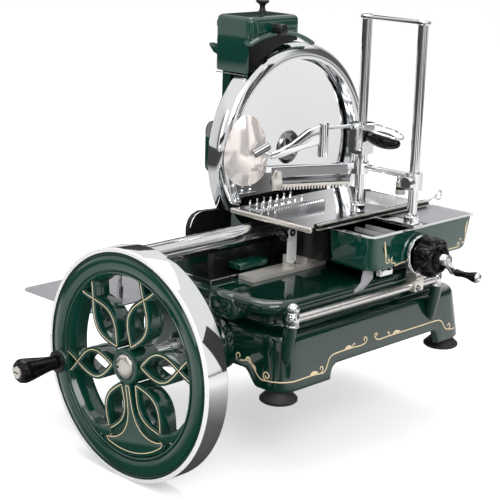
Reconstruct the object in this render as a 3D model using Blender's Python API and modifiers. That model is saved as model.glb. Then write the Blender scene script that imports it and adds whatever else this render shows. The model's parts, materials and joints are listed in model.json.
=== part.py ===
"""Hand crank flywheel meat slicer, built as separate named pieces.

Axes: +Z up, X is the carriage stroke and the flywheel shaft, +Y runs from the meat to the slices.
All lengths are metres.  The feet stand on z = 0 and the flywheel hangs below that, beside the stand.
"""
import bpy
import bmesh
import math
from mathutils import Vector, Matrix

# Scene
for old in list(bpy.data.objects):
    bpy.data.objects.remove(old, do_unlink=True)
PARTS = bpy.data.collections.new("meat_slicer")
CUTS = bpy.data.collections.new("cutters")
bpy.context.scene.collection.children.link(PARTS)
bpy.context.scene.collection.children.link(CUTS)

# General fits
GAP = 0.0003
TURN = 2.0 * math.pi
ROUND_STEPS = 18
FINE_STEPS = 36
SMALL_STEPS = 12

# Flywheel
WHEEL_FACE_X = -0.4165
WHEEL_Z = 0.070
WHEEL_R = 0.182
TYRE_WALL = 0.0065
RIM_WIDTH = 0.041
BAND_INNER_R = 0.144
RIM_INNER_R = 0.137
RIM_RECESS = 0.005
WHEEL_REST_TURN = math.radians(11.5)
PETALS = 6
PETAL_ROOT_R = 0.036
PETAL_TIP_R = 0.124
PETAL_HALF_W = 0.0215
PETAL_WALL = 0.0095
PETAL_FRONT = 0.004
PETAL_DEPTH = 0.030
PETAL_STEPS = 7
TAIL_STEPS = 6
HUB_R = 0.0275
HUB_BACK = 0.0505
TAIL_STEM_HALF = 0.006
PLATE_RECESS = 0.003
PLATE_T = 0.012
PLATE_TOP_R = 0.076
TAIL_FOOT_HALF = math.radians(33.0)
CAP_R = 0.0165
CAP_RISE = 0.0045
OIL_HOLE_R = 0.0024
HANDLE_R = 0.1545
BOSS_R = 0.0195
BOSS_RISE = 0.007
SPINDLE_R = 0.0042
GRIP_LEN = 0.074
GRIP_ROOT_R = 0.0115
GRIP_COLLAR_R = 0.0180
GRIP_MAX_R = 0.0160
GRIP_END_R = 0.0140
GRIP_CAP_LEN = 0.004

# Flywheel shaft
SLEEVE_R = 0.0178
SLEEVE_END_X = -0.329
COLLAR_R = 0.0215
COLLAR_END_X = -0.2995
SHAFT_R = 0.0140
SHAFT_END_X = 0.0300
BEVEL_APEX_X = 0.058
BEVEL_R = 0.029
BEVEL_FACE = 0.010
BEVEL_TEETH = 14
BEVEL_TOOTH = 0.0022

# Base casting: half sizes in x and y, corner radius, per level
SKIRT_Z0 = 0.0225
SKIRT_HX = 0.236
SKIRT_HY = 0.159
SKIRT_TOP_Z = 0.108
SKIRT_TOP_HX = 0.227
WAIST_STEP_X = 0.021
WAIST_STEP_Y = 0.017
SKIRT_TOP_HY = 0.148
SKIRT_CORNER = 0.034
LEDGE_Z = 0.1135
WAIST_Z = 0.127
WAIST_HX = SKIRT_TOP_HX - WAIST_STEP_X
WAIST_HY = SKIRT_TOP_HY - WAIST_STEP_Y
DECK_LOW_Z = 0.149
DECK_Z = 0.169
DECK_HX = 0.258
DECK_RIGHT_CUT = 0.030
DECK_HY = 0.152
DECK_CORNER = 0.048
BASE_WALL = 0.012
CAVITY_TOP_Z = 0.152
ARCH_Z = 0.046
ARCH_X0 = -0.120
ARCH_X1 = 0.160
ARCH_SIDE_HALF = 0.085
BOSS_OUT_X = -0.2985
SHAFT_BOSS_R = 0.034
PILASTER_R = 0.0088
PILASTER_TIP_Z = 0.062

# Feet
FOOT_INSET_X = 0.027
FOOT_INSET_Y = 0.031
FOOT_X = SKIRT_HX - FOOT_INSET_X
FOOT_Y = SKIRT_HY - FOOT_INSET_Y
FOOT_R = 0.0305
FOOT_TOP_R = 0.017
FOOT_PAD_H = 0.006
FOOT_H = 0.0222

# Front guide rod
ROD_Y = -0.168
ROD_Z = 0.146
ROD_R = 0.0062
ROD_POST_L = -0.227
ROD_POST_R = 0.128
ROD_POST_RAD = 0.0098
ROD_POST_Z0 = 0.1345
ROD_CAP_TOP = 0.167

# Thick guide bar and its web
BAR_Y = 0.040
BAR_Z = 0.221
BAR_R = 0.0178
BAR_X0 = -0.357
BAR_X1 = 0.245
WEB_HALF = 0.007
WEB_X0 = -0.200
WEB_X1 = 0.205
CHANNEL_X0 = -0.246
CHANNEL_X1 = -0.070
CHANNEL_Y0 = -0.008
CHANNEL_Y1 = 0.085
CHANNEL_H = 0.003
CHANNEL_CUT = 0.045
EDGE_T = 0.0022
EDGE_H = 0.0060

# Blade, guard and drive
BLADE_X = 0.058
BLADE_Z = 0.335
BLADE_Y = 0.118
BLADE_R = 0.163
BLADE_T = 0.0060
BLADE_DISH = 0.0025
BLADE_HUB_R = 0.030
BLADE_SHAFT_R = 0.011
GUARD_R = 0.187
GUARD_Y0 = 0.0925
GUARD_Y1 = 0.131
GUARD_WALL = 0.0042
GUARD_LIP_R = 0.1605
GUARD_BACK_R = 0.172
GUARD_FROM = math.radians(-38.0)
GUARD_SPAN = math.radians(256.0)
GUARD_STEPS = 30
SPIDER_Y1 = 0.1395
SPIDER_HUB_R = 0.046
SPIDER_ARM_HALF = 0.013
COLUMN_HALF = 0.042
COLUMN_Y0 = 0.1398
COLUMN_Y1 = 0.1632
COLUMN_TOP = 0.385
HOUSE_Y0 = 0.1635
HOUSE_Y1 = 0.2020
HOUSE_WALL = 0.0050
HOUSE_HALF = 0.060
HOUSE_Z0 = 0.026
HOUSE_Z1 = 0.408
HOUSE_ARM_X0 = -0.062
HOUSE_ARM_Z0 = 0.290
HOUSE_ARM_Z1 = 0.380
SPROCKET_Y = 0.1760
SPROCKET_T = 0.0060
LOW_SPROCKET_R = 0.036
TOP_SPROCKET_R = 0.024
LOW_TEETH = 15
TOP_TEETH = 10
TOOTH_H = 0.0030
CROSS_R = 0.0110
HANGER_HALF = 0.024
HANGER_X0 = -0.040
HANGER_X1 = -0.012
HANGER_Z0 = 0.045

# Sharpener
HOOD_X0 = -0.073
HOOD_X1 = 0.045
HOOD_Y0 = 0.090
HOOD_Y1 = 0.183
HOOD_Z0 = 0.479
HOOD_Z1 = 0.568
HOOD_WALL = 0.0045
HOOD_CLEAR_R = 0.1905
HINGE_Y = 0.1920
HINGE_Z = 0.552
HINGE_R = 0.0080
ARM_X0 = -0.024
ARM_X1 = 0.020
STONE_R = 0.017
STONE_T = 0.011
STONE_Z = 0.540
STONE_FRONT_X = 0.004
STONE_BACK_X = -0.046
SPOOL_X = -0.010
SPOOL_Y = 0.125
SPOOL_R = 0.0115
SPOOL_NECK_R = 0.0042
SPOOL_H = 0.0235

# Carriage
CAR_X0 = -0.060
CAR_X1 = 0.211
CAR_Y0 = -0.180
CAR_Y1 = -0.080
CAR_Z0 = 0.189
CAR_Z1 = 0.2470
CAR_WALL = 0.005
CAR_FLOOR = 0.006
CAR_CORNER = 0.012
LIP_T = 0.0016
LIP_OUT = 0.0016
SADDLE_X0 = -0.064
SADDLE_X1 = 0.205
SADDLE_Y1 = 0.086
SADDLE_Z0 = 0.1900
SADDLE_Z1 = 0.2488
COVER_X0 = 0.088
COVER_T = 0.004
BRACKET_X = 0.071
BRACKET_HALF = 0.013
SLIDER_X0 = -0.188
SLIDER_X1 = -0.016
SLIDER_Y0 = -0.046
SLIDER_Y1 = -0.012
SLIDER_Z0 = 0.1694
SLIDER_Z1 = 0.1764
LEVER_X = -0.083
LEVER_Y = -0.029
LEVER_T = 0.0040
LEVER_HALF = 0.0095
LEVER_PIVOT_Z = 0.188
LEVER_TOP_Z = 0.240
BALL_R = 0.0098
BALL_X = -0.106
BALL_Z = 0.231

# Feed crank
FEED_X = 0.060
FEED_Z = 0.2040
FLANGE_R = 0.0335
FLANGE_T = 0.006
KNOB_R = 0.0300
KNOB_Y1 = -0.2280
KNOB_LOBES = 7
SCREW_R = 0.0050
SCREW_END_Y = 0.066
CRANK_ARM = 0.0360
CRANK_ANGLE = math.radians(-43.0)
CRANK_Y = -0.2350
CRANK_T = 0.0075
CRANK_GRIP_R = 0.0066
CRANK_GRIP_LEN = 0.040

# Meat table
TABLE_X0 = -0.104
TABLE_X1 = 0.190
TABLE_Y0 = -0.090
TABLE_Y1 = 0.088
TABLE_Z0 = 0.2492
TABLE_Z1 = 0.2542
EDGE_BAR_W = 0.0075
EDGE_BAR_Z0 = 0.2465
EDGE_BAR_Z1 = 0.2560
TONGUE_X0 = 0.039
TONGUE_X1 = 0.063
TONGUE_Y0 = -0.183
RAIL_Y0 = -0.1035
RAIL_Y1 = -0.0930
RAIL_Z1 = 0.2625
COMB_Y = 0.004
COMB_X0 = -0.088
COMB_X1 = 0.034
COMB_TEETH = 20
COMB_H = 0.013
COMB_T = 0.0022
PIN_ROWS = (0.045, 0.072)
PIN_X0 = -0.086
PIN_X1 = 0.030
PINS = 7
PIN_H = 0.013
PIN_HALF = 0.0016
NUT_HALF = 0.0125
NUT_Y0 = -0.034
NUT_Y1 = -0.004

# Posts and press
POST_X = 0.051
POST_L_Y = -0.054
POST_R_Y = -0.168
POST_R = 0.0082
POST_TOP = 0.575
STRAP_Z1 = 0.5815
STRAP_HALF = 0.0095
POST_FOOT_R = 0.0130
POST_FOOT_H = 0.012
PRESS_YAW = math.radians(25.0)
HEAD_Z0 = 0.318
HEAD_Z1 = 0.338
SLEEVE_WALL_R = 0.0145
CLAMP_Z0 = 0.352
CLAMP_Z1 = 0.404
CLAMP_HALF = 0.0150
ARM_S1 = 0.170
BEAM_HALF = 0.0050
PRESS_COMB_S0 = 0.026
PRESS_COMB_S1 = 0.166
PRESS_COMB_Z0 = 0.2940
PRESS_COMB_Z1 = 0.3175
PRESS_TEETH = 18
PRESS_TOOTH = 0.009
BARREL_S = 0.0690
BARREL_R = 0.0088
BARREL_Z0 = 0.349
BARREL_Z1 = 0.404
BARREL_PIN_R = 0.0035
WEDGE_S1 = 0.160
WEDGE_T = 0.006
PAD_X = -0.141
PAD_Y = 0.026
PAD_Z = 0.368
PAD_RX = 0.042
PAD_RZ = 0.0535
PAD_DISH = 0.012
PAD_T = 0.0030
PRESS_GRIP_Z = 0.383
PRESS_GRIP_LEN = 0.064
PRESS_GRIP_R = 0.0135

# Slice tray
TRAY_X0 = -0.338
TRAY_X1 = -0.006
TRAY_Y0 = 0.1640
TRAY_Y1 = 0.3450
TRAY_Z0 = 0.0985
TRAY_T = 0.0030
TRAY_CORNER = 0.014
TRAY_ARM_HALF = 0.010
TRAY_PIN_X = -0.268
TRAY_PIN_Y = 0.184


def material(name, colour, roughness, metallic):
    """Plain Principled finish."""
    mat = bpy.data.materials.new(name)
    mat.use_nodes = True
    shader = mat.node_tree.nodes["Principled BSDF"]
    shader.inputs["Base Color"].default_value = (*colour, 1.0)
    shader.inputs["Roughness"].default_value = roughness
    shader.inputs["Metallic"].default_value = metallic
    mat.diffuse_color = (*colour, 1.0)
    return mat


ENAMEL = material("green_enamel", (0.006, 0.075, 0.052), 0.18, 0.0)
CHROME = material("chrome", (0.82, 0.83, 0.84), 0.08, 1.0)
STEEL = material("brushed_steel", (0.55, 0.56, 0.58), 0.35, 1.0)
GREY = material("anodised_grey", (0.42, 0.42, 0.45), 0.45, 0.6)
BLACK = material("black_lacquer", (0.010, 0.010, 0.011), 0.22, 0.0)
RUBBER = material("black_rubber", (0.02, 0.02, 0.02), 0.8, 0.0)
CREAM = material("champagne_metal", (0.80, 0.74, 0.62), 0.28, 0.9)
STONE = material("grinding_stone", (0.45, 0.40, 0.36), 0.9, 0.0)
DARK = material("dark_polished_steel", (0.10, 0.10, 0.11), 0.15, 1.0)


def add_object(name, mesh, mat, origin, collection=PARTS):
    """Link a mesh made in world coordinates and move its origin to the given point."""
    origin = Vector(origin)
    mesh.transform(Matrix.Translation(-origin))
    obj = bpy.data.objects.new(name, mesh)
    obj.location = origin
    if mat is not None:
        mesh.materials.append(mat)
    collection.objects.link(obj)
    return obj


def tidy(bm):
    """Merge doubled points and drop what belongs to no face."""
    bmesh.ops.remove_doubles(bm, verts=bm.verts, dist=GAP / 30.0)
    bmesh.ops.dissolve_degenerate(bm, edges=bm.edges, dist=GAP / 30.0)
    bmesh.ops.delete(bm, geom=[edge for edge in bm.edges if not edge.link_faces], context="EDGES")
    bmesh.ops.delete(bm, geom=[vert for vert in bm.verts if not vert.link_faces], context="VERTS")


def finish(bm, name):
    """Turn a bmesh into a clean mesh with outward normals."""
    tidy(bm)
    bmesh.ops.recalc_face_normals(bm, faces=bm.faces)
    mesh = bpy.data.meshes.new(name)
    bm.to_mesh(mesh)
    bm.free()
    return mesh


def smooth(obj, angle=math.radians(35.0)):
    """Shade round faces smooth and keep the sharp edges."""
    for poly in obj.data.polygons:
        poly.use_smooth = True
    bm = bmesh.new()
    bm.from_mesh(obj.data)
    for edge in bm.edges:
        if len(edge.link_faces) == 2 and edge.calc_face_angle(0.0) > angle:
            edge.smooth = False
    bm.to_mesh(obj.data)
    bm.free()
    return obj


def bevel(obj, width, segments=1):
    """Round the edges of a piece."""
    mod = obj.modifiers.new("edge", "BEVEL")
    mod.width = width
    mod.segments = segments
    mod.limit_method = "ANGLE"
    mod.angle_limit = math.radians(40.0)
    return obj


def box(name, x0, x1, y0, y1, z0, z1, mat, origin=None, round_by=0.0, collection=PARTS):
    """Cuboid between two corners."""
    bm = bmesh.new()
    bmesh.ops.create_cube(bm, size=1.0)
    centre = Vector(((x0 + x1) / 2, (y0 + y1) / 2, (z0 + z1) / 2))
    for vert in bm.verts:
        vert.co = Vector((vert.co.x * (x1 - x0), vert.co.y * (y1 - y0), vert.co.z * (z1 - z0))) + centre
    obj = add_object(name, finish(bm, name), mat, centre if origin is None else origin, collection)
    if round_by > 0.0:
        bevel(obj, round_by)
    return obj


def axis_matrix(axis):
    """Rotation that carries +Z onto the wanted axis."""
    return Vector((0, 0, 1)).rotation_difference(Vector(axis).normalized()).to_matrix().to_4x4()


def rod(name, start, end, radius, mat, origin=None, steps=SMALL_STEPS, end_radius=None, collection=PARTS):
    """Cylinder or cone between two points."""
    start, end = Vector(start), Vector(end)
    bm = bmesh.new()
    bmesh.ops.create_cone(bm, cap_ends=True, segments=steps, radius1=radius,
                          radius2=radius if end_radius is None else end_radius, depth=(end - start).length)
    place = Matrix.Translation((start + end) / 2) @ axis_matrix(end - start)
    bmesh.ops.transform(bm, matrix=place, verts=bm.verts)
    obj = add_object(name, finish(bm, name), mat, (start + end) / 2 if origin is None else origin, collection)
    return smooth(obj)


def turned(name, base, axis, profile, mat, origin=None, steps=ROUND_STEPS, collection=PARTS):
    """Solid of revolution: profile holds (radius, height) pairs from the base along the axis."""
    mesh = bpy.data.meshes.new(name)
    points = [(radius, 0.0, height) for radius, height in reversed(profile)]
    mesh.from_pydata(points, [(i, i + 1) for i in range(len(points) - 1)], [])
    obj = bpy.data.objects.new(name, mesh)
    collection.objects.link(obj)
    screw = obj.modifiers.new("turn", "SCREW")
    screw.axis = "Z"
    screw.steps = steps
    screw.render_steps = steps
    screw.use_merge_vertices = True
    screw.merge_threshold = GAP / 10.0
    solid = apply_all(obj, name)
    bpy.data.objects.remove(obj, do_unlink=True)
    bm = bmesh.new()
    bm.from_mesh(solid)
    base = Vector(base)
    bmesh.ops.transform(bm, matrix=Matrix.Translation(base) @ axis_matrix(axis), verts=bm.verts)
    return smooth(add_object(name, finish(bm, name), mat, base if origin is None else origin, collection))


def apply_all(obj, name):
    """Evaluated copy of an object's mesh, in its own coordinates."""
    bpy.context.view_layer.update()
    graph = bpy.context.evaluated_depsgraph_get()
    return bpy.data.meshes.new_from_object(obj.evaluated_get(graph))


def prism(name, outline, start, direction, mat, origin=None, frame=None, collection=PARTS):
    """Closed outline (list of 2D points) pushed along a direction.

    The frame gives the two world directions of the outline; start is the world point of (0, 0).
    """
    u, v = (Vector(frame[0]), Vector(frame[1])) if frame else (Vector((1, 0, 0)), Vector((0, 0, 1)))
    start, direction = Vector(start), Vector(direction)
    bm = bmesh.new()
    low = [bm.verts.new(start + u * a + v * b) for a, b in outline]
    high = [bm.verts.new(vert.co + direction) for vert in low]
    bm.faces.new(low)
    bm.faces.new(list(reversed(high)))
    count = len(outline)
    for i in range(count):
        bm.faces.new((low[i], high[i], high[(i + 1) % count], low[(i + 1) % count]))
    return add_object(name, finish(bm, name), mat, start if origin is None else origin, collection)


def rounded_outline(x0, x1, y0, y1, radius, steps=5):
    """Rectangle outline with round corners."""
    points = []
    corners = ((x1 - radius, y1 - radius, 0.0), (x0 + radius, y1 - radius, 0.25),
               (x0 + radius, y0 + radius, 0.5), (x1 - radius, y0 + radius, 0.75))
    for cx, cy, turn in corners:
        for i in range(steps + 1):
            a = (turn + 0.25 * i / steps) * TURN
            points.append((cx + radius * math.cos(a), cy + radius * math.sin(a)))
    return points


def loft(name, rings, mat, origin, collection=PARTS):
    """Closed body through a stack of outlines (z, points)."""
    bm = bmesh.new()
    rows = [[bm.verts.new((x, y, z)) for x, y in points] for z, points in rings]
    count = len(rows[0])
    bm.faces.new(list(reversed(rows[0])))
    bm.faces.new(rows[-1])
    for low, high in zip(rows, rows[1:]):
        for i in range(count):
            bm.faces.new((low[i], low[(i + 1) % count], high[(i + 1) % count], high[i]))
    return add_object(name, finish(bm, name), mat, origin, collection)


def boolean(obj, tool, operation):
    """Cut, join or intersect and keep the result as the object's own mesh."""
    tool.hide_render = True
    tool.display_type = "WIRE"
    for coll in list(tool.users_collection):
        coll.objects.unlink(tool)
    CUTS.objects.link(tool)
    mod = obj.modifiers.new("shape", "BOOLEAN")
    mod.operation = operation
    mod.solver = "EXACT"
    mod.object = tool
    mesh = apply_all(obj, obj.name)
    bm = bmesh.new()
    bm.from_mesh(mesh)
    tidy(bm)
    bm.to_mesh(mesh)
    bm.free()
    obj.modifiers.clear()
    old = obj.data
    obj.data = mesh
    mesh.name = obj.name
    bpy.data.meshes.remove(old)
    bpy.data.objects.remove(tool, do_unlink=True)
    return obj


def cut(obj, *tools):
    for tool in tools:
        boolean(obj, tool, "DIFFERENCE")
    return obj


def join(obj, *tools):
    for tool in tools:
        boolean(obj, tool, "UNION")
    return obj


def make_flywheel():
    """Cast wheel with six petals, a flared tail and a flat band, in a polished tyre."""
    centre = Vector((WHEEL_FACE_X, 0.0, WHEEL_Z))
    back = WHEEL_FACE_X + RIM_WIDTH
    green_r = WHEEL_R - TYRE_WALL - GAP
    profile = [(RIM_INNER_R, RIM_RECESS * 2), (RIM_INNER_R + RIM_RECESS, RIM_RECESS), (BAND_INNER_R, 0.0),
               (green_r, 0.0), (green_r, RIM_WIDTH), (RIM_INNER_R, RIM_WIDTH), (RIM_INNER_R, RIM_RECESS * 2)]
    wheel = turned("flywheel", centre, (1, 0, 0), profile, ENAMEL, steps=FINE_STEPS)

    def wheel_point(radius, angle):
        # seen from the front (-X side) an angle of zero points to -Y and grows anticlockwise
        a = angle + WHEEL_REST_TURN
        return (-radius * math.cos(a), radius * math.sin(a))

    frame = ((0, 1, 0), (0, 0, 1))
    hub = turned("hub", (WHEEL_FACE_X - PETAL_FRONT / 2, 0.0, WHEEL_Z), (1, 0, 0),
                 [(0.0, 0.0), (HUB_R - PETAL_FRONT / 2, 0.0), (HUB_R, PETAL_FRONT / 2),
                  (HUB_R, HUB_BACK), (0.0, HUB_BACK)], None, steps=ROUND_STEPS)
    # petals: two mirrored waves that cross at the petal tip and run on into the rim
    reach = RIM_INNER_R + RIM_RECESS

    def petal_edge(share, side, offset):
        along = PETAL_ROOT_R + (reach - PETAL_ROOT_R) * share
        wave = math.pi * (along - PETAL_ROOT_R) / (PETAL_TIP_R - PETAL_ROOT_R)
        slope = PETAL_HALF_W * math.cos(wave) * math.pi / (PETAL_TIP_R - PETAL_ROOT_R)
        across = PETAL_HALF_W * math.sin(wave) + offset / math.hypot(1.0, slope)
        along -= offset * slope / math.hypot(1.0, slope)
        return math.hypot(along, across), math.atan2(side * across, along)

    for petal in range(PETALS):
        turn = petal * TURN / PETALS
        if petal == 0:
            join(wheel, hub)
        for side in (-1.0, 1.0):
            outer, inner = [], []
            for i in range(PETAL_STEPS + 1):
                for offset, store in ((PETAL_WALL / 2, outer), (-PETAL_WALL / 2, inner)):
                    radius, angle = petal_edge(i / PETAL_STEPS, side, offset)
                    store.append(wheel_point(radius, turn + angle))
            wall = prism("wall", outer + inner[::-1], centre + Vector((PETAL_FRONT, 0, 0)),
                         (PETAL_DEPTH, 0, 0), None, frame=frame)
            join(wheel, wall)
    # foot: a solid plate between the two lower petals and the band, set back behind the fan
    down = -0.25 * TURN
    rim_side = [(reach, 48.0), (RIM_INNER_R - RIM_RECESS * 2, 43.0), (PETAL_TIP_R - PETAL_WALL / 2, 36.0),
                (PETAL_TIP_R - PETAL_WALL, 27.0), (PLATE_TOP_R + PETAL_HALF_W, 19.0), (PLATE_TOP_R, 13.0)]
    upper = [wheel_point(radius, down - math.radians(turn)) for radius, turn in rim_side]
    upper += [wheel_point(radius, down + math.radians(turn)) for radius, turn in rim_side[::-1]]
    rim = [wheel_point(reach, down + math.radians(48.0) * (1 - 2 * i / TAIL_STEPS)) for i in range(1, TAIL_STEPS)]
    join(wheel, prism("foot_plate", upper + rim, centre + Vector((PETAL_FRONT + PLATE_RECESS, 0, 0)),
                      (PLATE_T, 0, 0), None, frame=frame))
    # tail: a stem that flares into a fan at the foot of the wheel
    left, right = [], []
    for i in range(TAIL_STEPS + 1):
        share = i / TAIL_STEPS
        radius = HUB_R * 0.9 + (reach - HUB_R * 0.9) * share
        spread = math.atan2(TAIL_STEM_HALF, radius) + TAIL_FOOT_HALF * share ** 3
        left.append(wheel_point(radius, down - spread))
        right.append(wheel_point(radius, down + spread))
    foot = [wheel_point(reach, down + TAIL_FOOT_HALF * (1 - 2 * i / TAIL_STEPS)) for i in range(1, TAIL_STEPS)]
    tail = prism("tail", left + foot[::-1] + right[::-1], centre + Vector((PETAL_FRONT * 0.7, 0, 0)),
                 (PETAL_DEPTH * 0.6, 0, 0), None, frame=frame)
    join(wheel, tail)
    # handle boss on the band, eight sided
    hy, hz = wheel_point(HANDLE_R, math.pi)
    handle = Vector((WHEEL_FACE_X, hy, WHEEL_Z + hz))
    boss = rod("boss", handle - Vector((BOSS_RISE, 0, 0)), handle + Vector((RIM_WIDTH * 0.8, 0, 0)),
               BOSS_R, None, steps=8)
    join(wheel, boss)
    # bores for the shaft nose and the handle spindle
    cut(wheel,
        rod("bore", (WHEEL_FACE_X + HUB_BACK * 0.35, 0, WHEEL_Z), (back + RIM_WIDTH, 0, WHEEL_Z),
            SHAFT_R * 0.8 + 2 * GAP, None, steps=ROUND_STEPS),
        rod("bore", handle - Vector((2 * BOSS_RISE, 0, 0)), handle + Vector((RIM_WIDTH * 0.5, 0, 0)),
            SPINDLE_R + GAP, None, steps=SMALL_STEPS))
    smooth(wheel, math.radians(30.0))

    turned("flywheel_tyre", centre, (1, 0, 0),
           [(WHEEL_R - TYRE_WALL, 0.0), (WHEEL_R - TYRE_WALL / 3, 0.0), (WHEEL_R, TYRE_WALL / 3),
            (WHEEL_R, RIM_WIDTH - TYRE_WALL / 3), (WHEEL_R - TYRE_WALL / 3, RIM_WIDTH),
            (WHEEL_R - TYRE_WALL, RIM_WIDTH), (WHEEL_R - TYRE_WALL, 0.0)], CHROME, steps=FINE_STEPS)
    cap_x = WHEEL_FACE_X - PETAL_FRONT / 2 - GAP
    cap = turned("hub_cap", (cap_x, 0, WHEEL_Z), (-1, 0, 0),
                 [(0.0, 0.0), (CAP_R, 0.0), (CAP_R, CAP_RISE / 3), (CAP_R * 0.8, CAP_RISE * 0.8),
                  (CAP_R * 0.4, CAP_RISE), (0.0, CAP_RISE)], CREAM, origin=centre, steps=ROUND_STEPS)
    cut(cap, rod("hole", (cap_x - 2 * CAP_RISE, CAP_R / 2, WHEEL_Z + CAP_R / 3),
                 (cap_x - CAP_RISE / 4, CAP_R / 2, WHEEL_Z + CAP_R / 3), OIL_HOLE_R, None, steps=12))
    smooth(cap)

    # crank handle: fixed spindle, free grip
    front = handle.x - BOSS_RISE
    spindle = rod("handle_spindle", (front - GRIP_LEN - GRIP_CAP_LEN * 2.2, handle.y, handle.z),
        (handle.x + RIM_WIDTH * 0.5 - GAP, handle.y, handle.z), SPINDLE_R, STEEL)
    join(spindle, rod("washer", (front - GAP, handle.y, handle.z),
                      (front - GAP - GRIP_CAP_LEN * 1.2, handle.y, handle.z), GRIP_COLLAR_R, None,
                      steps=ROUND_STEPS))
    start = front - GAP * 2 - GRIP_CAP_LEN * 1.2
    shape = ((0.00, 0.94), (0.10, 0.98), (0.35, 1.20), (0.62, 1.52), (0.80, 1.72), (0.90, 1.70),
             (0.97, 1.50), (1.00, 1.26))
    profile = [(SPINDLE_R + GAP, 0.0)]
    profile += [(GRIP_ROOT_R * width, GRIP_LEN * share) for share, width in shape]
    profile += [(SPINDLE_R + GAP, GRIP_LEN), (SPINDLE_R + GAP, 0.0)]
    turned("handle_grip", (start, handle.y, handle.z), (-1, 0, 0), profile, BLACK, steps=SMALL_STEPS)
    cap_at = start - GRIP_LEN - GAP
    join(spindle, rod("plate", (cap_at, handle.y, handle.z), (cap_at - GRIP_CAP_LEN * 0.5, handle.y, handle.z),
                      GRIP_END_R * 0.85, None))
    smooth(spindle)
    return handle


def gear_outline(radius, teeth, tooth, phase=0.0):
    """Outline of a simple toothed wheel."""
    points = []
    for i in range(teeth):
        for share, height in ((-0.25, 0.0), (-0.12, 1.0), (0.12, 1.0), (0.25, 0.0)):
            a = (i + share) * TURN / teeth + phase
            points.append(((radius + tooth * height) * math.cos(a), (radius + tooth * height) * math.sin(a)))
    return points


def bevel_gear(name, apex, axis, back, face, radius, phase):
    """Toothed 45 degree cone whose pitch point is the apex; axis points from the apex to the back."""
    axis = Vector(axis)
    place = Matrix.Translation(Vector(apex)) @ axis_matrix(axis)
    bm = bmesh.new()
    rows = []
    for height, share in ((back - face, (back - face) / back), (back, 1.0)):
        rows.append([bm.verts.new((x * share, y * share, height))
                     for x, y in gear_outline(radius - BEVEL_TOOTH * 0.6, BEVEL_TEETH, BEVEL_TOOTH, phase)])
    low, high = rows
    count = len(low)
    bm.faces.new(low[::-1])
    bm.faces.new(high)
    for i in range(count):
        bm.faces.new((low[i], low[(i + 1) % count], high[(i + 1) % count], high[i]))
    bmesh.ops.transform(bm, matrix=place, verts=bm.verts)
    return add_object(name, finish(bm, name), None, apex)


def make_drive():
    """Flywheel shaft, cross shaft and their gears."""
    nose_x = WHEEL_FACE_X + HUB_BACK * 0.35 + GAP
    hub_end = WHEEL_FACE_X - PETAL_FRONT / 2 + HUB_BACK + GAP
    nose_r = SHAFT_R * 0.8
    steps = [(0.0, nose_x), (nose_r, nose_x), (nose_r, hub_end), (SLEEVE_R, hub_end), (SLEEVE_R, SLEEVE_END_X),
             (COLLAR_R, SLEEVE_END_X), (COLLAR_R, COLLAR_END_X), (SHAFT_R, COLLAR_END_X),
             (SHAFT_R, SHAFT_END_X), (0.0, SHAFT_END_X)]
    shaft = turned("flywheel_shaft", (nose_x, 0, WHEEL_Z), (1, 0, 0),
                   [(radius, x - nose_x) for radius, x in steps], STEEL)
    pitch = BEVEL_R - 2 * GAP
    pinion = bevel_gear("pinion", (BEVEL_APEX_X, 0, WHEEL_Z), (-1, 0, 0), pitch + 2 * GAP, BEVEL_FACE, pitch, 0.0)
    join(shaft, pinion)
    smooth(shaft)
    # cross shaft: gear inside the base, sprocket inside the rear cover
    start = BEVEL_R - BEVEL_FACE * 1.3
    cross = turned("cross_shaft", (BLADE_X, start, WHEEL_Z), (0, 1, 0),
                   [(0.0, 0.0), (CROSS_R, 0.0), (CROSS_R, SPROCKET_Y + 2 * SPROCKET_T - start),
                    (0.0, SPROCKET_Y + 2 * SPROCKET_T - start)], STEEL, origin=(BLADE_X, 0, WHEEL_Z))
    gear = bevel_gear("gear", (BEVEL_APEX_X, 0, WHEEL_Z), (0, 1, 0), pitch + 2 * GAP, BEVEL_FACE, pitch, 0.0)
    wheel = prism("sprocket", gear_outline(LOW_SPROCKET_R, LOW_TEETH, TOOTH_H), (BLADE_X, SPROCKET_Y, WHEEL_Z),
                  (0, SPROCKET_T, 0), None)
    join(cross, gear, wheel)
    smooth(cross)
    # blade shaft with blade hub
    shaft = turned("blade_shaft", (BLADE_X, BLADE_Y + BLADE_T + GAP, BLADE_Z), (0, 1, 0),
                   [(0.0, 0.0), (BLADE_HUB_R * 0.7, 0.0), (BLADE_HUB_R * 0.7, BLADE_T * 0.5),
                    (BLADE_SHAFT_R, BLADE_T * 0.5),
                    (BLADE_SHAFT_R, SPROCKET_Y + 2 * SPROCKET_T - BLADE_Y - BLADE_T),
                    (0.0, SPROCKET_Y + 2 * SPROCKET_T - BLADE_Y - BLADE_T)], STEEL)
    join(shaft, prism("sprocket", gear_outline(TOP_SPROCKET_R, TOP_TEETH, TOOTH_H),
                      (BLADE_X, SPROCKET_Y, BLADE_Z), (0, SPROCKET_T, 0), None))
    smooth(shaft)


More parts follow.
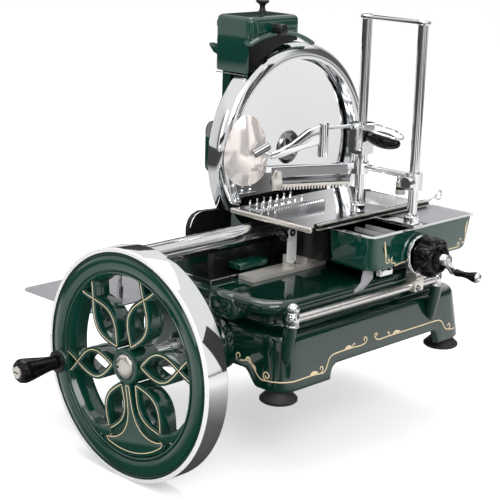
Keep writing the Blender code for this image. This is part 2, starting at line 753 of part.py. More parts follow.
def make_base():
    """Green casting with a flared skirt, a waist and an overhanging deck, hollow from below."""
    def level(z, hx, hy, corner):
        return z, rounded_outline(-hx, hx, -hy, hy, corner, steps=4)

    def deck_level(z, inset):
        return z, rounded_outline(-DECK_HX + inset, DECK_HX - DECK_RIGHT_CUT - inset, -DECK_HY + inset,
                                  DECK_HY - inset, DECK_CORNER, steps=4)

    edge = LEDGE_Z - SKIRT_TOP_Z
    base = loft("base_casting", [
        level(SKIRT_Z0, SKIRT_HX - edge / 2, SKIRT_HY - edge / 2, SKIRT_CORNER),
        level(SKIRT_Z0 + edge, SKIRT_HX, SKIRT_HY, SKIRT_CORNER),
        level((SKIRT_Z0 + SKIRT_TOP_Z) / 2, (SKIRT_HX + SKIRT_TOP_HX) / 2 - edge / 3,
              (SKIRT_HY + SKIRT_TOP_HY) / 2 - edge / 3, SKIRT_CORNER),
        level(SKIRT_TOP_Z - edge, SKIRT_TOP_HX, SKIRT_TOP_HY, SKIRT_CORNER),
        level(SKIRT_TOP_Z, SKIRT_TOP_HX - edge / 2, SKIRT_TOP_HY - edge / 2, SKIRT_CORNER),
        level(LEDGE_Z, SKIRT_TOP_HX - 2 * edge, SKIRT_TOP_HY - 2 * edge, SKIRT_CORNER),
        level(LEDGE_Z + edge, WAIST_HX + edge / 2, WAIST_HY, SKIRT_CORNER),
        level(WAIST_Z, WAIST_HX, WAIST_HY - edge / 3, SKIRT_CORNER),
        level((WAIST_Z + DECK_LOW_Z) / 2, WAIST_HX + edge, WAIST_HY + edge / 2, DECK_CORNER),
        deck_level(DECK_LOW_Z, edge),
        deck_level(DECK_LOW_Z + edge, 0.0),
        deck_level(DECK_Z - edge / 2, 0.0),
        deck_level(DECK_Z - edge / 8, edge / 3),
        deck_level(DECK_Z, edge),
    ], ENAMEL, (0, 0, 0))
    # pilasters that carry the ends of the front rod
    for x in (ROD_POST_L, ROD_POST_R):
        lug = turned("lug", (x, ROD_Y, PILASTER_TIP_Z), (0, 0, 1),
                     [(0.0, 0.0), (PILASTER_R * 0.25, 0.0), (PILASTER_R, (ROD_POST_Z0 - PILASTER_TIP_Z) * 0.8),
                      (PILASTER_R, ROD_POST_Z0 - PILASTER_TIP_Z), (0.0, ROD_POST_Z0 - PILASTER_TIP_Z)],
                     None, steps=SMALL_STEPS)
        join(lug, prism("rib", [(ROD_Y, ROD_POST_Z0 - PILASTER_R / 2), (-WAIST_HY + BASE_WALL / 2, ROD_POST_Z0
                                                                        - PILASTER_R / 2),
                                (-WAIST_HY + BASE_WALL / 2, PILASTER_TIP_Z + PILASTER_R),
                                (ROD_Y, PILASTER_TIP_Z + PILASTER_R)],
                        (x - PILASTER_R * 0.7, 0, 0), (PILASTER_R * 1.4, 0, 0), None,
                        frame=((0, 1, 0), (0, 0, 1))))
        join(base, lug)
    join(base, turned("boss", (BOSS_OUT_X, 0, WHEEL_Z), (1, 0, 0),
                      [(0.0, 0.0), (SHAFT_BOSS_R * 0.9, 0.0), (SHAFT_BOSS_R, SHAFT_BOSS_R * 0.1),
                       (SHAFT_BOSS_R * 1.15, -BOSS_OUT_X - SKIRT_TOP_HX + BASE_WALL),
                       (0.0, -BOSS_OUT_X - SKIRT_TOP_HX + BASE_WALL)], None))
    # hollow from below, shaft bores and the arches between the feet
    inner_x, inner_y = WAIST_HX - BASE_WALL, WAIST_HY - BASE_WALL
    cavity = loft("cavity", [(-SKIRT_Z0, rounded_outline(-inner_x, inner_x, -inner_y, inner_y, SKIRT_CORNER / 2)),
                             (CAVITY_TOP_Z, rounded_outline(-inner_x, inner_x, -inner_y, inner_y,
                                                            SKIRT_CORNER / 2))], None, (0, 0, 0))
    arch_r = (ARCH_Z - SKIRT_Z0) * 0.8
    front_arch = prism("arch", [(ARCH_X0, -ARCH_Z), (ARCH_X1, -ARCH_Z), (ARCH_X1, ARCH_Z - arch_r),
                                (ARCH_X1 - arch_r * 0.3, ARCH_Z - arch_r * 0.3), (ARCH_X1 - arch_r, ARCH_Z),
                                (ARCH_X0 + arch_r, ARCH_Z), (ARCH_X0 + arch_r * 0.3, ARCH_Z - arch_r * 0.3),
                                (ARCH_X0, ARCH_Z - arch_r)], (0, -SKIRT_HY * 2, 0), (0, SKIRT_HY * 4, 0), None)
    half = ARCH_SIDE_HALF
    side_arch = prism("arch", [(-half, -ARCH_Z), (half, -ARCH_Z), (half, ARCH_Z - arch_r),
                               (half - arch_r * 0.3, ARCH_Z - arch_r * 0.3), (half - arch_r, ARCH_Z),
                               (arch_r - half, ARCH_Z), (arch_r * 0.3 - half, ARCH_Z - arch_r * 0.3),
                               (-half, ARCH_Z - arch_r)], (-SKIRT_HX * 2, 0, 0), (SKIRT_HX * 4, 0, 0), None,
                      frame=((0, 1, 0), (0, 0, 1)))
    cut(base, cavity, front_arch, side_arch)
    # the inner bearing of the flywheel shaft hangs from the roof of the hollow
    join(base, box("hanger", HANGER_X0, HANGER_X1, -HANGER_HALF, HANGER_HALF, HANGER_Z0,
                   CAVITY_TOP_Z + BASE_WALL / 2, None))
    cut(base,
        rod("bore", (BOSS_OUT_X * 2, 0, WHEEL_Z), (0, 0, WHEEL_Z), SHAFT_R + GAP, None, steps=ROUND_STEPS),
        rod("bore", (BLADE_X, 0, WHEEL_Z), (BLADE_X, SKIRT_HY * 2, WHEEL_Z), CROSS_R + GAP, None,
            steps=ROUND_STEPS))
    smooth(base, math.radians(40.0))

    names = {(-1, -1): "foot_front_left", (1, -1): "foot_front_right",
             (-1, 1): "foot_rear_left", (1, 1): "foot_rear_right"}
    for (sx, sy), name in names.items():
        turned(name, (sx * FOOT_X, sy * FOOT_Y, 0.0), (0, 0, 1),
               [(0.0, 0.0), (FOOT_R * 0.9, 0.0), (FOOT_R, FOOT_PAD_H * 0.4), (FOOT_R, FOOT_PAD_H),
                (FOOT_R * 0.93, FOOT_PAD_H * 1.4), (FOOT_TOP_R, FOOT_H * 0.86), (FOOT_TOP_R, FOOT_H),
                (0.0, FOOT_H)], RUBBER, steps=ROUND_STEPS)


def make_guides():
    """Front rod with its posts, thick bar on its web, and the deck channel."""
    for x, name in ((ROD_POST_L, "rod_post_left"), (ROD_POST_R, "rod_post_right")):
        neck = ROD_CAP_TOP - ROD_POST_RAD * 1.6
        post = turned(name, (x, ROD_Y, ROD_POST_Z0 + GAP), (0, 0, 1),
                      [(0.0, 0.0), (ROD_POST_RAD, 0.0), (ROD_POST_RAD, neck - ROD_POST_Z0),
                       (ROD_POST_RAD * 0.7, neck - ROD_POST_Z0 + ROD_POST_RAD * 0.15),
                       (ROD_POST_RAD * 0.98, neck - ROD_POST_Z0 + ROD_POST_RAD * 0.6),
                       (ROD_POST_RAD * 0.75, ROD_CAP_TOP - ROD_POST_Z0 - ROD_POST_RAD * 0.25),
                       (0.0, ROD_CAP_TOP - ROD_POST_Z0)], CHROME, steps=SMALL_STEPS)
        inward = ROD_POST_RAD * (2.0 if x < 0.0 else -2.0)
        stop = ROD_POST_RAD * (0.3 if x < 0.0 else -0.3)
        cut(post, rod("bore", (x - stop, ROD_Y, ROD_Z), (x + inward, ROD_Y, ROD_Z), ROD_R + GAP, None))
        smooth(post)
    rod("front_rod", (ROD_POST_L - ROD_POST_RAD * 0.3 + GAP, ROD_Y, ROD_Z),
        (ROD_POST_R + ROD_POST_RAD * 0.3 - GAP, ROD_Y, ROD_Z), ROD_R, CHROME)
    edge = BAR_R * 0.12
    length = BAR_X1 - BAR_X0
    turned("guide_bar", (BAR_X0, BAR_Y, BAR_Z), (1, 0, 0),
           [(0.0, 0.0), (BAR_R - edge, 0.0), (BAR_R, edge), (BAR_R, length - edge), (BAR_R - edge, length),
            (0.0, length)], CHROME, steps=FINE_STEPS)
    web = box("bar_web", WEB_X0, WEB_X1, BAR_Y - WEB_HALF, BAR_Y + WEB_HALF, DECK_Z + GAP, BAR_Z, BLACK)
    cut(web, rod("seat", (WEB_X0 * 2, BAR_Y, BAR_Z), (WEB_X1 * 2, BAR_Y, BAR_Z), BAR_R + GAP, None,
                 steps=FINE_STEPS))
    # black channel plate on the deck with a bright edge
    z0 = DECK_Z + GAP
    gap_y = WEB_HALF + GAP
    outline = [(CHANNEL_X0, CHANNEL_Y0), (CHANNEL_X1, CHANNEL_Y0), (CHANNEL_X1, CHANNEL_Y1),
               (CHANNEL_X0 + CHANNEL_CUT, CHANNEL_Y1), (CHANNEL_X0, CHANNEL_Y1 - CHANNEL_CUT * 1.2)]
    plate = prism("deck_channel", outline, (0, 0, z0), (0, 0, CHANNEL_H), BLACK, frame=((1, 0, 0), (0, 1, 0)))
    join(plate, box("edge", CHANNEL_X0, CHANNEL_X1, CHANNEL_Y0, CHANNEL_Y0 + EDGE_T, z0, z0 + EDGE_H, None))
    cut(plate, box("slot", WEB_X0 - GAP, WEB_X1, BAR_Y - gap_y, BAR_Y + gap_y, 0.0, BAR_Z, None))


def make_blade():
    """Dished blade, C section guard, support column and rear cover."""
    turned("blade", (BLADE_X, BLADE_Y, BLADE_Z), (0, 1, 0),
           [(0.0, BLADE_DISH), (BLADE_R * 0.86, BLADE_DISH), (BLADE_R * 0.9, BLADE_DISH * 0.8), (BLADE_R, 0.0),
            (BLADE_R, BLADE_T * 0.12), (BLADE_R * 0.88, BLADE_T * 0.75), (BLADE_R * 0.84, BLADE_T),
            (0.0, BLADE_T)], CHROME, steps=FINE_STEPS)
    turned("blade_nut", (BLADE_X, BLADE_Y + BLADE_DISH - GAP, BLADE_Z), (0, -1, 0),
           [(0.0, 0.0), (BLADE_HUB_R, 0.0), (BLADE_HUB_R * 0.95, BLADE_HUB_R * 0.12),
            (BLADE_HUB_R * 0.6, BLADE_HUB_R * 0.35), (BLADE_HUB_R * 0.3, BLADE_HUB_R * 0.42),
            (0.0, BLADE_HUB_R * 0.42)], CHROME)
    # guard: the section is swept round the blade axis, open at the bottom
    lip = GUARD_WALL
    section = [(GUARD_LIP_R, GUARD_Y0 + lip * 0.9), (GUARD_LIP_R, GUARD_Y0 + lip * 0.2),
               (GUARD_LIP_R + lip * 0.5, GUARD_Y0), (GUARD_R - lip * 3.6, GUARD_Y0 + lip * 0.2),
               (GUARD_R - lip * 1.4, GUARD_Y0 + lip * 1.6), (GUARD_R, GUARD_Y0 + lip * 4.4),
               (GUARD_R, GUARD_Y1 - lip * 0.6), (GUARD_R - lip * 0.6, GUARD_Y1), (GUARD_BACK_R, GUARD_Y1),
               (GUARD_BACK_R, GUARD_Y1 - lip), (GUARD_R - lip, GUARD_Y1 - lip),
               (GUARD_R - lip, GUARD_Y0 + lip * 4.8), (GUARD_R - lip * 2.3, GUARD_Y0 + lip * 2.3),
               (GUARD_R - lip * 3.8, GUARD_Y0 + lip * 1.2)]
    bm = bmesh.new()
    rows = []
    for i in range(GUARD_STEPS + 1):
        a = GUARD_FROM + GUARD_SPAN * i / GUARD_STEPS
        rows.append([bm.verts.new((BLADE_X + r * math.cos(a), y, BLADE_Z + r * math.sin(a)))
                     for r, y in section])
    count = len(section)
    bm.faces.new(rows[0])
    bm.faces.new(rows[-1][::-1])
    for one, two in zip(rows, rows[1:]):
        for i in range(count):
            bm.faces.new((one[i], two[i], two[(i + 1) % count], one[(i + 1) % count]))
    smooth(add_object("blade_guard", finish(bm, "blade_guard"), CHROME, (BLADE_X, GUARD_Y0, BLADE_Z)))
    # spider that carries the guard behind the blade
    y0 = GUARD_Y1 + GAP
    spider = turned("guard_spider", (BLADE_X, y0, BLADE_Z), (0, 1, 0),
                    [(BLADE_HUB_R, 0.0), (SPIDER_HUB_R, 0.0), (SPIDER_HUB_R, SPIDER_Y1 - y0),
                     (BLADE_HUB_R, SPIDER_Y1 - y0), (BLADE_HUB_R, 0.0)], DARK)
    for degrees in (15.0, 90.0, 165.0):
        a = math.radians(degrees)
        along, side = (math.cos(a), math.sin(a)), (-math.sin(a), math.cos(a))
        pts = [(along[0] * r + side[0] * w, along[1] * r + side[1] * w)
               for r, w in ((BLADE_HUB_R + GUARD_WALL, -SPIDER_ARM_HALF), (GUARD_R - GUARD_WALL, -SPIDER_ARM_HALF),
                            (GUARD_R - GUARD_WALL, SPIDER_ARM_HALF), (BLADE_HUB_R + GUARD_WALL, SPIDER_ARM_HALF))]
        join(spider, prism("arm", pts, (BLADE_X, y0, BLADE_Z), (0, SPIDER_Y1 - y0, 0), None))
    column = box("blade_column", BLADE_X - COLUMN_HALF, BLADE_X + COLUMN_HALF, COLUMN_Y0, COLUMN_Y1,
                 DECK_Z + GAP, COLUMN_TOP, ENAMEL)
    cut(column, rod("bore", (BLADE_X, 0, BLADE_Z), (BLADE_X, HOUSE_Y1 * 2, BLADE_Z), BLADE_SHAFT_R + GAP, None,
                    steps=ROUND_STEPS))
    # rear cover: a shell over both sprockets, with the arm that carries the sharpener
    x0, x1 = BLADE_X - HOUSE_HALF, BLADE_X + HOUSE_HALF
    frame = ((1, 0, 0), (0, 0, 1))

    def slab(name, xa, xb, za, zb, y0, y1, radius, mat):
        return prism(name, rounded_outline(xa, xb, za, zb, radius, steps=4), (0, y0, 0), (0, y1 - y0, 0), mat,
                     frame=frame)

    radius = HOUSE_WALL * 3
    cover = slab("rear_cover", x0, x1, HOUSE_Z0, HOUSE_Z1, HOUSE_Y0, HOUSE_Y1, radius, ENAMEL)
    join(cover, slab("side", HOUSE_ARM_X0, x0 + 2 * radius, HOUSE_ARM_Z0, HOUSE_ARM_Z1, HOUSE_Y0, HOUSE_Y1,
                     radius, None))
    join(cover, box("arm", ARM_X0, ARM_X1, HOOD_Y1 + GAP, HOUSE_Y1, HOUSE_ARM_Z1 - radius, HINGE_Z, None))
    join(cover, rod("knuckle", (ARM_X0, HINGE_Y, HINGE_Z), (ARM_X1, HINGE_Y, HINGE_Z), HINGE_R, None))
    cut(cover, slab("hollow", x0 + HOUSE_WALL, x1 - HOUSE_WALL, HOUSE_Z0 + HOUSE_WALL, HOUSE_Z1 - HOUSE_WALL,
                    0.0, HOUSE_Y1 - HOUSE_WALL, radius - HOUSE_WALL, None),
        rod("bore", (ARM_X0 * 2, HINGE_Y, HINGE_Z), (-ARM_X0, HINGE_Y, HINGE_Z), HINGE_R / 2 + GAP, None))
    smooth(cover, math.radians(40.0))


def make_sharpener():
    """Hinged hood over the top of the blade with two stones and a locking knob."""
    hood = box("sharpener_hood", HOOD_X0, HOOD_X1, HOOD_Y0, HOOD_Y1, HOOD_Z0, HOOD_Z1, ENAMEL,
               origin=(BLADE_X, HINGE_Y, HINGE_Z))
    bevel(hood, HOOD_WALL * 2.2, 4)
    solid = apply_all(hood, "hood")
    hood.modifiers.clear()
    hood.data = solid
    wall = HOOD_WALL
    cut(hood, rod("clear", (BLADE_X, 0, BLADE_Z), (BLADE_X, HOUSE_Y1 * 2, BLADE_Z), HOOD_CLEAR_R, None, steps=2 * ROUND_STEPS),
        box("hollow", HOOD_X0 + wall, HOOD_X1 - wall, HOOD_Y0 + wall, HOOD_Y1 - wall, 0.0, HOOD_Z1 - wall, None))
    # hinge ears either side of the arm, and the hook at the back left
    for x0, x1 in ((ARM_X0 - wall * 1.6, ARM_X0 - GAP), (ARM_X1 + GAP, ARM_X1 + wall * 1.6)):
        ear = box("ear", x0, x1, HOOD_Y1 - wall / 2, HINGE_Y, HINGE_Z - HINGE_R, HINGE_Z + HINGE_R, None)
        join(ear, rod("eye", (x0, HINGE_Y, HINGE_Z), (x1, HINGE_Y, HINGE_Z), HINGE_R, None))
        join(hood, ear)
    join(hood, prism("hook", [(HOOD_Y1 - wall / 2, HOOD_Z0 + HINGE_R * 3), (HOOD_Y1 + HINGE_R * 1.1, HOOD_Z0
                                                                            + HINGE_R * 4.2),
                              (HOOD_Y1 + HINGE_R * 1.9, HOOD_Z0 + HINGE_R * 4.2),
                              (HOOD_Y1 + HINGE_R * 1.2, HOOD_Z0 + HINGE_R * 5.0),
                              (HOOD_Y1 - wall / 2, HOOD_Z0 + HINGE_R * 5.4)],
                     (HOOD_X0 + wall / 2, 0, 0), (HINGE_R, 0, 0), None, frame=((0, 1, 0), (0, 0, 1))))
    cut(hood, rod("bore", (STONE_FRONT_X, 0, STONE_Z), (STONE_FRONT_X, BLADE_Y, STONE_Z), HINGE_R / 2 + GAP, None),
        rod("bore", (STONE_BACK_X, BLADE_Y, STONE_Z - STONE_R), (STONE_BACK_X, HOUSE_Y1, STONE_Z - STONE_R),
            HINGE_R / 2 + GAP, None),
        rod("bore", (SPOOL_X, SPOOL_Y, HOOD_Z0), (SPOOL_X, SPOOL_Y, HOOD_Z1 * 2), SPOOL_NECK_R + GAP, None))
    join(hood, rod("pin", (ARM_X0 - wall, HINGE_Y, HINGE_Z), (ARM_X1 + wall, HINGE_Y, HINGE_Z), HINGE_R / 2, None))
    smooth(hood, math.radians(35.0))
    # front stone with its dark knob outside the hood
    inner = HOOD_Y0 + wall + GAP
    out = HOOD_Y0 - GAP
    stone = turned("stone_front", (STONE_FRONT_X, out - wall * 3.2, STONE_Z), (0, 1, 0),
                   [(0.0, 0.0), (HINGE_R * 1.2, 0.0), (HINGE_R * 1.35, wall * 0.6), (HINGE_R * 1.35, wall * 3.2),
                    (HINGE_R / 2, wall * 3.2), (HINGE_R / 2, inner - out + wall * 3.2),
                    (STONE_R, inner - out + wall * 3.2), (STONE_R, inner - out + wall * 3.2 + STONE_T),
                    (0.0, inner - out + wall * 3.2 + STONE_T)], STONE, steps=ROUND_STEPS,
                   origin=(STONE_FRONT_X, HOOD_Y0, STONE_Z))
    smooth(stone)
    back = HOOD_Y1 - wall - GAP
    stone = turned("stone_back", (STONE_BACK_X, back - STONE_T, STONE_Z - STONE_R), (0, 1, 0),
                   [(0.0, 0.0), (STONE_R, 0.0), (STONE_R, STONE_T), (HINGE_R / 2, STONE_T),
                    (HINGE_R / 2, STONE_T + wall), (0.0, STONE_T + wall)], STONE, steps=ROUND_STEPS)
    smooth(stone)
    top = HOOD_Z1 + GAP
    turned("lock_knob", (SPOOL_X, SPOOL_Y, top - wall * 2), (0, 0, 1),
           [(0.0, 0.0), (SPOOL_NECK_R, 0.0), (SPOOL_NECK_R, wall * 2), (SPOOL_R * 0.8, wall * 2),
            (SPOOL_R * 0.85, wall * 2 + SPOOL_H * 0.08), (SPOOL_NECK_R * 1.15, wall * 2 + SPOOL_H * 0.34),
            (SPOOL_NECK_R * 1.05, wall * 2 + SPOOL_H * 0.55), (SPOOL_R * 0.9, wall * 2 + SPOOL_H * 0.85),
            (SPOOL_R, wall * 2 + SPOOL_H * 0.93), (SPOOL_R * 0.8, wall * 2 + SPOOL_H),
            (0.0, wall * 2 + SPOOL_H)], BLACK, steps=SMALL_STEPS)


def make_carriage():
    """Green box with a bright lip, black saddle on the thick bar, rod clamp and drive slider."""
    body = loft("carriage_box", [(z, rounded_outline(CAR_X0 + i, CAR_X1 - i, CAR_Y0 + i, CAR_Y1 - GAP - i,
                                                     CAR_CORNER, steps=4))
                                 for z, i in ((CAR_Z0, CAR_WALL * 0.5), (CAR_Z0 + CAR_WALL * 0.4, 0.0),
                                              (CAR_Z1 - GAP, 0.0))], ENAMEL,
                ((CAR_X0 + CAR_X1) / 2, CAR_Y0, CAR_Z0))
    slot_x0, slot_x1 = FEED_X - NUT_HALF * 1.25, FEED_X + NUT_HALF * 1.25
    cut(body, loft("hollow", [(z, rounded_outline(CAR_X0 + CAR_WALL, CAR_X1 - CAR_WALL, CAR_Y0 + CAR_WALL,
                                                  CAR_Y1 - CAR_WALL, CAR_CORNER - CAR_WALL, steps=4))
                              for z in (CAR_Z0 + CAR_FLOOR, CAR_Z1 * 1.2)], None, (0, 0, 0)),
        box("slot", slot_x0, slot_x1, CAR_Y1 - CAR_WALL * 2, 0.0, CAR_Z0 + CAR_FLOOR, CAR_Z1 * 1.2, None),
        rod("bore", (FEED_X, CAR_Y0 * 2, FEED_Z), (FEED_X, CAR_Y1 - CAR_WALL, FEED_Z), SCREW_R + GAP, None))
    join(body, box("ledge", COVER_X0 + CAR_CORNER, CAR_X1 - CAR_CORNER * 2, CAR_Y0 + CAR_WALL / 2,
                   CAR_Y0 + CAR_WALL + CAR_CORNER, CAR_Z0 + CAR_FLOOR / 2, CAR_Z1 + LIP_T - COVER_T - GAP, None))
    smooth(body, math.radians(35.0))
    z0 = CAR_Z1
    lip = prism("carriage_lip", rounded_outline(CAR_X0 - LIP_OUT, CAR_X1 + LIP_OUT, CAR_Y0 - LIP_OUT, CAR_Y1 - GAP,
                                                CAR_CORNER, steps=4), (0, 0, z0), (0, 0, LIP_T), CHROME,
                frame=((1, 0, 0), (0, 1, 0)))
    cut(lip, prism("open", rounded_outline(CAR_X0 + CAR_WALL, CAR_X1 - CAR_WALL, CAR_Y0 + CAR_WALL,
                                           CAR_Y1 - CAR_WALL, CAR_CORNER - CAR_WALL, steps=4),
                   (0, 0, CAR_Z0), (0, 0, CAR_Z1), None, frame=((1, 0, 0), (0, 1, 0))),
        box("slot", slot_x0, slot_x1, CAR_Y1 - CAR_WALL * 2, 0.0, CAR_Z0, CAR_Z1 * 1.2, None))
    # saddle
    saddle = box("carriage_saddle", SADDLE_X0, SADDLE_X1, CAR_Y1, SADDLE_Y1, SADDLE_Z0, SADDLE_Z1, BLACK)
    slot_top = SCREW_R * 1.4
    cut(saddle,
        rod("bore", (SADDLE_X0 * 3, BAR_Y, BAR_Z), (SADDLE_X1 * 2, BAR_Y, BAR_Z), BAR_R + GAP, None,
            steps=FINE_STEPS),
        box("slot", SADDLE_X0 * 2, SADDLE_X1 * 2, BAR_Y - WEB_HALF * 1.5, BAR_Y + WEB_HALF * 1.5, 0.0, BAR_Z, None),
        box("screw_slot", slot_x0, slot_x1, CAR_Y1 * 2, BAR_Y - BAR_R - CAR_WALL, FEED_Z - slot_top,
            SADDLE_Z1 * 2, None))
    # grey cover plate inside the lip at the right end
    top = CAR_Z1 + LIP_T
    prism("trough_cover", rounded_outline(COVER_X0, CAR_X1 - CAR_WALL - GAP, CAR_Y0 + CAR_WALL + GAP,
                                          CAR_Y1 - CAR_WALL - GAP, CAR_CORNER - CAR_WALL, steps=4),
          (0, 0, top - COVER_T), (0, 0, COVER_T), GREY, frame=((1, 0, 0), (0, 1, 0)))
    # clamp that rides on the front rod
    clamp = box("rod_clamp", BRACKET_X - BRACKET_HALF, BRACKET_X + BRACKET_HALF, ROD_Y - ROD_R * 1.5,
                ROD_Y + ROD_R * 1.5, ROD_Z - ROD_R * 1.6, CAR_Z0 - GAP, CREAM, round_by=0.0)
    cut(clamp, rod("bore", (0, ROD_Y, ROD_Z), (ROD_POST_R * 2, ROD_Y, ROD_Z), ROD_R + GAP, None, steps=ROUND_STEPS))
    # drive slider with the block that joins it to the saddle
    slider = box("drive_slider", SLIDER_X0, SLIDER_X1, SLIDER_Y0, SLIDER_Y1, SLIDER_Z0, SLIDER_Z1, CHROME)
    join(slider, box("block", SADDLE_X0 + CAR_WALL, SLIDER_X1 - CAR_WALL, SLIDER_Y0 + CAR_WALL,
                     SLIDER_Y1 - CAR_WALL, SLIDER_Z0 + CAR_WALL / 2, SADDLE_Z0 - GAP, None),
         box("lug", LEVER_X - LEVER_HALF, LEVER_X + LEVER_HALF, LEVER_Y + LEVER_T / 2 + GAP,
             LEVER_Y + LEVER_T / 2 + LEVER_T * 2, SLIDER_Z0 + CAR_WALL / 2,
             LEVER_PIVOT_Z + LEVER_HALF * 0.7, None),
         rod("pin", (LEVER_X, LEVER_Y - LEVER_T * 0.9, LEVER_PIVOT_Z),
             (LEVER_X, LEVER_Y + LEVER_T * 1.5, LEVER_PIVOT_Z), LEVER_T / 2, None))
    outline = [(-LEVER_HALF, 0.0)]
    top_mid = LEVER_TOP_Z - LEVER_HALF - LEVER_PIVOT_Z
    for i in range(9):
        a = math.pi * (1.0 - i / 8.0)
        outline.append((LEVER_HALF * math.cos(a), top_mid + LEVER_HALF * math.sin(a)))
    outline.append((LEVER_HALF, 0.0))
    for i in range(1, 8):
        a = -math.pi * i / 8.0
        outline.append((LEVER_HALF * math.cos(a), LEVER_HALF * 0.85 * math.sin(a)))
    lever = prism("release_lever", outline, (LEVER_X, LEVER_Y - LEVER_T / 2, LEVER_PIVOT_Z), (0, LEVER_T, 0),
                  CHROME, origin=(LEVER_X, LEVER_Y, LEVER_PIVOT_Z))
    join(lever, rod("stud", (BALL_X + BALL_R * 0.9, LEVER_Y, BALL_Z), (LEVER_X - LEVER_HALF / 2, LEVER_Y, BALL_Z),
                    LEVER_T * 0.4, None, steps=SMALL_STEPS))
    cut(lever, rod("bore", (LEVER_X, LEVER_Y - LEVER_T * 2, LEVER_PIVOT_Z),
                   (LEVER_X, LEVER_Y + LEVER_T * 2, LEVER_PIVOT_Z), LEVER_T / 2 + GAP, None))
    smooth(lever)
    bm = bmesh.new()
    bmesh.ops.create_uvsphere(bm, u_segments=14, v_segments=8, radius=BALL_R)
    bmesh.ops.transform(bm, matrix=Matrix.Translation((BALL_X, LEVER_Y, BALL_Z)), verts=bm.verts)
    ball = add_object("lever_ball", finish(bm, "lever_ball"), BLACK, (LEVER_X, LEVER_Y, LEVER_PIVOT_Z))
    cut(ball, rod("seat", (BALL_X + BALL_R * 0.9 - GAP, LEVER_Y, BALL_Z), (LEVER_X, LEVER_Y, BALL_Z),
                  LEVER_T * 0.4 + GAP, None, steps=SMALL_STEPS))
    smooth(ball)


def make_feed():
    """Lobed knob, screw and folding crank on the front of the carriage."""
    y_front = CAR_Y0 - GAP
    flange = turned("feed_flange", (FEED_X, y_front, FEED_Z), (0, -1, 0),
                    [(SCREW_R + GAP, 0.0), (FLANGE_R, 0.0), (FLANGE_R, FLANGE_T * 0.5),
                     (FLANGE_R * 0.94, FLANGE_T), (SCREW_R + GAP, FLANGE_T), (SCREW_R + GAP, 0.0)], CHROME)
    smooth(flange)
    # black knob with round lobes
    y0 = y_front - FLANGE_T - GAP
    depth = y0 - KNOB_Y1
    points = []
    steps = KNOB_LOBES * 8
    for i in range(steps):
        a = i * TURN / steps
        r = KNOB_R * (0.93 + 0.07 * math.cos(KNOB_LOBES * a))
        points.append((r * math.cos(a), r * math.sin(a)))
    bm = bmesh.new()
    rows = []
    for share, scale in ((0.0, 0.90), (0.10, 1.0), (0.80, 0.98), (0.93, 0.90), (1.0, 0.76)):
        y = y0 - depth * share
        rows.append([bm.verts.new((FEED_X + x * scale, y, FEED_Z + z * scale)) for x, z in points])
    bm.faces.new(rows[0])
    bm.faces.new(rows[-1][::-1])
    for one, two in zip(rows, rows[1:]):
        for i in range(steps):
            bm.faces.new((one[i], two[i], two[(i + 1) % steps], one[(i + 1) % steps]))
    knob = add_object("feed_knob", finish(bm, "feed_knob"), BLACK, (FEED_X, y_front, FEED_Z))
    cut(knob, rod("bore", (FEED_X, 0, FEED_Z), (FEED_X, CRANK_Y * 2, FEED_Z), SCREW_R + GAP, None))
    smooth(knob, math.radians(32.0))
    rod("feed_screw", (FEED_X, CRANK_Y - CRANK_T * 0.8, FEED_Z), (FEED_X, SCREW_END_Y - BAR_R * 3, FEED_Z), SCREW_R,
        STEEL)
    # crank arm with its little grip
    ca, sa = math.cos(CRANK_ANGLE), math.sin(CRANK_ANGLE)
    tip = Vector((FEED_X + CRANK_ARM * ca, 0, FEED_Z + CRANK_ARM * sa))
    y_arm = KNOB_Y1 - GAP
    arm = rod("crank_arm", (FEED_X, y_arm, FEED_Z), (FEED_X, y_arm - CRANK_T, FEED_Z), SCREW_R * 1.9, CHROME,
              origin=(FEED_X, y_front, FEED_Z))
    along, side = Vector((ca, 0, sa)), Vector((-sa, 0, ca))
    half_root, half_tip = SCREW_R * 1.1, SCREW_R * 0.85
    pts = [(0.0, -half_root), (CRANK_ARM, -half_tip), (CRANK_ARM, half_tip), (0.0, half_root)]
    join(arm, prism("bar", pts, (FEED_X, y_arm - CRANK_T * 0.15, FEED_Z), (0, -CRANK_T * 0.7, 0), None,
                    frame=(along, side)),
         rod("eye", (tip.x, y_arm, tip.z), (tip.x, y_arm - CRANK_T, tip.z), SCREW_R * 1.25, None),
         rod("stud", (tip.x, y_arm - CRANK_T / 2, tip.z),
             (tip.x, y_arm - CRANK_T - CRANK_GRIP_LEN - CRANK_GRIP_R, tip.z), SCREW_R / 2, None))
    cut(arm, rod("bore", (FEED_X, 0, FEED_Z), (FEED_X, CRANK_Y * 2, FEED_Z), SCREW_R + GAP, None))
    smooth(arm)
    r = CRANK_GRIP_R
    bore = SCREW_R / 2 + GAP
    shape = ((0.0, 0.72), (0.10, 0.86), (0.30, 0.80), (0.55, 0.86), (0.68, 0.70), (0.80, 0.98), (1.0, 1.0))
    turned("crank_grip", (tip.x, y_arm - CRANK_T - GAP, tip.z), (0, -1, 0),
           [(bore, 0.0)] + [(r * width, CRANK_GRIP_LEN * share) for share, width in shape]
           + [(bore, CRANK_GRIP_LEN), (bore, 0.0)], BLACK, steps=SMALL_STEPS)
    end_y = y_arm - CRANK_T - CRANK_GRIP_LEN - 2 * GAP
    join(arm, turned("cap", (tip.x, end_y, tip.z), (0, -1, 0),
                     [(0.0, 0.0), (r * 0.96, 0.0), (r * 0.9, r * 0.5), (r * 0.5, r * 0.95), (0.0, r * 1.1)],
                     None, steps=SMALL_STEPS))
    smooth(arm)


def toothed_strip(length, teeth, low, high, tooth, width_share=0.5):
    """Outline of a strip with pointed teeth along its top edge."""
    points = [(0.0, low), (length, low)]
    pitch = length / teeth
    for i in reversed(range(teeth)):
        mid = (i + 0.5) * pitch
        half = pitch * width_share / 2
        points += [(mid + half, high), (mid, high + tooth), (mid - half, high)]
    return points


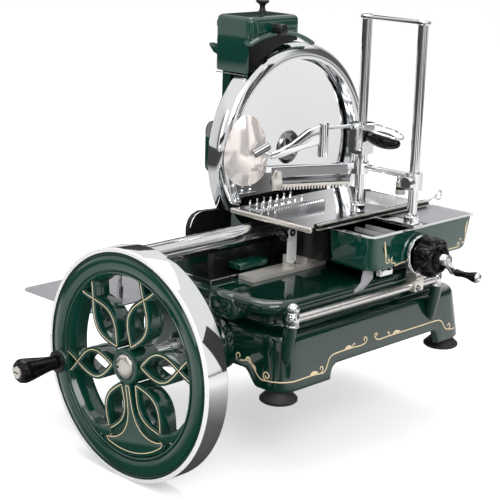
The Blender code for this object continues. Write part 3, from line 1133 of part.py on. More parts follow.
def make_table():
    """Moving meat table with its bright edge, rail, comb and pins, and the nut under it."""
    table = box("meat_table", TABLE_X0, TABLE_X1, TABLE_Y0, TABLE_Y1, TABLE_Z0, TABLE_Z1, DARK)
    join(table, box("tongue", TONGUE_X0, TONGUE_X1, TONGUE_Y0, TABLE_Y0 + CAR_WALL, TABLE_Z0, TABLE_Z1, None),
         box("nut", FEED_X - NUT_HALF, FEED_X + NUT_HALF, NUT_Y0, NUT_Y1, FEED_Z - SCREW_R * 0.6,
             TABLE_Z0 + CAR_WALL / 2, None))
    cut(table, rod("bore", (FEED_X, CAR_Y0 * 2, FEED_Z), (FEED_X, SADDLE_Y1, FEED_Z), SCREW_R + GAP, None))
    edge = box("table_edge", TABLE_X0 - GAP - EDGE_BAR_W, TABLE_X0 - GAP, TABLE_Y0 - EDGE_BAR_W / 2, TABLE_Y1,
               EDGE_BAR_Z0, EDGE_BAR_Z1, CREAM, round_by=EDGE_BAR_W / 4)
    smooth(edge)
    z0 = TABLE_Z1 + GAP
    x_end = TABLE_X1 - CAR_WALL
    rail = box("table_rail", TABLE_X0, x_end, RAIL_Y0, RAIL_Y1, TABLE_Z1 + GAP, RAIL_Z1, BLACK)
    join(rail, box("foot", TABLE_X0, TONGUE_X0 - CAR_WALL, RAIL_Y0 + EDGE_T, TABLE_Y0 - GAP, TABLE_Z0,
                   TABLE_Z1 + 2 * GAP, None),
         box("foot", TONGUE_X1 + CAR_WALL, x_end, RAIL_Y0 + EDGE_T, TABLE_Y0 - GAP, TABLE_Z0,
             TABLE_Z1 + 2 * GAP, None))
    mid_y = (RAIL_Y0 + RAIL_Y1) / 2
    join(rail, rod("stem", (x_end - EDGE_BAR_W, mid_y, (z0 + RAIL_Z1) / 2),
                   (x_end + EDGE_BAR_W * 5, mid_y, (z0 + RAIL_Z1) / 2 + EDGE_BAR_W / 2), EDGE_T * 0.8, None),
         rod("disc", (x_end + EDGE_BAR_W * 4.7, mid_y - EDGE_T / 2, RAIL_Z1 + EDGE_BAR_W / 2),
             (x_end + EDGE_BAR_W * 5.0, mid_y + EDGE_T / 2, RAIL_Z1 + EDGE_BAR_W / 2), EDGE_BAR_W * 1.25, None,
             steps=ROUND_STEPS))
    smooth(rail)
    prism("table_comb", toothed_strip(COMB_X1 - COMB_X0, COMB_TEETH, z0, z0 + COMB_H * 0.45, COMB_H * 0.55, 0.9),
          (COMB_X0, COMB_Y, 0), (0, COMB_T, 0), STEEL)
    pins = box("table_pins", PIN_X0, PIN_X1, PIN_ROWS[0] - PIN_HALF * 2, PIN_ROWS[1] + PIN_HALF * 4, z0,
               z0 + PIN_HALF, CHROME)
    for y in PIN_ROWS:
        points = [(0.0, z0 + PIN_HALF / 2), (PIN_X1 - PIN_X0, z0 + PIN_HALF / 2),
                  (PIN_X1 - PIN_X0, z0 + PIN_HALF * 1.2)]
        pitch = (PIN_X1 - PIN_X0) / PINS
        for i in reversed(range(PINS)):
            mid = (i + 0.5) * pitch
            points += [(mid + PIN_HALF, z0 + PIN_HALF * 1.2), (mid, z0 + PIN_H), (mid - PIN_HALF, z0 + PIN_HALF * 1.2)]
        points.append((0.0, z0 + PIN_HALF * 1.2))
        join(pins, prism("pins", points, (PIN_X0, y, 0), (0, PIN_HALF * 1.6, 0), None))


def make_press():
    """Two posts on the table, and the press that slides on them with its comb, shield and grip."""
    z0 = TABLE_Z1 + GAP
    for y, name in ((POST_L_Y, "post_left"), (POST_R_Y, "post_right")):
        turned(name, (POST_X, y, z0), (0, 0, 1),
               [(0.0, 0.0), (POST_FOOT_R, 0.0), (POST_FOOT_R, POST_FOOT_H * 0.7),
                (POST_FOOT_R * 0.8, POST_FOOT_H), (POST_R, POST_FOOT_H), (POST_R, POST_TOP - z0),
                (0.0, POST_TOP - z0)], CHROME, steps=ROUND_STEPS)
    strap = box("post_strap", POST_X - STRAP_HALF, POST_X + STRAP_HALF, POST_R_Y, POST_L_Y, POST_TOP + GAP,
                STRAP_Z1, CHROME)
    for y in (POST_L_Y, POST_R_Y):
        join(strap, rod("end", (POST_X, y, POST_TOP + GAP), (POST_X, y, STRAP_Z1), POST_FOOT_R, None, steps=ROUND_STEPS))
        join(strap, rod("nut", (POST_X, y, STRAP_Z1 - GAP), (POST_X, y, STRAP_Z1 + POST_R * 0.5), POST_R * 0.8,
                        None, steps=4))
    smooth(strap)
    # crosshead joining both posts
    head = rod("press_head", (POST_X, POST_L_Y, HEAD_Z0), (POST_X, POST_L_Y, HEAD_Z1), SLEEVE_WALL_R, CHROME,
               steps=ROUND_STEPS)
    join(head, rod("sleeve", (POST_X, POST_R_Y, HEAD_Z0 - POST_R), (POST_X, POST_R_Y, HEAD_Z1), SLEEVE_WALL_R,
                   None, steps=ROUND_STEPS),
         rod("bar", (POST_X, POST_R_Y, (HEAD_Z0 + HEAD_Z1) / 2 + BEAM_HALF * 0.6),
             (POST_X, POST_L_Y, (HEAD_Z0 + HEAD_Z1) / 2 + BEAM_HALF * 0.6), BEAM_HALF * 1.1, None),
         rod("boss", (POST_X - SLEEVE_WALL_R * 1.5, POST_R_Y, HEAD_Z0 + POST_R / 2),
             (POST_X, POST_R_Y, HEAD_Z0 + POST_R / 2), SLEEVE_WALL_R * 0.72, None))
    ux, uy = -math.cos(PRESS_YAW), math.sin(PRESS_YAW)
    u, v = Vector((ux, uy, 0)), Vector((uy, -ux, 0))

    def at(s, z, across=0.0):
        return Vector((POST_X, POST_L_Y, 0)) + u * s + v * across + Vector((0, 0, z))

    # the arm leaves the sleeve at an angle and carries the comb
    join(head, prism("beam", [(SLEEVE_WALL_R * 0.6, -BEAM_HALF), (ARM_S1, -BEAM_HALF), (ARM_S1, BEAM_HALF),
                              (SLEEVE_WALL_R * 0.6, BEAM_HALF)],
                     Vector((POST_X, POST_L_Y, (HEAD_Z0 + HEAD_Z1) / 2 - BEAM_HALF * 0.2)), (0, 0, BEAM_HALF * 1.9),
                     None, frame=(u, v)))
    join(head, rod("stop", (POST_X, POST_R_Y + SLEEVE_WALL_R * 1.9, HEAD_Z0 - POST_R * 2.6),
                   (POST_X, POST_R_Y + SLEEVE_WALL_R * 1.9, (HEAD_Z0 + HEAD_Z1) / 2), POST_R * 0.75, None))
    cut(head, rod("bore", (POST_X, POST_L_Y, 0), (POST_X, POST_L_Y, POST_TOP), POST_R + GAP, None, steps=ROUND_STEPS),
        rod("bore", (POST_X, POST_R_Y, 0), (POST_X, POST_R_Y, POST_TOP), POST_R + GAP, None, steps=ROUND_STEPS))
    smooth(head)
    comb_top = (HEAD_Z0 + HEAD_Z1) / 2 - BEAM_HALF * 0.2 - GAP
    length = PRESS_COMB_S1 - PRESS_COMB_S0
    outline = [(a, -b) for a, b in toothed_strip(length, PRESS_TEETH, -comb_top, -PRESS_COMB_Z0 - PRESS_TOOTH,
                                                 PRESS_TOOTH, 0.55)]
    prism("press_comb", outline, at(PRESS_COMB_S0, 0.0, -COMB_T), v * COMB_T * 2, CREAM,
          frame=(u, Vector((0, 0, 1))))
    # clamp block on the left post, above the crosshead
    clamp = box("press_clamp", POST_X - CLAMP_HALF, POST_X + CLAMP_HALF, POST_L_Y - CLAMP_HALF,
                POST_L_Y + CLAMP_HALF, CLAMP_Z0, CLAMP_Z1, CHROME)
    join(clamp, rod("neck", (POST_X, POST_L_Y, HEAD_Z1 + GAP), (POST_X, POST_L_Y, CLAMP_Z0 + BEAM_HALF),
                    SLEEVE_WALL_R * 0.85, None, steps=ROUND_STEPS),
         rod("ear", (POST_X - CLAMP_HALF * 1.35, POST_L_Y, CLAMP_Z1 - BEAM_HALF),
             (POST_X + CLAMP_HALF * 1.35, POST_L_Y, CLAMP_Z1 - BEAM_HALF), BEAM_HALF, None),
         rod("link", at(CLAMP_HALF * 0.8, BARREL_Z1 - BEAM_HALF), at(BARREL_S - BARREL_R * 0.2, BARREL_Z1
                                                                       - BEAM_HALF * 1.6), BEAM_HALF * 0.6, None))
    join(clamp, rod("barrel", at(BARREL_S, BARREL_Z0), at(BARREL_S, BARREL_Z1), BARREL_R, None, steps=ROUND_STEPS))
    join(clamp, rod("spigot", (POST_X, POST_L_Y - CLAMP_HALF * 0.9, PRESS_GRIP_Z),
                    (POST_X, POST_L_Y - CLAMP_HALF - PRESS_GRIP_LEN * 0.5, PRESS_GRIP_Z
                     - PRESS_GRIP_LEN * 0.04), BEAM_HALF * 0.7, None))
    cut(clamp, rod("bore", (POST_X, POST_L_Y, 0), (POST_X, POST_L_Y, POST_TOP), POST_R + GAP, None, steps=ROUND_STEPS))
    smooth(clamp)
    # black oval grip with the squeeze lever over it
    start = Vector((POST_X, POST_L_Y - CLAMP_HALF - GAP * 4, PRESS_GRIP_Z))
    axis = Vector((0, -1.0, -0.08)).normalized()
    shape = ((0.0, 0.60), (0.12, 0.80), (0.40, 1.0), (0.62, 0.98), (0.82, 0.78), (0.95, 0.50), (1.0, 0.40))
    bore = BEAM_HALF * 0.7 + GAP
    deep = PRESS_GRIP_LEN * 0.5 + GAP * 4
    turned("press_grip", start, axis,
           [(bore, 0.0)] + [(PRESS_GRIP_R * width, PRESS_GRIP_LEN * share) for share, width in shape]
           + [(0.0, PRESS_GRIP_LEN), (0.0, deep), (bore, deep), (bore, 0.0)], BLACK, steps=SMALL_STEPS)
    tube_r = BEAM_HALF * 0.34
    pivot = Vector((POST_X, POST_L_Y, CLAMP_Z1 - BEAM_HALF))
    side = CLAMP_HALF * 1.35 + tube_r * 2
    low_z = PRESS_GRIP_Z + PRESS_GRIP_R * 0.38 - pivot.z
    steps = 10
    reach = CLAMP_HALF + PRESS_GRIP_LEN * 1.08
    path = [Vector((-side, 0.0, 0.0)), Vector((-side, -CLAMP_HALF * 1.2, 0.0))]
    for i in range(steps + 1):
        a = math.pi * i / steps
        path.append(Vector((-side * math.cos(a), -CLAMP_HALF * 1.2 - (reach - CLAMP_HALF * 1.2)
                            * math.sin(a) ** 0.6, low_z * math.sin(a))))
    path += [Vector((side, -CLAMP_HALF * 1.2, 0.0)), Vector((side, 0.0, 0.0))]
    curve = bpy.data.curves.new("loop", "CURVE")
    curve.dimensions = "3D"
    curve.bevel_depth = tube_r
    curve.bevel_resolution = 2
    curve.use_fill_caps = True
    line = curve.splines.new("POLY")
    line.points.add(len(path) - 1)
    for point, co in zip(line.points, path):
        point.co = (*(pivot + co), 1.0)
    temp = bpy.data.objects.new("loop", curve)
    PARTS.objects.link(temp)
    mesh = apply_all(temp, "press_lever")
    bpy.data.objects.remove(temp, do_unlink=True)
    bm = bmesh.new()
    bm.from_mesh(mesh)
    lever = add_object("press_lever", finish(bm, "press_lever"), CHROME, pivot)
    for sign in (-1.0, 1.0):
        join(lever, rod("eye", pivot + Vector((sign * (CLAMP_HALF * 1.35 + GAP), 0, 0)),
                        pivot + Vector((sign * (side + tube_r), 0, 0)), BEAM_HALF * 0.9, None))
    smooth(lever)
    # hinged shield arm: wedge plate, end block, oval dished shield and small knob
    barrel = at(BARREL_S, 0.0)
    gap_s = BARREL_S + BARREL_R + GAP
    wedge = prism("shield_arm", [(gap_s, BARREL_Z0 + BEAM_HALF), (gap_s + BARREL_R * 0.8, BARREL_Z0 + BEAM_HALF * 0.3),
                                 (WEDGE_S1, BARREL_Z0 - BEAM_HALF * 2.2), (WEDGE_S1, BARREL_Z0 + BEAM_HALF * 0.6),
                                 (gap_s + (WEDGE_S1 - gap_s) * 0.45, BARREL_Z0 + BEAM_HALF * 5.6),
                                 (gap_s + BARREL_R * 1.2, BARREL_Z1 - BEAM_HALF * 0.6),
                                 (gap_s, BARREL_Z1 - BEAM_HALF * 1.4)],
                  Vector((POST_X, POST_L_Y, 0)) - v * WEDGE_T / 2, v * WEDGE_T, CHROME, origin=barrel,
                  frame=(u, Vector((0, 0, 1))))
    for z_low, z_high in ((BARREL_Z1 + GAP, BARREL_Z1 + BEAM_HALF), (BARREL_Z0 - BEAM_HALF, BARREL_Z0 - GAP)):
        join(wedge, rod("yoke", at(BARREL_S, z_low), at(BARREL_S, z_high), BARREL_R * 0.95, None, steps=SMALL_STEPS))
    top_z = BARREL_Z1 + GAP
    join(wedge, prism("top_leaf", [(BARREL_S, -WEDGE_T / 2), (gap_s + BARREL_R * 2, -WEDGE_T / 2),
                                   (gap_s + BARREL_R * 2, WEDGE_T / 2), (BARREL_S, WEDGE_T / 2)],
                      Vector((POST_X, POST_L_Y, top_z)), (0, 0, BEAM_HALF - GAP), None, frame=(u, v)),
         prism("low_leaf", [(BARREL_S, -WEDGE_T / 2), (gap_s + BARREL_R * 2, -WEDGE_T / 2),
                            (gap_s + BARREL_R * 2, WEDGE_T / 2), (BARREL_S, WEDGE_T / 2)],
               Vector((POST_X, POST_L_Y, BARREL_Z0 - BEAM_HALF)), (0, 0, BEAM_HALF - GAP), None, frame=(u, v)),
         prism("riser", [(gap_s, BARREL_Z0 - BEAM_HALF), (gap_s + BARREL_R * 2, BARREL_Z0 - BEAM_HALF),
                         (gap_s + BARREL_R * 2, BARREL_Z1 + BEAM_HALF), (gap_s, BARREL_Z1 + BEAM_HALF)],
               Vector((POST_X, POST_L_Y, 0)) - v * WEDGE_T / 2, v * WEDGE_T, None,
               frame=(u, Vector((0, 0, 1)))))
    end = at(WEDGE_S1, BARREL_Z0 - BEAM_HALF * 0.8)
    join(wedge, rod("end_eye", end - v * BEAM_HALF * 1.6, end + v * BEAM_HALF * 1.6, BEAM_HALF * 1.5, None))
    neck_from = end
    knob_at = Vector((PAD_X + PAD_RX * 0.30, PAD_Y - PAD_DISH * 1.3, PAD_Z - PAD_DISH * 0.3))
    join(wedge, rod("neck", neck_from, knob_at + Vector((-BEAM_HALF, 0, 0)), BEAM_HALF * 0.9, None))
    join(wedge, rod("stud", knob_at + Vector((-BEAM_HALF, 0, 0)),
                    Vector((knob_at.x - BEAM_HALF, PAD_Y + PAD_T * 1.6, knob_at.z)), BEAM_HALF * 0.7, None))
    join(wedge, turned("knob", knob_at + Vector((BEAM_HALF * 0.5, 0, 0)), (-1, 0, 0),
                       [(0.0, 0.0), (PAD_DISH * 0.52, 0.0), (PAD_DISH * 0.56, PAD_DISH * 0.2),
                        (PAD_DISH * 0.56, PAD_DISH * 1.8), (PAD_DISH * 0.46, PAD_DISH * 2.0),
                        (0.0, PAD_DISH * 2.0)], None, steps=SMALL_STEPS))
    smooth(wedge)
    # oval shield, dished away from the blade
    rings, spokes = 4, 24
    bm = bmesh.new()
    grid = {}
    for layer, offset in ((0, 0.0), (1, PAD_T)):
        centre_v = bm.verts.new((PAD_X, PAD_Y - PAD_DISH * 0.5 + offset, PAD_Z))
        grid[layer, 0] = [centre_v]
        for k in range(1, rings + 1):
            share = k / rings
            row = []
            for i in range(spokes):
                a = i * TURN / spokes
                egg = 1.0 - 0.10 * math.sin(a)
                row.append(bm.verts.new((PAD_X + PAD_RX * share * math.cos(a) * egg,
                                         PAD_Y - PAD_DISH * 0.5 * (1 - share ** 2) + offset,
                                         PAD_Z + PAD_RZ * share * math.sin(a))))
            grid[layer, k] = row
    for layer in (0, 1):
        for i in range(spokes):
            j = (i + 1) % spokes
            tri = (grid[layer, 0][0], grid[layer, 1][i], grid[layer, 1][j])
            bm.faces.new(tri if layer == 0 else tri[::-1])
            for k in range(1, rings):
                quad = (grid[layer, k][i], grid[layer, k + 1][i], grid[layer, k + 1][j], grid[layer, k][j])
                bm.faces.new(quad if layer == 0 else quad[::-1])
    for i in range(spokes):
        j = (i + 1) % spokes
        bm.faces.new((grid[0, rings][i], grid[1, rings][i], grid[1, rings][j], grid[0, rings][j]))
    pad = add_object("meat_shield", finish(bm, "meat_shield"), CHROME, barrel)
    cut(pad, rod("hole", Vector((knob_at.x - BEAM_HALF, 0 - PAD_Y, knob_at.z)),
                 Vector((knob_at.x - BEAM_HALF, PAD_Y * 3, knob_at.z)), BEAM_HALF * 0.7 + GAP, None))
    smooth(pad, math.radians(50.0))


def make_tray():
    """Flat tray behind the blade for the slices, on two arms, with its upright pin."""
    tray = prism("slice_tray", rounded_outline(TRAY_X0, TRAY_X1, TRAY_Y0, TRAY_Y1, TRAY_CORNER, steps=5),
                 (0, 0, TRAY_Z0 + GAP), (0, 0, TRAY_T), GREY, frame=((1, 0, 0), (0, 1, 0)))
    smooth(tray)
    arm_top = TRAY_Z0
    arm_low = TRAY_Z0 - TRAY_ARM_HALF * 0.8
    x_left = -SKIRT_HX + SKIRT_CORNER * 1.6
    x_right = TRAY_X1 - SKIRT_CORNER * 1.2
    bracket = box("tray_bracket", x_left - TRAY_ARM_HALF, x_right + TRAY_ARM_HALF, SKIRT_HY + GAP,
                  SKIRT_HY + 2 * TRAY_ARM_HALF, arm_low, arm_top, BLACK)
    for x in (x_left, x_right):
        join(bracket, box("arm", x - TRAY_ARM_HALF, x + TRAY_ARM_HALF, SKIRT_HY + TRAY_ARM_HALF, TRAY_Y1 * 0.85,
                          arm_low, arm_top, None),
             box("foot", x - TRAY_ARM_HALF, x + TRAY_ARM_HALF, SKIRT_TOP_HY + GAP * 5, SKIRT_HY + TRAY_ARM_HALF,
                 arm_low, arm_top, None))
    z0 = TRAY_Z0 + 2 * GAP + TRAY_T
    turned("tray_pin", (TRAY_PIN_X, TRAY_PIN_Y, z0), (0, 0, 1),
           [(0.0, 0.0), (BEAM_HALF * 1.1, 0.0), (BEAM_HALF * 1.1, BEAM_HALF * 5), (BEAM_HALF * 0.6, BEAM_HALF * 5),
            (BEAM_HALF * 0.6, BEAM_HALF * 11), (0.0, BEAM_HALF * 11.4)], STEEL, steps=12)


make_base()
make_guides()
make_flywheel()
make_drive()
make_blade()
make_sharpener()
make_carriage()
make_feed()
make_table()
make_press()
make_tray()
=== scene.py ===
"""Studio scene for a hand-cranked flywheel meat slicer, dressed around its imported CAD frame.

Lengths are metres.  +Z is up, +X is the carriage stroke, and +Y runs from the meat to the slices.
"""
import json
import logging
import math
from dataclasses import dataclass, field
from enum import Enum
from typing import Callable, Iterable, Sequence

import bmesh
import bpy
from mathutils import Matrix, Vector


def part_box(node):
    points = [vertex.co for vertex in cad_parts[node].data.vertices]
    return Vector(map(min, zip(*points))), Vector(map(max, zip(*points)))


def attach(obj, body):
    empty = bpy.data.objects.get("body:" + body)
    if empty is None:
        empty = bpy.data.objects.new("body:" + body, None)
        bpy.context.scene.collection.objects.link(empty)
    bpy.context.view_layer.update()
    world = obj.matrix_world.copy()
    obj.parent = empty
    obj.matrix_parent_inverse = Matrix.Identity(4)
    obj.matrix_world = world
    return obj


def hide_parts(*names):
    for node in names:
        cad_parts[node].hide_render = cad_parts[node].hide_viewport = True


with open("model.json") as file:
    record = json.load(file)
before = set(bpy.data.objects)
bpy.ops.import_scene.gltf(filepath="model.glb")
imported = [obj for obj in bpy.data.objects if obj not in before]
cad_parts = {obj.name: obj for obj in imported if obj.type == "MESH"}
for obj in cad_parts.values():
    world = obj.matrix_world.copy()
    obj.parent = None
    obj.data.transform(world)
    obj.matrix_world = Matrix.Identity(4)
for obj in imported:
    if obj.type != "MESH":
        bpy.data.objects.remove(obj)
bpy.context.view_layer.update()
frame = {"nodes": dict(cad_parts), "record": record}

LOG = logging.getLogger("meat_slicer")
logging.basicConfig(level=logging.INFO, format="%(name)s: %(message)s")

Point = Sequence[float]
TURN = 2.0 * math.pi
PAINT_LIFT = 0.00025
WHEEL_TURN = math.radians(11.5)
WHEEL_CENTRE = Vector((-0.4165, 0.0, 0.070))
BLADE_CENTRE = Vector((0.058, 0.118, 0.335))
BEAM_FRONT = -0.0065


class Slot(Enum):
    """Material slots of the record."""

    GREEN = "green_enamel"
    CHROME = "chrome"
    STEEL = "steel"
    GREY = "grey_plate"
    BLACK = "black_lacquer"
    BLACK_METAL = "black_metal"
    RUBBER = "rubber"
    CREAM = "champagne"
    STONE = "stone"
    DARK = "dark_steel"


class Shading(Enum):
    """How the faces of a piece are shaded."""

    FLAT = 0.0
    CRISP = 28.0
    SOFT = 50.0


# Shader node groups

def grouped(name: str, inputs: dict[str, float], outputs: Sequence[tuple[str, str]]) -> bpy.types.NodeTree:
    """Start a shader group with a vector input, number inputs and the given outputs.

    Args:
        name: name of the group.
        inputs: number inputs and their defaults.
        outputs: pairs of output name and socket type.

    Returns:
        The new node tree, with its input and output nodes in place.
    """
    tree = bpy.data.node_groups.new(name, "ShaderNodeTree")
    tree.interface.new_socket(name="Vector", in_out="INPUT", socket_type="NodeSocketVector")
    for label, value in inputs.items():
        socket = tree.interface.new_socket(name=label, in_out="INPUT", socket_type="NodeSocketFloat")
        socket.default_value = value
    for label, kind in outputs:
        tree.interface.new_socket(name=label, in_out="OUTPUT", socket_type=kind)
    tree.nodes.new("NodeGroupInput")
    tree.nodes.new("NodeGroupOutput")
    return tree


def math_node(tree: bpy.types.NodeTree, operation: str, first: object, second: object) -> bpy.types.NodeSocket:
    """Add a math node fed by sockets or numbers.

    Args:
        tree: node tree to add to.
        operation: Blender's name of the operation.
        first: socket or number of the first input.
        second: socket or number of the second input.

    Returns:
        The node's output socket.
    """
    node = tree.nodes.new("ShaderNodeMath")
    node.operation = operation
    for index, value in enumerate((first, second)):
        if isinstance(value, bpy.types.NodeSocket):
            tree.links.new(value, node.inputs[index])
        else:
            node.inputs[index].default_value = value
    return node.outputs[0]


def build_drift_group() -> bpy.types.NodeTree:
    """Slow, cloudy change over a surface, as in polish, lacquer and wear.

    Returns:
        Group with a Cloud mask and a Speck mask.
    """
    tree = grouped("surface_drift", {"Cloud Scale": 12.0, "Speck Scale": 400.0},
                   (("Cloud", "NodeSocketFloat"), ("Speck", "NodeSocketFloat")))
    start, end = tree.nodes["Group Input"], tree.nodes["Group Output"]
    for label, detail in (("Cloud", 3.0), ("Speck", 2.0)):
        noise = tree.nodes.new("ShaderNodeTexNoise")
        noise.inputs["Detail"].default_value = detail
        tree.links.new(start.outputs["Vector"], noise.inputs["Vector"])
        tree.links.new(start.outputs[f"{label} Scale"], noise.inputs["Scale"])
        tree.links.new(noise.outputs["Fac"], end.inputs[label])
    return tree


def build_grain_group() -> bpy.types.NodeTree:
    """Fine lines that run one way, as turning and brushing leave.

    Returns:
        Group with a Grain mask; its vector is squeezed by the three Stretch inputs.
    """
    tree = grouped("machined_grain", {"Stretch X": 1.0, "Stretch Y": 1.0, "Stretch Z": 1.0, "Scale": 60.0},
                   (("Grain", "NodeSocketFloat"),))
    start, end = tree.nodes["Group Input"], tree.nodes["Group Output"]
    split = tree.nodes.new("ShaderNodeSeparateXYZ")
    joined = tree.nodes.new("ShaderNodeCombineXYZ")
    tree.links.new(start.outputs["Vector"], split.inputs[0])
    for index, label in enumerate(("Stretch X", "Stretch Y", "Stretch Z")):
        tree.links.new(math_node(tree, "MULTIPLY", split.outputs[index], start.outputs[label]), joined.inputs[index])
    noise = tree.nodes.new("ShaderNodeTexNoise")
    noise.inputs["Detail"].default_value = 4.0
    tree.links.new(joined.outputs[0], noise.inputs["Vector"])
    tree.links.new(start.outputs["Scale"], noise.inputs["Scale"])
    tree.links.new(noise.outputs["Fac"], end.inputs["Grain"])
    return tree


DRIFT_GROUP = build_drift_group()
GRAIN_GROUP = build_grain_group()


@dataclass(frozen=True)
class Finish:
    """One painted, plated or moulded finish."""

    name: str
    colour: tuple[float, float, float]
    tint: tuple[float, float, float]
    roughness: tuple[float, float]
    metallic: float = 0.0
    cloud: float = 12.0
    speck: float = 400.0
    bump: float = 0.0
    coat: float = 0.0
    coat_roughness: float = 0.03
    ior: float = 1.5
    grain: tuple[float, float, float] | None = None

    def build(self) -> bpy.types.Material:
        """Make the node material of this finish.

        Returns:
            The finished material.
        """
        mat = bpy.data.materials.new(self.name)
        mat.use_nodes = True
        tree = mat.node_tree
        shader = tree.nodes["Principled BSDF"]
        place = tree.nodes.new("ShaderNodeTexCoord")
        drift = tree.nodes.new("ShaderNodeGroup")
        drift.node_tree = DRIFT_GROUP
        drift.inputs["Cloud Scale"].default_value = self.cloud
        drift.inputs["Speck Scale"].default_value = self.speck
        tree.links.new(place.outputs["Object"], drift.inputs["Vector"])
        blend = tree.nodes.new("ShaderNodeMix")
        blend.data_type = "RGBA"
        blend.inputs[6].default_value = (*self.colour, 1.0)
        blend.inputs[7].default_value = (*self.tint, 1.0)
        tree.links.new(drift.outputs["Cloud"], blend.inputs[0])
        tree.links.new(blend.outputs[2], shader.inputs["Base Color"])
        spread = tree.nodes.new("ShaderNodeMapRange")
        spread.inputs["From Min"].default_value = 0.3
        spread.inputs["From Max"].default_value = 0.7
        spread.inputs["To Min"].default_value = self.roughness[0]
        spread.inputs["To Max"].default_value = self.roughness[1]
        texture = drift.outputs["Cloud"]
        if self.grain is not None:
            lines = tree.nodes.new("ShaderNodeGroup")
            lines.node_tree = GRAIN_GROUP
            for label, value in zip(("Stretch X", "Stretch Y", "Stretch Z"), self.grain):
                lines.inputs[label].default_value = value
            tree.links.new(place.outputs["Object"], lines.inputs["Vector"])
            texture = lines.outputs["Grain"]
        tree.links.new(texture, spread.inputs["Value"])
        tree.links.new(spread.outputs["Result"], shader.inputs["Roughness"])
        shader.inputs["Metallic"].default_value = self.metallic
        shader.inputs["IOR"].default_value = self.ior
        shader.inputs["Coat Weight"].default_value = self.coat
        shader.inputs["Coat Roughness"].default_value = self.coat_roughness
        if self.bump > 0.0:
            relief = tree.nodes.new("ShaderNodeBump")
            relief.inputs["Strength"].default_value = self.bump
            relief.inputs["Distance"].default_value = 0.0002
            tree.links.new(drift.outputs["Speck"], relief.inputs["Height"])
            tree.links.new(relief.outputs["Normal"], shader.inputs["Normal"])
        mat.diffuse_color = (*self.colour, 1.0)
        return mat


FINISHES: dict[Slot, Finish] = {
    Slot.GREEN: Finish("bottle_green_enamel", (0.0012, 0.034, 0.0225), (0.0022, 0.042, 0.0290), (0.06, 0.10),
                       cloud=6.0, speck=160.0, bump=0.010, coat=0.8, coat_roughness=0.02, ior=1.5),
    Slot.CHROME: Finish("polished_chrome", (0.80, 0.81, 0.82), (0.86, 0.87, 0.88), (0.035, 0.07), metallic=1.0,
                        cloud=9.0, speck=500.0, bump=0.01),
    Slot.STEEL: Finish("turned_steel", (0.56, 0.57, 0.58), (0.68, 0.69, 0.70), (0.14, 0.26), metallic=1.0,
                       grain=(30.0, 2.0, 2.0), bump=0.02),
    Slot.GREY: Finish("anodised_plate", (0.36, 0.355, 0.375), (0.42, 0.415, 0.44), (0.38, 0.50), metallic=0.35,
                      cloud=30.0, speck=900.0, bump=0.05),
    Slot.BLACK: Finish("black_lacquered_wood", (0.002, 0.002, 0.002), (0.004, 0.004, 0.004), (0.07, 0.13),
                       ior=1.36, cloud=20.0, bump=0.02),
    Slot.BLACK_METAL: Finish("black_japanned_iron", (0.007, 0.008, 0.008), (0.012, 0.013, 0.013), (0.14, 0.24),
                             ior=1.40, cloud=15.0, speck=300.0, bump=0.05),
    Slot.RUBBER: Finish("black_rubber", (0.012, 0.012, 0.012), (0.020, 0.020, 0.020), (0.45, 0.60),
                        cloud=40.0, speck=900.0, bump=0.15),
    Slot.CREAM: Finish("champagne_plating", (0.74, 0.70, 0.64), (0.82, 0.78, 0.72), (0.16, 0.28), metallic=0.85,
                       cloud=14.0, bump=0.02),
    Slot.STONE: Finish("grinding_stone", (0.30, 0.27, 0.24), (0.42, 0.38, 0.34), (0.75, 0.95), cloud=200.0,
                       speck=1500.0, bump=0.4),
    Slot.DARK: Finish("dark_polished_steel", (0.22, 0.22, 0.23), (0.30, 0.30, 0.31), (0.08, 0.16), metallic=1.0,
                      cloud=10.0, bump=0.02),
}
GOLD_LINE = Finish("gold_pinstripe", (0.72, 0.56, 0.34), (0.84, 0.70, 0.47), (0.30, 0.42), metallic=0.15,
                   cloud=60.0)
MATERIALS: dict[Slot, bpy.types.Material] = {slot: finish.build() for slot, finish in FINISHES.items()}
GOLD = GOLD_LINE.build()
# Darker copy of the green enamel for the base: painted shade, standing in for the weaker light that reaches the lower
# parts.
SHADED_BASE_GREEN = Finish("base_enamel_painted_shade", (0.0006, 0.0175, 0.0115), (0.0012, 0.0230, 0.0155), (0.06, 0.10), cloud=6.0,
                    speck=160.0, bump=0.010, coat=0.9, coat_roughness=0.02, ior=1.5).build()
LIT_GREEN = Finish("wheel_enamel", (0.0018, 0.034, 0.0215), (0.0030, 0.042, 0.0285), (0.10, 0.16), cloud=6.0, speck=160.0,
                   bump=0.015, coat=0.7, ior=1.5).build()
SATIN = Finish("satin_rod", (0.80, 0.76, 0.74), (0.88, 0.84, 0.82), (0.22, 0.32), metallic=0.9, grain=(2.0, 40.0, 40.0),
               bump=0.01).build()
SATIN_BAR = Finish("ground_bar", (0.70, 0.70, 0.71), (0.80, 0.80, 0.81), (0.10, 0.20), metallic=1.0,
                   grain=(2.0, 60.0, 60.0), bump=0.01).build()
TABLE = Finish("polished_table", (0.62, 0.62, 0.63), (0.72, 0.72, 0.73), (0.05, 0.12), metallic=1.0, cloud=14.0,
               bump=0.02).build()
PEARL = Finish("pearl_plating", (0.90, 0.83, 0.79), (0.95, 0.89, 0.86), (0.08, 0.14), metallic=0.55, cloud=9.0).build()
BRIGHT = Finish("bright_edge", (0.86, 0.86, 0.87), (0.93, 0.93, 0.94), (0.22, 0.32), metallic=0.25, cloud=20.0).build()
SLIDER = Finish("slider_plating", (0.80, 0.75, 0.70), (0.88, 0.84, 0.79), (0.12, 0.22), metallic=0.55, cloud=40.0,
                bump=0.03).build()


# Mesh making

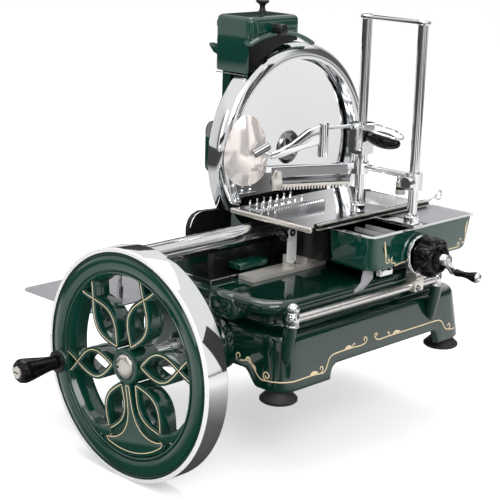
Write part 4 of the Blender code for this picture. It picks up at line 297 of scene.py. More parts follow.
class Workshop:
    """Makes pieces with bmesh operators and hangs them on empties of the bodies."""

    @staticmethod
    def turning(axis: Point) -> Matrix:
        """Rotation that carries +Z onto an axis."""
        return Vector((0.0, 0.0, 1.0)).rotation_difference(Vector(axis).normalized()).to_matrix().to_4x4()

    @staticmethod
    def lathe(profile: Sequence[tuple[float, float]], base: Point, axis: Point, steps: int = 64) -> bmesh.types.BMesh:
        """Spin a profile round an axis.

        Args:
            profile: (radius, height) pairs; the first and last are joined if they don't lie on the axis.
            base: world point of height zero.
            axis: direction of growing height.
            steps: number of steps round the axis.

        Returns:
            A closed bmesh in world coordinates.
        """
        bm = bmesh.new()
        verts = [bm.verts.new((radius, 0.0, height)) for radius, height in profile]
        edges = [bm.edges.new(pair) for pair in zip(verts, verts[1:])]
        if profile[0][0] > 0.0 and profile[0] != profile[-1]:
            edges.append(bm.edges.new((verts[-1], verts[0])))
        bmesh.ops.spin(bm, geom=verts + edges, cent=(0, 0, 0), axis=(0, 0, 1), angle=TURN, steps=steps,
                       use_merge=True)
        bmesh.ops.remove_doubles(bm, verts=bm.verts, dist=0.00001)
        bmesh.ops.recalc_face_normals(bm, faces=bm.faces)
        bmesh.ops.transform(bm, matrix=Matrix.Translation(Vector(base)) @ Workshop.turning(axis), verts=bm.verts)
        return bm

    @staticmethod
    def slab(outline: Sequence[tuple[float, float]], origin: Point, across: Point, up: Point,
             depth: Point) -> bmesh.types.BMesh:
        """Extrude a flat outline.

        Args:
            outline: points in the plane of the outline.
            origin: world point of (0, 0).
            across: world direction of the first coordinate.
            up: world direction of the second coordinate.
            depth: world vector of the extrusion.

        Returns:
            A closed bmesh in world coordinates.
        """
        bm = bmesh.new()
        start, first, second = Vector(origin), Vector(across), Vector(up)
        face = bm.faces.new([bm.verts.new(start + first * a + second * b) for a, b in outline])
        grown = bmesh.ops.extrude_face_region(bm, geom=[face])["geom"]
        moved = [item for item in grown if isinstance(item, bmesh.types.BMVert)]
        bmesh.ops.translate(bm, vec=Vector(depth), verts=moved)
        bmesh.ops.recalc_face_normals(bm, faces=bm.faces)
        return bm

    @staticmethod
    def block(low: Point, high: Point) -> bmesh.types.BMesh:
        """Box between two corners.

        Args:
            low: lowest corner.
            high: highest corner.

        Returns:
            A closed bmesh.
        """
        bm = bmesh.new()
        bmesh.ops.create_cube(bm, size=1.0)
        a, b = Vector(low), Vector(high)
        size = b - a
        bmesh.ops.scale(bm, vec=size, verts=bm.verts)
        bmesh.ops.translate(bm, vec=(a + b) / 2.0, verts=bm.verts)
        return bm

    @staticmethod
    def rod(start: Point, end: Point, radius: float, end_radius: float | None = None,
            steps: int = 32) -> bmesh.types.BMesh:
        """Cylinder or cone between two points.

        Args:
            start: centre of the first end.
            end: centre of the second end.
            radius: radius at the start.
            end_radius: radius at the end, or None for a cylinder.
            steps: number of sides.

        Returns:
            A closed bmesh.
        """
        a, b = Vector(start), Vector(end)
        bm = bmesh.new()
        bmesh.ops.create_cone(bm, cap_ends=True, segments=steps, radius1=radius,
                              radius2=radius if end_radius is None else end_radius, depth=(b - a).length)
        bmesh.ops.transform(bm, matrix=Matrix.Translation((a + b) / 2.0) @ Workshop.turning(b - a), verts=bm.verts)
        return bm

    @staticmethod
    def tube(path: Iterable[Point], radius: float, closed: bool = False, sides: int = 3,
             smooth_path: bool = False) -> bmesh.types.BMesh:
        """Round wire along a path.

        Args:
            path: points of the centre line.
            radius: radius of the wire.
            closed: whether the last point joins the first.
            sides: bevel resolution of the wire.
            smooth_path: whether the path is rounded between its points.

        Returns:
            A bmesh in world coordinates.
        """
        points = [Vector(p) for p in path]
        curve = bpy.data.curves.new("wire", "CURVE")
        curve.dimensions = "3D"
        curve.bevel_depth = radius
        curve.bevel_resolution = sides
        curve.use_fill_caps = True
        line = curve.splines.new("NURBS" if smooth_path else "POLY")
        line.points.add(len(points) - 1)
        for point, co in zip(line.points, points):
            point.co = (*co, 1.0)
        line.use_cyclic_u = closed
        if smooth_path:
            line.order_u = 3
            line.use_endpoint_u = not closed
            line.resolution_u = 6
        holder = bpy.data.objects.new("wire", curve)
        bpy.context.scene.collection.objects.link(holder)
        bpy.context.view_layer.update()
        mesh = bpy.data.meshes.new_from_object(holder.evaluated_get(bpy.context.evaluated_depsgraph_get()))
        bpy.data.objects.remove(holder)
        bm = bmesh.new()
        bm.from_mesh(mesh)
        bmesh.ops.remove_doubles(bm, verts=bm.verts, dist=radius / 50.0)
        bmesh.ops.recalc_face_normals(bm, faces=bm.faces)
        return bm

    @staticmethod
    def joined(parts: Sequence[bmesh.types.BMesh]) -> bmesh.types.BMesh:
        """Put several meshes into one.

        Args:
            parts: meshes to gather; each is freed.

        Returns:
            One bmesh holding all of them.
        """
        whole = bmesh.new()
        for part in parts:
            mesh = bpy.data.meshes.new("part")
            part.to_mesh(mesh)
            part.free()
            whole.from_mesh(mesh)
            bpy.data.meshes.remove(mesh)
        return whole

    @staticmethod
    def softened(bm: bmesh.types.BMesh, width: float, segments: int = 2, angle: float = 30.0) -> bmesh.types.BMesh:
        """Round the sharp edges of a mesh.

        Args:
            bm: mesh to change.
            width: width of the rounding.
            segments: number of steps in it.
            angle: smallest corner, in degrees, that is rounded.

        Returns:
            The same mesh.
        """
        sharp = [edge for edge in bm.edges if len(edge.link_faces) == 2
                 and edge.calc_face_angle(0.0) > math.radians(angle)]
        bmesh.ops.bevel(bm, geom=sharp, offset=width, offset_type="OFFSET", affect="EDGES", segments=segments,
                        profile=0.5, material=-1, clamp_overlap=True)
        return bm

    @staticmethod
    def deliver(bm: bmesh.types.BMesh, name: str, body: str, slot: Slot, shading: Shading = Shading.CRISP,
                material: bpy.types.Material | None = None, replaces: Sequence[str] = ()) -> bpy.types.Object:
        """Turn a mesh into a piece that rides on a body.

        Args:
            bm: mesh in world coordinates; it is freed.
            name: name of the piece.
            body: CAD body that it moves with.
            slot: material slot of the record.
            shading: how its faces are shaded.
            material: finish in place of the slot's own.
            replaces: CAD nodes that it stands for.

        Returns:
            The new object.
        """
        mesh = bpy.data.meshes.new(name)
        bm.to_mesh(mesh)
        bm.free()
        if shading is Shading.FLAT:
            mesh.shade_flat()
        else:
            mesh.shade_smooth()
            mesh.set_sharp_from_angle(angle=math.radians(shading.value))
        mesh.materials.append(material or MATERIALS[slot])
        piece = bpy.data.objects.new(name, mesh)
        bpy.context.scene.collection.objects.link(piece)
        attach(piece, body)
        if replaces:
            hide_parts(*replaces)
        LOG.info("%s: %d faces on %s", name, len(mesh.polygons), body)
        return piece

    @staticmethod
    def refined(node: str, body: str, slot: Slot, width: float = 0.0, segments: int = 2,
                shading: Shading = Shading.CRISP) -> bpy.types.Object:
        """Finer copy of a CAD node, with merged points and softened edges.

        Args:
            node: CAD node to copy.
            body: body that it rides on.
            slot: material slot of the record.
            width: width of the edge rounding, or zero.
            segments: steps in the rounding.
            shading: how its faces are shaded.

        Returns:
            The piece that stands for the node.
        """
        bm = bmesh.new()
        bm.from_mesh(frame["nodes"][node].data)
        bmesh.ops.remove_doubles(bm, verts=bm.verts, dist=0.00002)
        bmesh.ops.dissolve_limit(bm, angle_limit=math.radians(1.0), verts=bm.verts, edges=bm.edges)
        piece = Workshop.deliver(bm, f"{node}_finish", body, slot, shading, replaces=(node,))
        if width > 0.0:
            rounding = piece.modifiers.new("edges", "BEVEL")
            rounding.width = width
            rounding.segments = segments
            rounding.limit_method = "ANGLE"
            rounding.angle_limit = math.radians(30.0)
            rounding.harden_normals = True
        return piece


def ring_points(radius: float, count: int, start: float = 0.0, span: float = TURN) -> list[tuple[float, float]]:
    """Points on an arc.

    Args:
        radius: radius of the arc.
        count: number of steps; a full turn leaves out the doubled end.
        start: first angle.
        span: angle covered.

    Returns:
        Points in the plane of the arc.
    """
    last = count if abs(span - TURN) > 1e-6 else count - 1
    return [(radius * math.cos(start + span * i / count), radius * math.sin(start + span * i / count))
            for i in range(last + 1)]


def rounded_box(x0: float, x1: float, y0: float, y1: float, radius: float, steps: int = 8) -> list[tuple[float, float]]:
    """Rectangle outline with round corners.

    Args:
        x0: low side of the first coordinate.
        x1: high side of the first coordinate.
        y0: low side of the second coordinate.
        y1: high side of the second coordinate.
        radius: corner radius.
        steps: steps in each corner.

    Returns:
        Outline points, anticlockwise.
    """
    points = []
    corners = ((x1 - radius, y1 - radius, 0.0), (x0 + radius, y1 - radius, 0.25),
               (x0 + radius, y0 + radius, 0.5), (x1 - radius, y0 + radius, 0.75))
    for cx, cy, turn in corners:
        points += [(cx + a, cy + b) for a, b in ring_points(radius, steps, turn * TURN, 0.25 * TURN)]
    return points


@dataclass
class Studio:
    """Camera, floor and lamps."""

    camera_place: Point = (-1.7481, -1.5388, 0.7967)
    camera_yaw: float = -0.8039879135588013
    camera_pitch: float = 0.25961099629607004
    camera_roll: float = 0.03221323652833683
    lens: float = 102.16
    floor_z: float = -0.1135

    def camera(self) -> None:
        """Set the camera at the photograph's viewing angle."""
        yaw, pitch, roll = self.camera_yaw, self.camera_pitch, self.camera_roll
        back = Vector((math.sin(yaw) * math.cos(pitch), -math.cos(yaw) * math.cos(pitch), math.sin(pitch)))
        level = Vector((math.cos(yaw), math.sin(yaw), 0.0))
        rise = back.cross(level)
        right = level * math.cos(roll) + rise * math.sin(roll)
        up = rise * math.cos(roll) - level * math.sin(roll)
        data = bpy.data.cameras.new("camera")
        data.lens = self.lens
        data.sensor_width = 36.0
        data.clip_end = 50.0
        obj = bpy.data.objects.new("camera", data)
        bpy.context.scene.collection.objects.link(obj)
        matrix = Matrix((right, up, back)).transposed().to_4x4()
        matrix.translation = Vector(self.camera_place)
        obj.matrix_world = matrix
        bpy.context.scene.camera = obj

    @staticmethod
    def ramp(node: bpy.types.ShaderNode, stops: Sequence[tuple[float, float]]) -> None:
        """Set the grey stops of a colour ramp.

        Args:
            node: colour ramp node.
            stops: pairs of position and grey value.
        """
        for position, value in stops:
            node.color_ramp.elements.new(position).color = (value, value, value, 1.0)
        for extra in (0, -1):
            node.color_ramp.elements.remove(node.color_ramp.elements[extra])

    def floor(self) -> None:
        """Lay a flat pale floor under the machine."""
        bm = bmesh.new()
        bmesh.ops.create_grid(bm, x_segments=1, y_segments=1, size=9.0)
        bmesh.ops.translate(bm, vec=(0.0, 0.0, self.floor_z), verts=bm.verts)
        mesh = bpy.data.meshes.new("studio_floor")
        bm.to_mesh(mesh)
        bm.free()
        mat = bpy.data.materials.new("pale_floor")
        mat.use_nodes = True
        tree = mat.node_tree
        shader = tree.nodes["Principled BSDF"]
        shader.inputs["Roughness"].default_value = 0.9
        shader.inputs["Emission Color"].default_value = (1.0, 1.0, 1.0, 1.0)
        path = tree.nodes.new("ShaderNodeLightPath")
        place = tree.nodes.new("ShaderNodeTexCoord")
        split = tree.nodes.new("ShaderNodeSeparateXYZ")
        tree.links.new(place.outputs["Object"], split.inputs[0])
        forward = math_node(tree, "SUBTRACT", math_node(tree, "MULTIPLY", split.outputs[0], 0.70),
                            math_node(tree, "MULTIPLY", split.outputs[1], 0.71))
        near = tree.nodes.new("ShaderNodeValToRGB")
        self.ramp(near, ((0.0, 0.02), (0.33, 0.02), (0.375, 0.60), (0.43, 0.60), (0.46, 0.03), (0.50, 0.10), (0.53, 0.40),
                         (0.58, 0.92), (0.77, 0.92), (0.83, 0.05), (1.0, 0.03)))
        tree.links.new(math_node(tree, "MULTIPLY_ADD", forward, 0.1), near.inputs[0])
        near.inputs[0].links[0].from_node.inputs[2].default_value = 0.5
        blend = tree.nodes.new("ShaderNodeMix")
        blend.data_type = "RGBA"
        blend.inputs[6].default_value = (0.90, 0.90, 0.90, 1.0)
        tree.links.new(path.outputs["Is Glossy Ray"], blend.inputs[0])
        tree.links.new(near.outputs["Color"], blend.inputs[7])
        tree.links.new(blend.outputs[2], shader.inputs["Base Color"])
        glow = math_node(tree, "MULTIPLY", math_node(tree, "SUBTRACT", 1.0, path.outputs["Is Glossy Ray"]), 0.42)
        tree.links.new(glow, shader.inputs["Emission Strength"])
        mesh.materials.append(mat)
        obj = bpy.data.objects.new("studio_floor", mesh)
        bpy.context.scene.collection.objects.link(obj)

    def lamp(self, name: str, place: Point, aim: Point, size: tuple[float, float], power: float) -> None:
        """Hang one soft lamp.

        Args:
            name: name of the lamp.
            place: where it hangs.
            aim: point that it faces.
            size: width and height.
            power: power in watts.
        """
        data = bpy.data.lights.new(name, "AREA")
        data.shape = "RECTANGLE"
        data.size, data.size_y = size
        data.energy = power
        obj = bpy.data.objects.new(name, data)
        obj.location = Vector(place)
        obj.rotation_euler = (Vector(aim) - Vector(place)).to_track_quat("-Z", "Y").to_euler()
        bpy.context.scene.collection.objects.link(obj)

    def flag(self, name: str, centre: Point, size: tuple[float, float], aim: Point) -> None:
        """Stand a dark card outside the picture, for the metal to mirror.

        Args:
            name: name of the card.
            centre: centre of the card.
            size: width and height.
            aim: point that it faces.
        """
        bm = bmesh.new()
        bmesh.ops.create_grid(bm, x_segments=1, y_segments=1, size=0.5)
        bmesh.ops.scale(bm, vec=(size[0], size[1], 1.0), verts=bm.verts)
        place = Matrix.Translation(Vector(centre)) @ Workshop.turning(Vector(aim) - Vector(centre))
        bmesh.ops.transform(bm, matrix=place, verts=bm.verts)
        mesh = bpy.data.meshes.new(name)
        bm.to_mesh(mesh)
        bm.free()
        mat = bpy.data.materials.get("dark_card") or bpy.data.materials.new("dark_card")
        mat.use_nodes = True
        mat.node_tree.nodes["Principled BSDF"].inputs["Base Color"].default_value = (0.02, 0.02, 0.02, 1.0)
        mesh.materials.append(mat)
        obj = bpy.data.objects.new(name, mesh)
        obj.visible_camera = False
        obj.visible_shadow = False
        obj.visible_diffuse = False
        bpy.context.scene.collection.objects.link(obj)

    def world(self) -> None:
        """White surroundings for the view and for mirrors, softer for the light they give."""
        scene = bpy.context.scene
        world = bpy.data.worlds.new("white_room")
        scene.world = world
        world.use_nodes = True
        tree = world.node_tree
        ground = tree.nodes["Background"]
        path = tree.nodes.new("ShaderNodeLightPath")
        place = tree.nodes.new("ShaderNodeTexCoord")
        split = tree.nodes.new("ShaderNodeSeparateXYZ")
        tree.links.new(place.outputs["Generated"], split.inputs[0])
        around = tree.nodes.new("ShaderNodeValToRGB")
        stops = ((0.0, 0.12), (0.04, 0.75), (0.15, 0.85), (0.175, 0.10), (0.23, 0.05), (0.255, 0.95), (0.36, 0.90),
                 (0.39, 0.12), (0.50, 0.10), (0.53, 0.45), (0.585, 0.85), (0.650, 0.85), (0.68, 0.05), (0.76, 0.05), (0.79, 0.80),
                 (0.88, 0.70), (0.91, 0.04), (1.0, 0.05))
        self.ramp(around, stops)
        turn = math_node(tree, "ARCTAN2", split.outputs[1], split.outputs[0])
        tree.links.new(math_node(tree, "MULTIPLY_ADD", turn, 1.0 / TURN), around.inputs[0])
        around.inputs[0].links[0].from_node.inputs[2].default_value = 0.5
        above = tree.nodes.new("ShaderNodeValToRGB")
        self.ramp(above, ((0.0, 0.0), (0.42, 0.0), (0.52, 1.0), (1.0, 1.0)))
        tree.links.new(split.outputs[2], above.inputs[0])
        bands = tree.nodes.new("ShaderNodeMix")
        bands.data_type = "RGBA"
        bands.inputs[7].default_value = (0.88, 0.88, 0.88, 1.0)
        tree.links.new(above.outputs["Color"], bands.inputs[0])
        tree.links.new(around.outputs["Color"], bands.inputs[6])
        mirror = tree.nodes.new("ShaderNodeMix")
        mirror.data_type = "RGBA"
        mirror.inputs[6].default_value = (0.62, 0.62, 0.62, 1.0)
        tree.links.new(path.outputs["Is Glossy Ray"], mirror.inputs[0])
        tree.links.new(bands.outputs[2], mirror.inputs[7])
        view = tree.nodes.new("ShaderNodeMix")
        view.data_type = "RGBA"
        view.inputs[7].default_value = (1.0, 1.0, 1.0, 1.0)
        seen = math_node(tree, "MAXIMUM", path.outputs["Is Camera Ray"], path.outputs["Is Transmission Ray"])
        tree.links.new(seen, view.inputs[0])
        tree.links.new(mirror.outputs[2], view.inputs[6])
        tree.links.new(view.outputs[2], ground.inputs["Color"])
        scene.view_settings.view_transform = "Standard"

    def build(self) -> None:
        """Set everything up."""
        self.camera()
        self.floor()
        self.world()
        centre = (-0.05, 0.0, 0.2)
        self.lamp("key", (-1.6, -2.6, 2.4), centre, (2.0, 2.0), 52.0)
        self.lamp("left_fill", (-3.2, 0.4, 1.4), centre, (1.6, 2.2), 10.0)
        self.lamp("top", (0.2, 0.6, 3.0), centre, (2.2, 2.2), 40.0)
        self.flag("flag_left", (-2.6, -0.35, 0.75), (0.35, 2.2), centre)
        self.flag("flag_right", (1.2, -2.2, 0.7), (0.9, 2.0), centre)
        self.flag("flag_low", (-0.6, -2.4, -0.02), (1.8, 0.18), centre)
        self.flag("flag_rear", (1.6, 1.8, 0.8), (0.8, 2.2), centre)


@dataclass
class Dress:
    """Finish of the CAD nodes that keep their shape."""

    rounding: dict[str, float] = field(default_factory=lambda: {
        "press_head": 0.0012, "press_clamp": 0.0015, "table_edge": 0.0012, "meat_table": 0.0006, "release_lever": 0.0008,
        "carriage_lip": 0.0004, "trough_cover": 0.0004, "bar_web": 0.002, "rear_cover": 0.003, "slice_tray": 0.0006})
    special: dict[str, bpy.types.Material] = field(default_factory=lambda: {
        "meat_table": TABLE, "release_lever": BRIGHT, "guide_bar": SATIN_BAR, "drive_slider": SLIDER})
    tray_reach: float = 0.0120

    def build(self) -> None:
        """Make a finer copy of each CAD node still shown, with the listed roundings and finishes."""
        slots = {entry["node"]: Slot(entry["material_slot"]) for entry in frame["record"]["subparts"]}
        bodies = {node: body for body, nodes in frame["record"]["behaviour"]["bodies"].items() for node in nodes}
        for node, slot in slots.items():
            if frame["nodes"][node].hide_render:
                continue
            piece = Workshop.refined(node, bodies[node], slot, self.rounding.get(node, 0.0))
            if node in self.special:
                piece.data.materials[0] = self.special[node]
            if node == "slice_tray":
                for vert in piece.data.vertices:
                    if vert.co.x < -0.30:
                        vert.co.x -= self.tray_reach


@dataclass
class Flywheel:
    """Cast wheel with six petals, a fan at its foot, a polished tyre and a crank handle."""

    rim_width: float = 0.041
    green_r: float = 0.1752
    tyre_r: float = 0.182
    rim_inner_r: float = 0.1385
    petal_root: float = 0.034
    petal_tip: float = 0.1185
    petal_half: float = 0.0212
    petal_wall: float = 0.0092
    petal_front: float = 0.0035
    petal_depth: float = 0.030
    hub_r: float = 0.0285
    cap_r: float = 0.0185
    handle_r: float = 0.1545
    body: str = "flywheel_set"

    def at(self, radius: float, angle: float, depth: float = 0.0) -> Vector:
        """World point of a place on the wheel.

        Args:
            radius: distance from the axis.
            angle: angle from the handle's opposite side, anticlockwise as seen from the front.
            depth: distance behind the front face.

        Returns:
            The point, with the wheel at its rest angle.
        """
        turned = angle + WHEEL_TURN
        return WHEEL_CENTRE + Vector((depth, -radius * math.cos(turned), radius * math.sin(turned)))

    def sheet(self, outline: Sequence[tuple[float, float]], front: float, thick: float) -> bmesh.types.BMesh:
        """Flat casting between two depths.

        Args:
            outline: (radius, angle) points.
            front: depth of the front face.
            thick: thickness.

        Returns:
            A closed mesh.
        """
        bm = bmesh.new()
        face = bm.faces.new([bm.verts.new(self.at(r, a, front)) for r, a in outline])
        grown = bmesh.ops.extrude_face_region(bm, geom=[face])["geom"]
        bmesh.ops.translate(bm, vec=(thick, 0.0, 0.0),
                            verts=[item for item in grown if isinstance(item, bmesh.types.BMVert)])
        bmesh.ops.recalc_face_normals(bm, faces=bm.faces)
        return bm

    def petal_line(self, petal: int, side: float, offset: float, steps: int = 26,
                   start: float = 0.0, end: float = 1.0) -> list[tuple[float, float]]:
        """One edge or centre line of a petal wall.

        Args:
            petal: number of the petal.
            side: 1 or -1, for the two mirrored walls.
            offset: distance from the wall's centre line.
            steps: number of steps.
            start: share of the length at which the line starts.
            end: share of the length at which it ends.

        Returns:
            (radius, angle) points from the hub to the rim.
        """
        reach = self.rim_inner_r + 0.003
        points = []
        for i in range(steps + 1):
            share = start + (end - start) * i / steps
            along = self.petal_root + (reach - self.petal_root) * share
            wave = math.pi * (along - self.petal_root) / (self.petal_tip - self.petal_root)
            slope = self.petal_half * math.cos(wave) * math.pi / (self.petal_tip - self.petal_root)
            bulge = self.petal_half * math.sin(wave) + offset / math.hypot(1.0, slope)
            along -= offset * slope / math.hypot(1.0, slope)
            points.append((math.hypot(along, bulge), petal * TURN / 6.0 + math.atan2(side * bulge, along)))
        return points

    def fan(self, inset: float = 0.0, steps: int = 16) -> list[tuple[float, float]]:
        """Outline of the stem and fan.

        Args:
            inset: distance by which the outline is drawn in.
            steps: number of steps along each side.

        Returns:
            (radius, angle) points round the fan.
        """
        foot, top = 0.1405 - inset * 1.6, self.hub_r * 0.9 + inset * 1.5
        down = -0.25 * TURN
        right, left = [], []
        for i in range(steps + 1):
            share = i / steps
            radius = top + (foot - top) * share
            spread = (0.0062 - inset * 0.8) / radius + math.radians(30.0 - 520.0 * inset) * share ** 3.1
            right.append((radius - 0.004 * share ** 6, down + spread))
            left.append((radius - 0.004 * share ** 6, down - spread))
        last = right[-1][1] - down
        arc = [(foot, down + last * (1.0 - 2.0 * i / steps)) for i in range(1, steps)]
        return right + arc + left[::-1]

    def line(self, points: Sequence[tuple[float, float]], front: float, width: float = 0.0013,
             closed: bool = False) -> bmesh.types.BMesh:
        """Painted line, standing a hair above the casting.

        Args:
            points: (radius, angle) points of its centre.
            front: depth of the face that carries it.
            width: width of the line.
            closed: whether it closes on itself.

        Returns:
            A closed mesh.
        """
        return painted_line([self.at(r, a, front) for r, a in points], (-1.0, 0.0, 0.0), width, closed)

    def casting(self) -> None:
        """Band, petals, hub, foot and boss in green enamel."""
        width = self.rim_width
        profile = [(self.green_r, width), (self.green_r, 0.0045), (0.1741, 0.0045), (0.1737, 0.0012),
                   (0.1729, 0.0002), (0.1719, 0.0006), (0.1713, 0.0024), (0.1704, 0.0024), (0.1698, 0.0006),
                   (0.1692, 0.0), (0.1490, 0.0), (0.1483, 0.0008), (0.1477, 0.0030), (0.1462, 0.0030),
                   (0.1456, 0.0008), (0.1447, 0.0), (0.1430, 0.0004), (0.1420, 0.0020), (0.1412, 0.0060),
                   (self.rim_inner_r, 0.0090), (self.rim_inner_r, width)]
        parts = [Workshop.lathe(profile, WHEEL_CENTRE, (1, 0, 0), steps=128)]
        for petal in range(6):
            for side in (-1.0, 1.0):
                outer = self.petal_line(petal, side, self.petal_wall / 2)
                inner = self.petal_line(petal, side, -self.petal_wall / 2)
                wall = self.sheet(outer + inner[::-1], self.petal_front, self.petal_depth)
                parts.append(Workshop.softened(wall, 0.0012, 2, 50.0))
        hub = [(0.0, 0.0008), (self.cap_r + 0.0012, 0.0008), (self.cap_r + 0.002, 0.0), (self.hub_r - 0.003, 0.0),
               (self.hub_r - 0.0008, 0.0008), (self.hub_r, 0.003), (self.hub_r, 0.0505), (0.0, 0.0505)]
        parts.append(Workshop.lathe(hub, WHEEL_CENTRE, (1, 0, 0), steps=64))
        parts += self.foot()
        handle = self.at(self.handle_r, math.pi)
        boss = Workshop.lathe([(0.0, -0.0070), (0.0165, -0.0070), (0.0190, -0.0045), (0.0195, 0.0), (0.0195, 0.033),
                               (0.0, 0.033)], handle, (1, 0, 0), steps=8)
        parts.append(Workshop.softened(boss, 0.0012, 2))
        Workshop.deliver(Workshop.joined(parts), "flywheel_casting", self.body, Slot.GREEN, Shading.SOFT,
                         material=LIT_GREEN, replaces=("flywheel",))

    def foot(self) -> list[bmesh.types.BMesh]:
        """Plate between the lower petals and the band, with the fan standing in its groove.

        Returns:
            The meshes of the plate, its raised borders and the fan.
        """
        down = -0.25 * TURN
        bed_side = [(0.1425, 58.0), (0.1360, 50.0), (0.1300, 41.5), (0.1200, 34.0), (0.1100, 26.0),
                    (0.0980, 19.5), (0.0850, 15.0), (0.0740, 13.0)]
        bed = [(r, down + math.radians(a)) for r, a in bed_side]
        bed += [(r, down - math.radians(a)) for r, a in bed_side[::-1]]
        bed += [(0.1425, down - math.radians(58.0 * (1 - 2 * i / 24))) for i in range(1, 24)]
        parts = [self.sheet(bed, 0.0055, 0.014)]
        for side in (-1.0, 1.0):
            outer = [(0.1440, 60.0), (0.1375, 51.0), (0.1315, 42.5), (0.1225, 35.5), (0.1160, 31.5)]
            inner = [(0.1195, 26.5), (0.1270, 28.5), (0.1345, 33.0), (0.1380, 36.5), (0.1405, 40.5), (0.1440, 46.0)]
            ring = [(r, down + side * math.radians(a)) for r, a in outer + inner]
            parts.append(Workshop.softened(self.sheet(ring, 0.0005, 0.012), 0.0011, 2, 40.0))
        parts.append(Workshop.softened(self.sheet(self.fan(), 0.0005, 0.012), 0.0010, 2, 40.0))
        return parts

    def stripes(self) -> None:
        """Gold lines on the petals and inside the fan."""
        parts = []
        for petal in range(6):
            for side in (-1.0, 1.0):
                parts.append(self.line(self.petal_line(petal, side, 0.0, 40, 0.0, 0.985), self.petal_front))
        parts.append(self.line(self.fan(0.0034, 22), 0.0005, closed=True))
        Workshop.deliver(Workshop.joined(parts), "flywheel_stripes", self.body, Slot.GREEN, Shading.FLAT, GOLD)

    def tyre(self) -> None:
        """Polished steel tyre round the band."""
        profile = [(0.1755, 0.0), (0.1803, -0.0), (0.1814, 0.0004), (0.1820, 0.0016), (0.1820, self.rim_width - 0.0012),
                   (0.1812, self.rim_width), (0.1755, self.rim_width)]
        Workshop.deliver(Workshop.lathe(profile, WHEEL_CENTRE, (1, 0, 0), steps=160), "tyre_polished", self.body,
                         Slot.CHROME, Shading.CRISP, replaces=("flywheel_tyre",))
        edge = [(0.1758, 0.0002), (0.1758, -0.0004), (0.1803, -0.0006), (0.1816, -0.0001), (0.1823, 0.0012),
                (0.1823, 0.0020), (0.1810, 0.0020)]
        Workshop.deliver(Workshop.lathe(edge, WHEEL_CENTRE, (1, 0, 0), steps=160), "tyre_edge", self.body, Slot.CHROME,
                         Shading.SOFT, BRIGHT)

    def cap(self) -> None:
        """Oil cap at the hub, with its small hole."""
        front = WHEEL_CENTRE + Vector((0.0006, 0.0, 0.0))
        profile = [(0.0, 0.0), (self.cap_r, 0.0), (self.cap_r, 0.0012), (self.cap_r - 0.0012, 0.0024),
                   (self.cap_r * 0.55, 0.0033), (0.0, 0.0036)]
        parts = [Workshop.lathe(profile, front, (-1, 0, 0), steps=48)]
        Workshop.deliver(Workshop.joined(parts), "hub_cap_polished", self.body, Slot.CREAM, Shading.SOFT,
                         replaces=("hub_cap",))
        hole = self.at(0.0125, math.radians(-178.0), -0.0022)
        Workshop.deliver(Workshop.lathe([(0.0, 0.0), (0.0021, 0.0), (0.0021, 0.0010), (0.0016, 0.0013),
                                         (0.0, 0.0013)], hole, (-1, 0, 0), steps=20),
                         "hub_oil_hole", self.body, Slot.BLACK_METAL, Shading.SOFT)

    def grip(self) -> None:
        """Black faceted handle that turns on its spindle."""
        front = self.at(self.handle_r, math.pi, -0.0070)
        collar = [(0.0, 0.0), (0.0150, 0.0), (0.0178, 0.0010), (0.0184, 0.0026), (0.0176, 0.0044), (0.0140, 0.0052),
                  (0.0, 0.0052)]
        plate = front + Vector((-0.0802, 0.0, 0.0))
        parts = [Workshop.lathe(collar, front, (-1, 0, 0), steps=40)]
        Workshop.deliver(Workshop.joined(parts), "handle_collar", self.body, Slot.BLACK_METAL, Shading.SOFT,
                         replaces=("handle_spindle",))
        nut = Workshop.lathe([(0.0, -0.004), (0.0100, -0.004), (0.0104, 0.0), (0.0104, 0.0012), (0.0094, 0.0022),
                              (0.0, 0.0022)], plate, (-1, 0, 0), steps=8)
        spindle = Workshop.rod(front + Vector((0.020, 0, 0)), plate, 0.0040)
        slot_cut = Workshop.block(plate + Vector((-0.0027, -0.0060, -0.0009)),
                                  plate + Vector((-0.0018, 0.0060, 0.0009)))
        Workshop.deliver(Workshop.joined([nut, spindle]), "handle_end_plate", self.body, Slot.CREAM, Shading.CRISP)
        Workshop.deliver(slot_cut, "handle_end_slot", self.body, Slot.BLACK_METAL, Shading.FLAT)
        shape = ((0.0, 0.0108), (0.02, 0.0116), (0.12, 0.0116), (0.35, 0.0138), (0.62, 0.0175), (0.80, 0.0197),
                 (0.88, 0.0199), (0.94, 0.0186), (0.98, 0.0162), (1.0, 0.0138))
        length = 0.0735
        profile = [(0.0045, 0.0)] + [(r, length * share) for share, r in shape] + [(0.0045, length)]
        body = Workshop.lathe(profile, front + Vector((-0.0056, 0, 0)), (-1, 0, 0), steps=12)
        Workshop.deliver(Workshop.softened(body, 0.0009, 2, 12.0), "handle_grip_faceted", "wheel_grip", Slot.BLACK,
                         Shading.SOFT, replaces=("handle_grip",))

    def build(self) -> None:
        """Build every piece of the wheel."""
        self.casting()
        self.stripes()
        self.tyre()
        self.cap()
        self.grip()


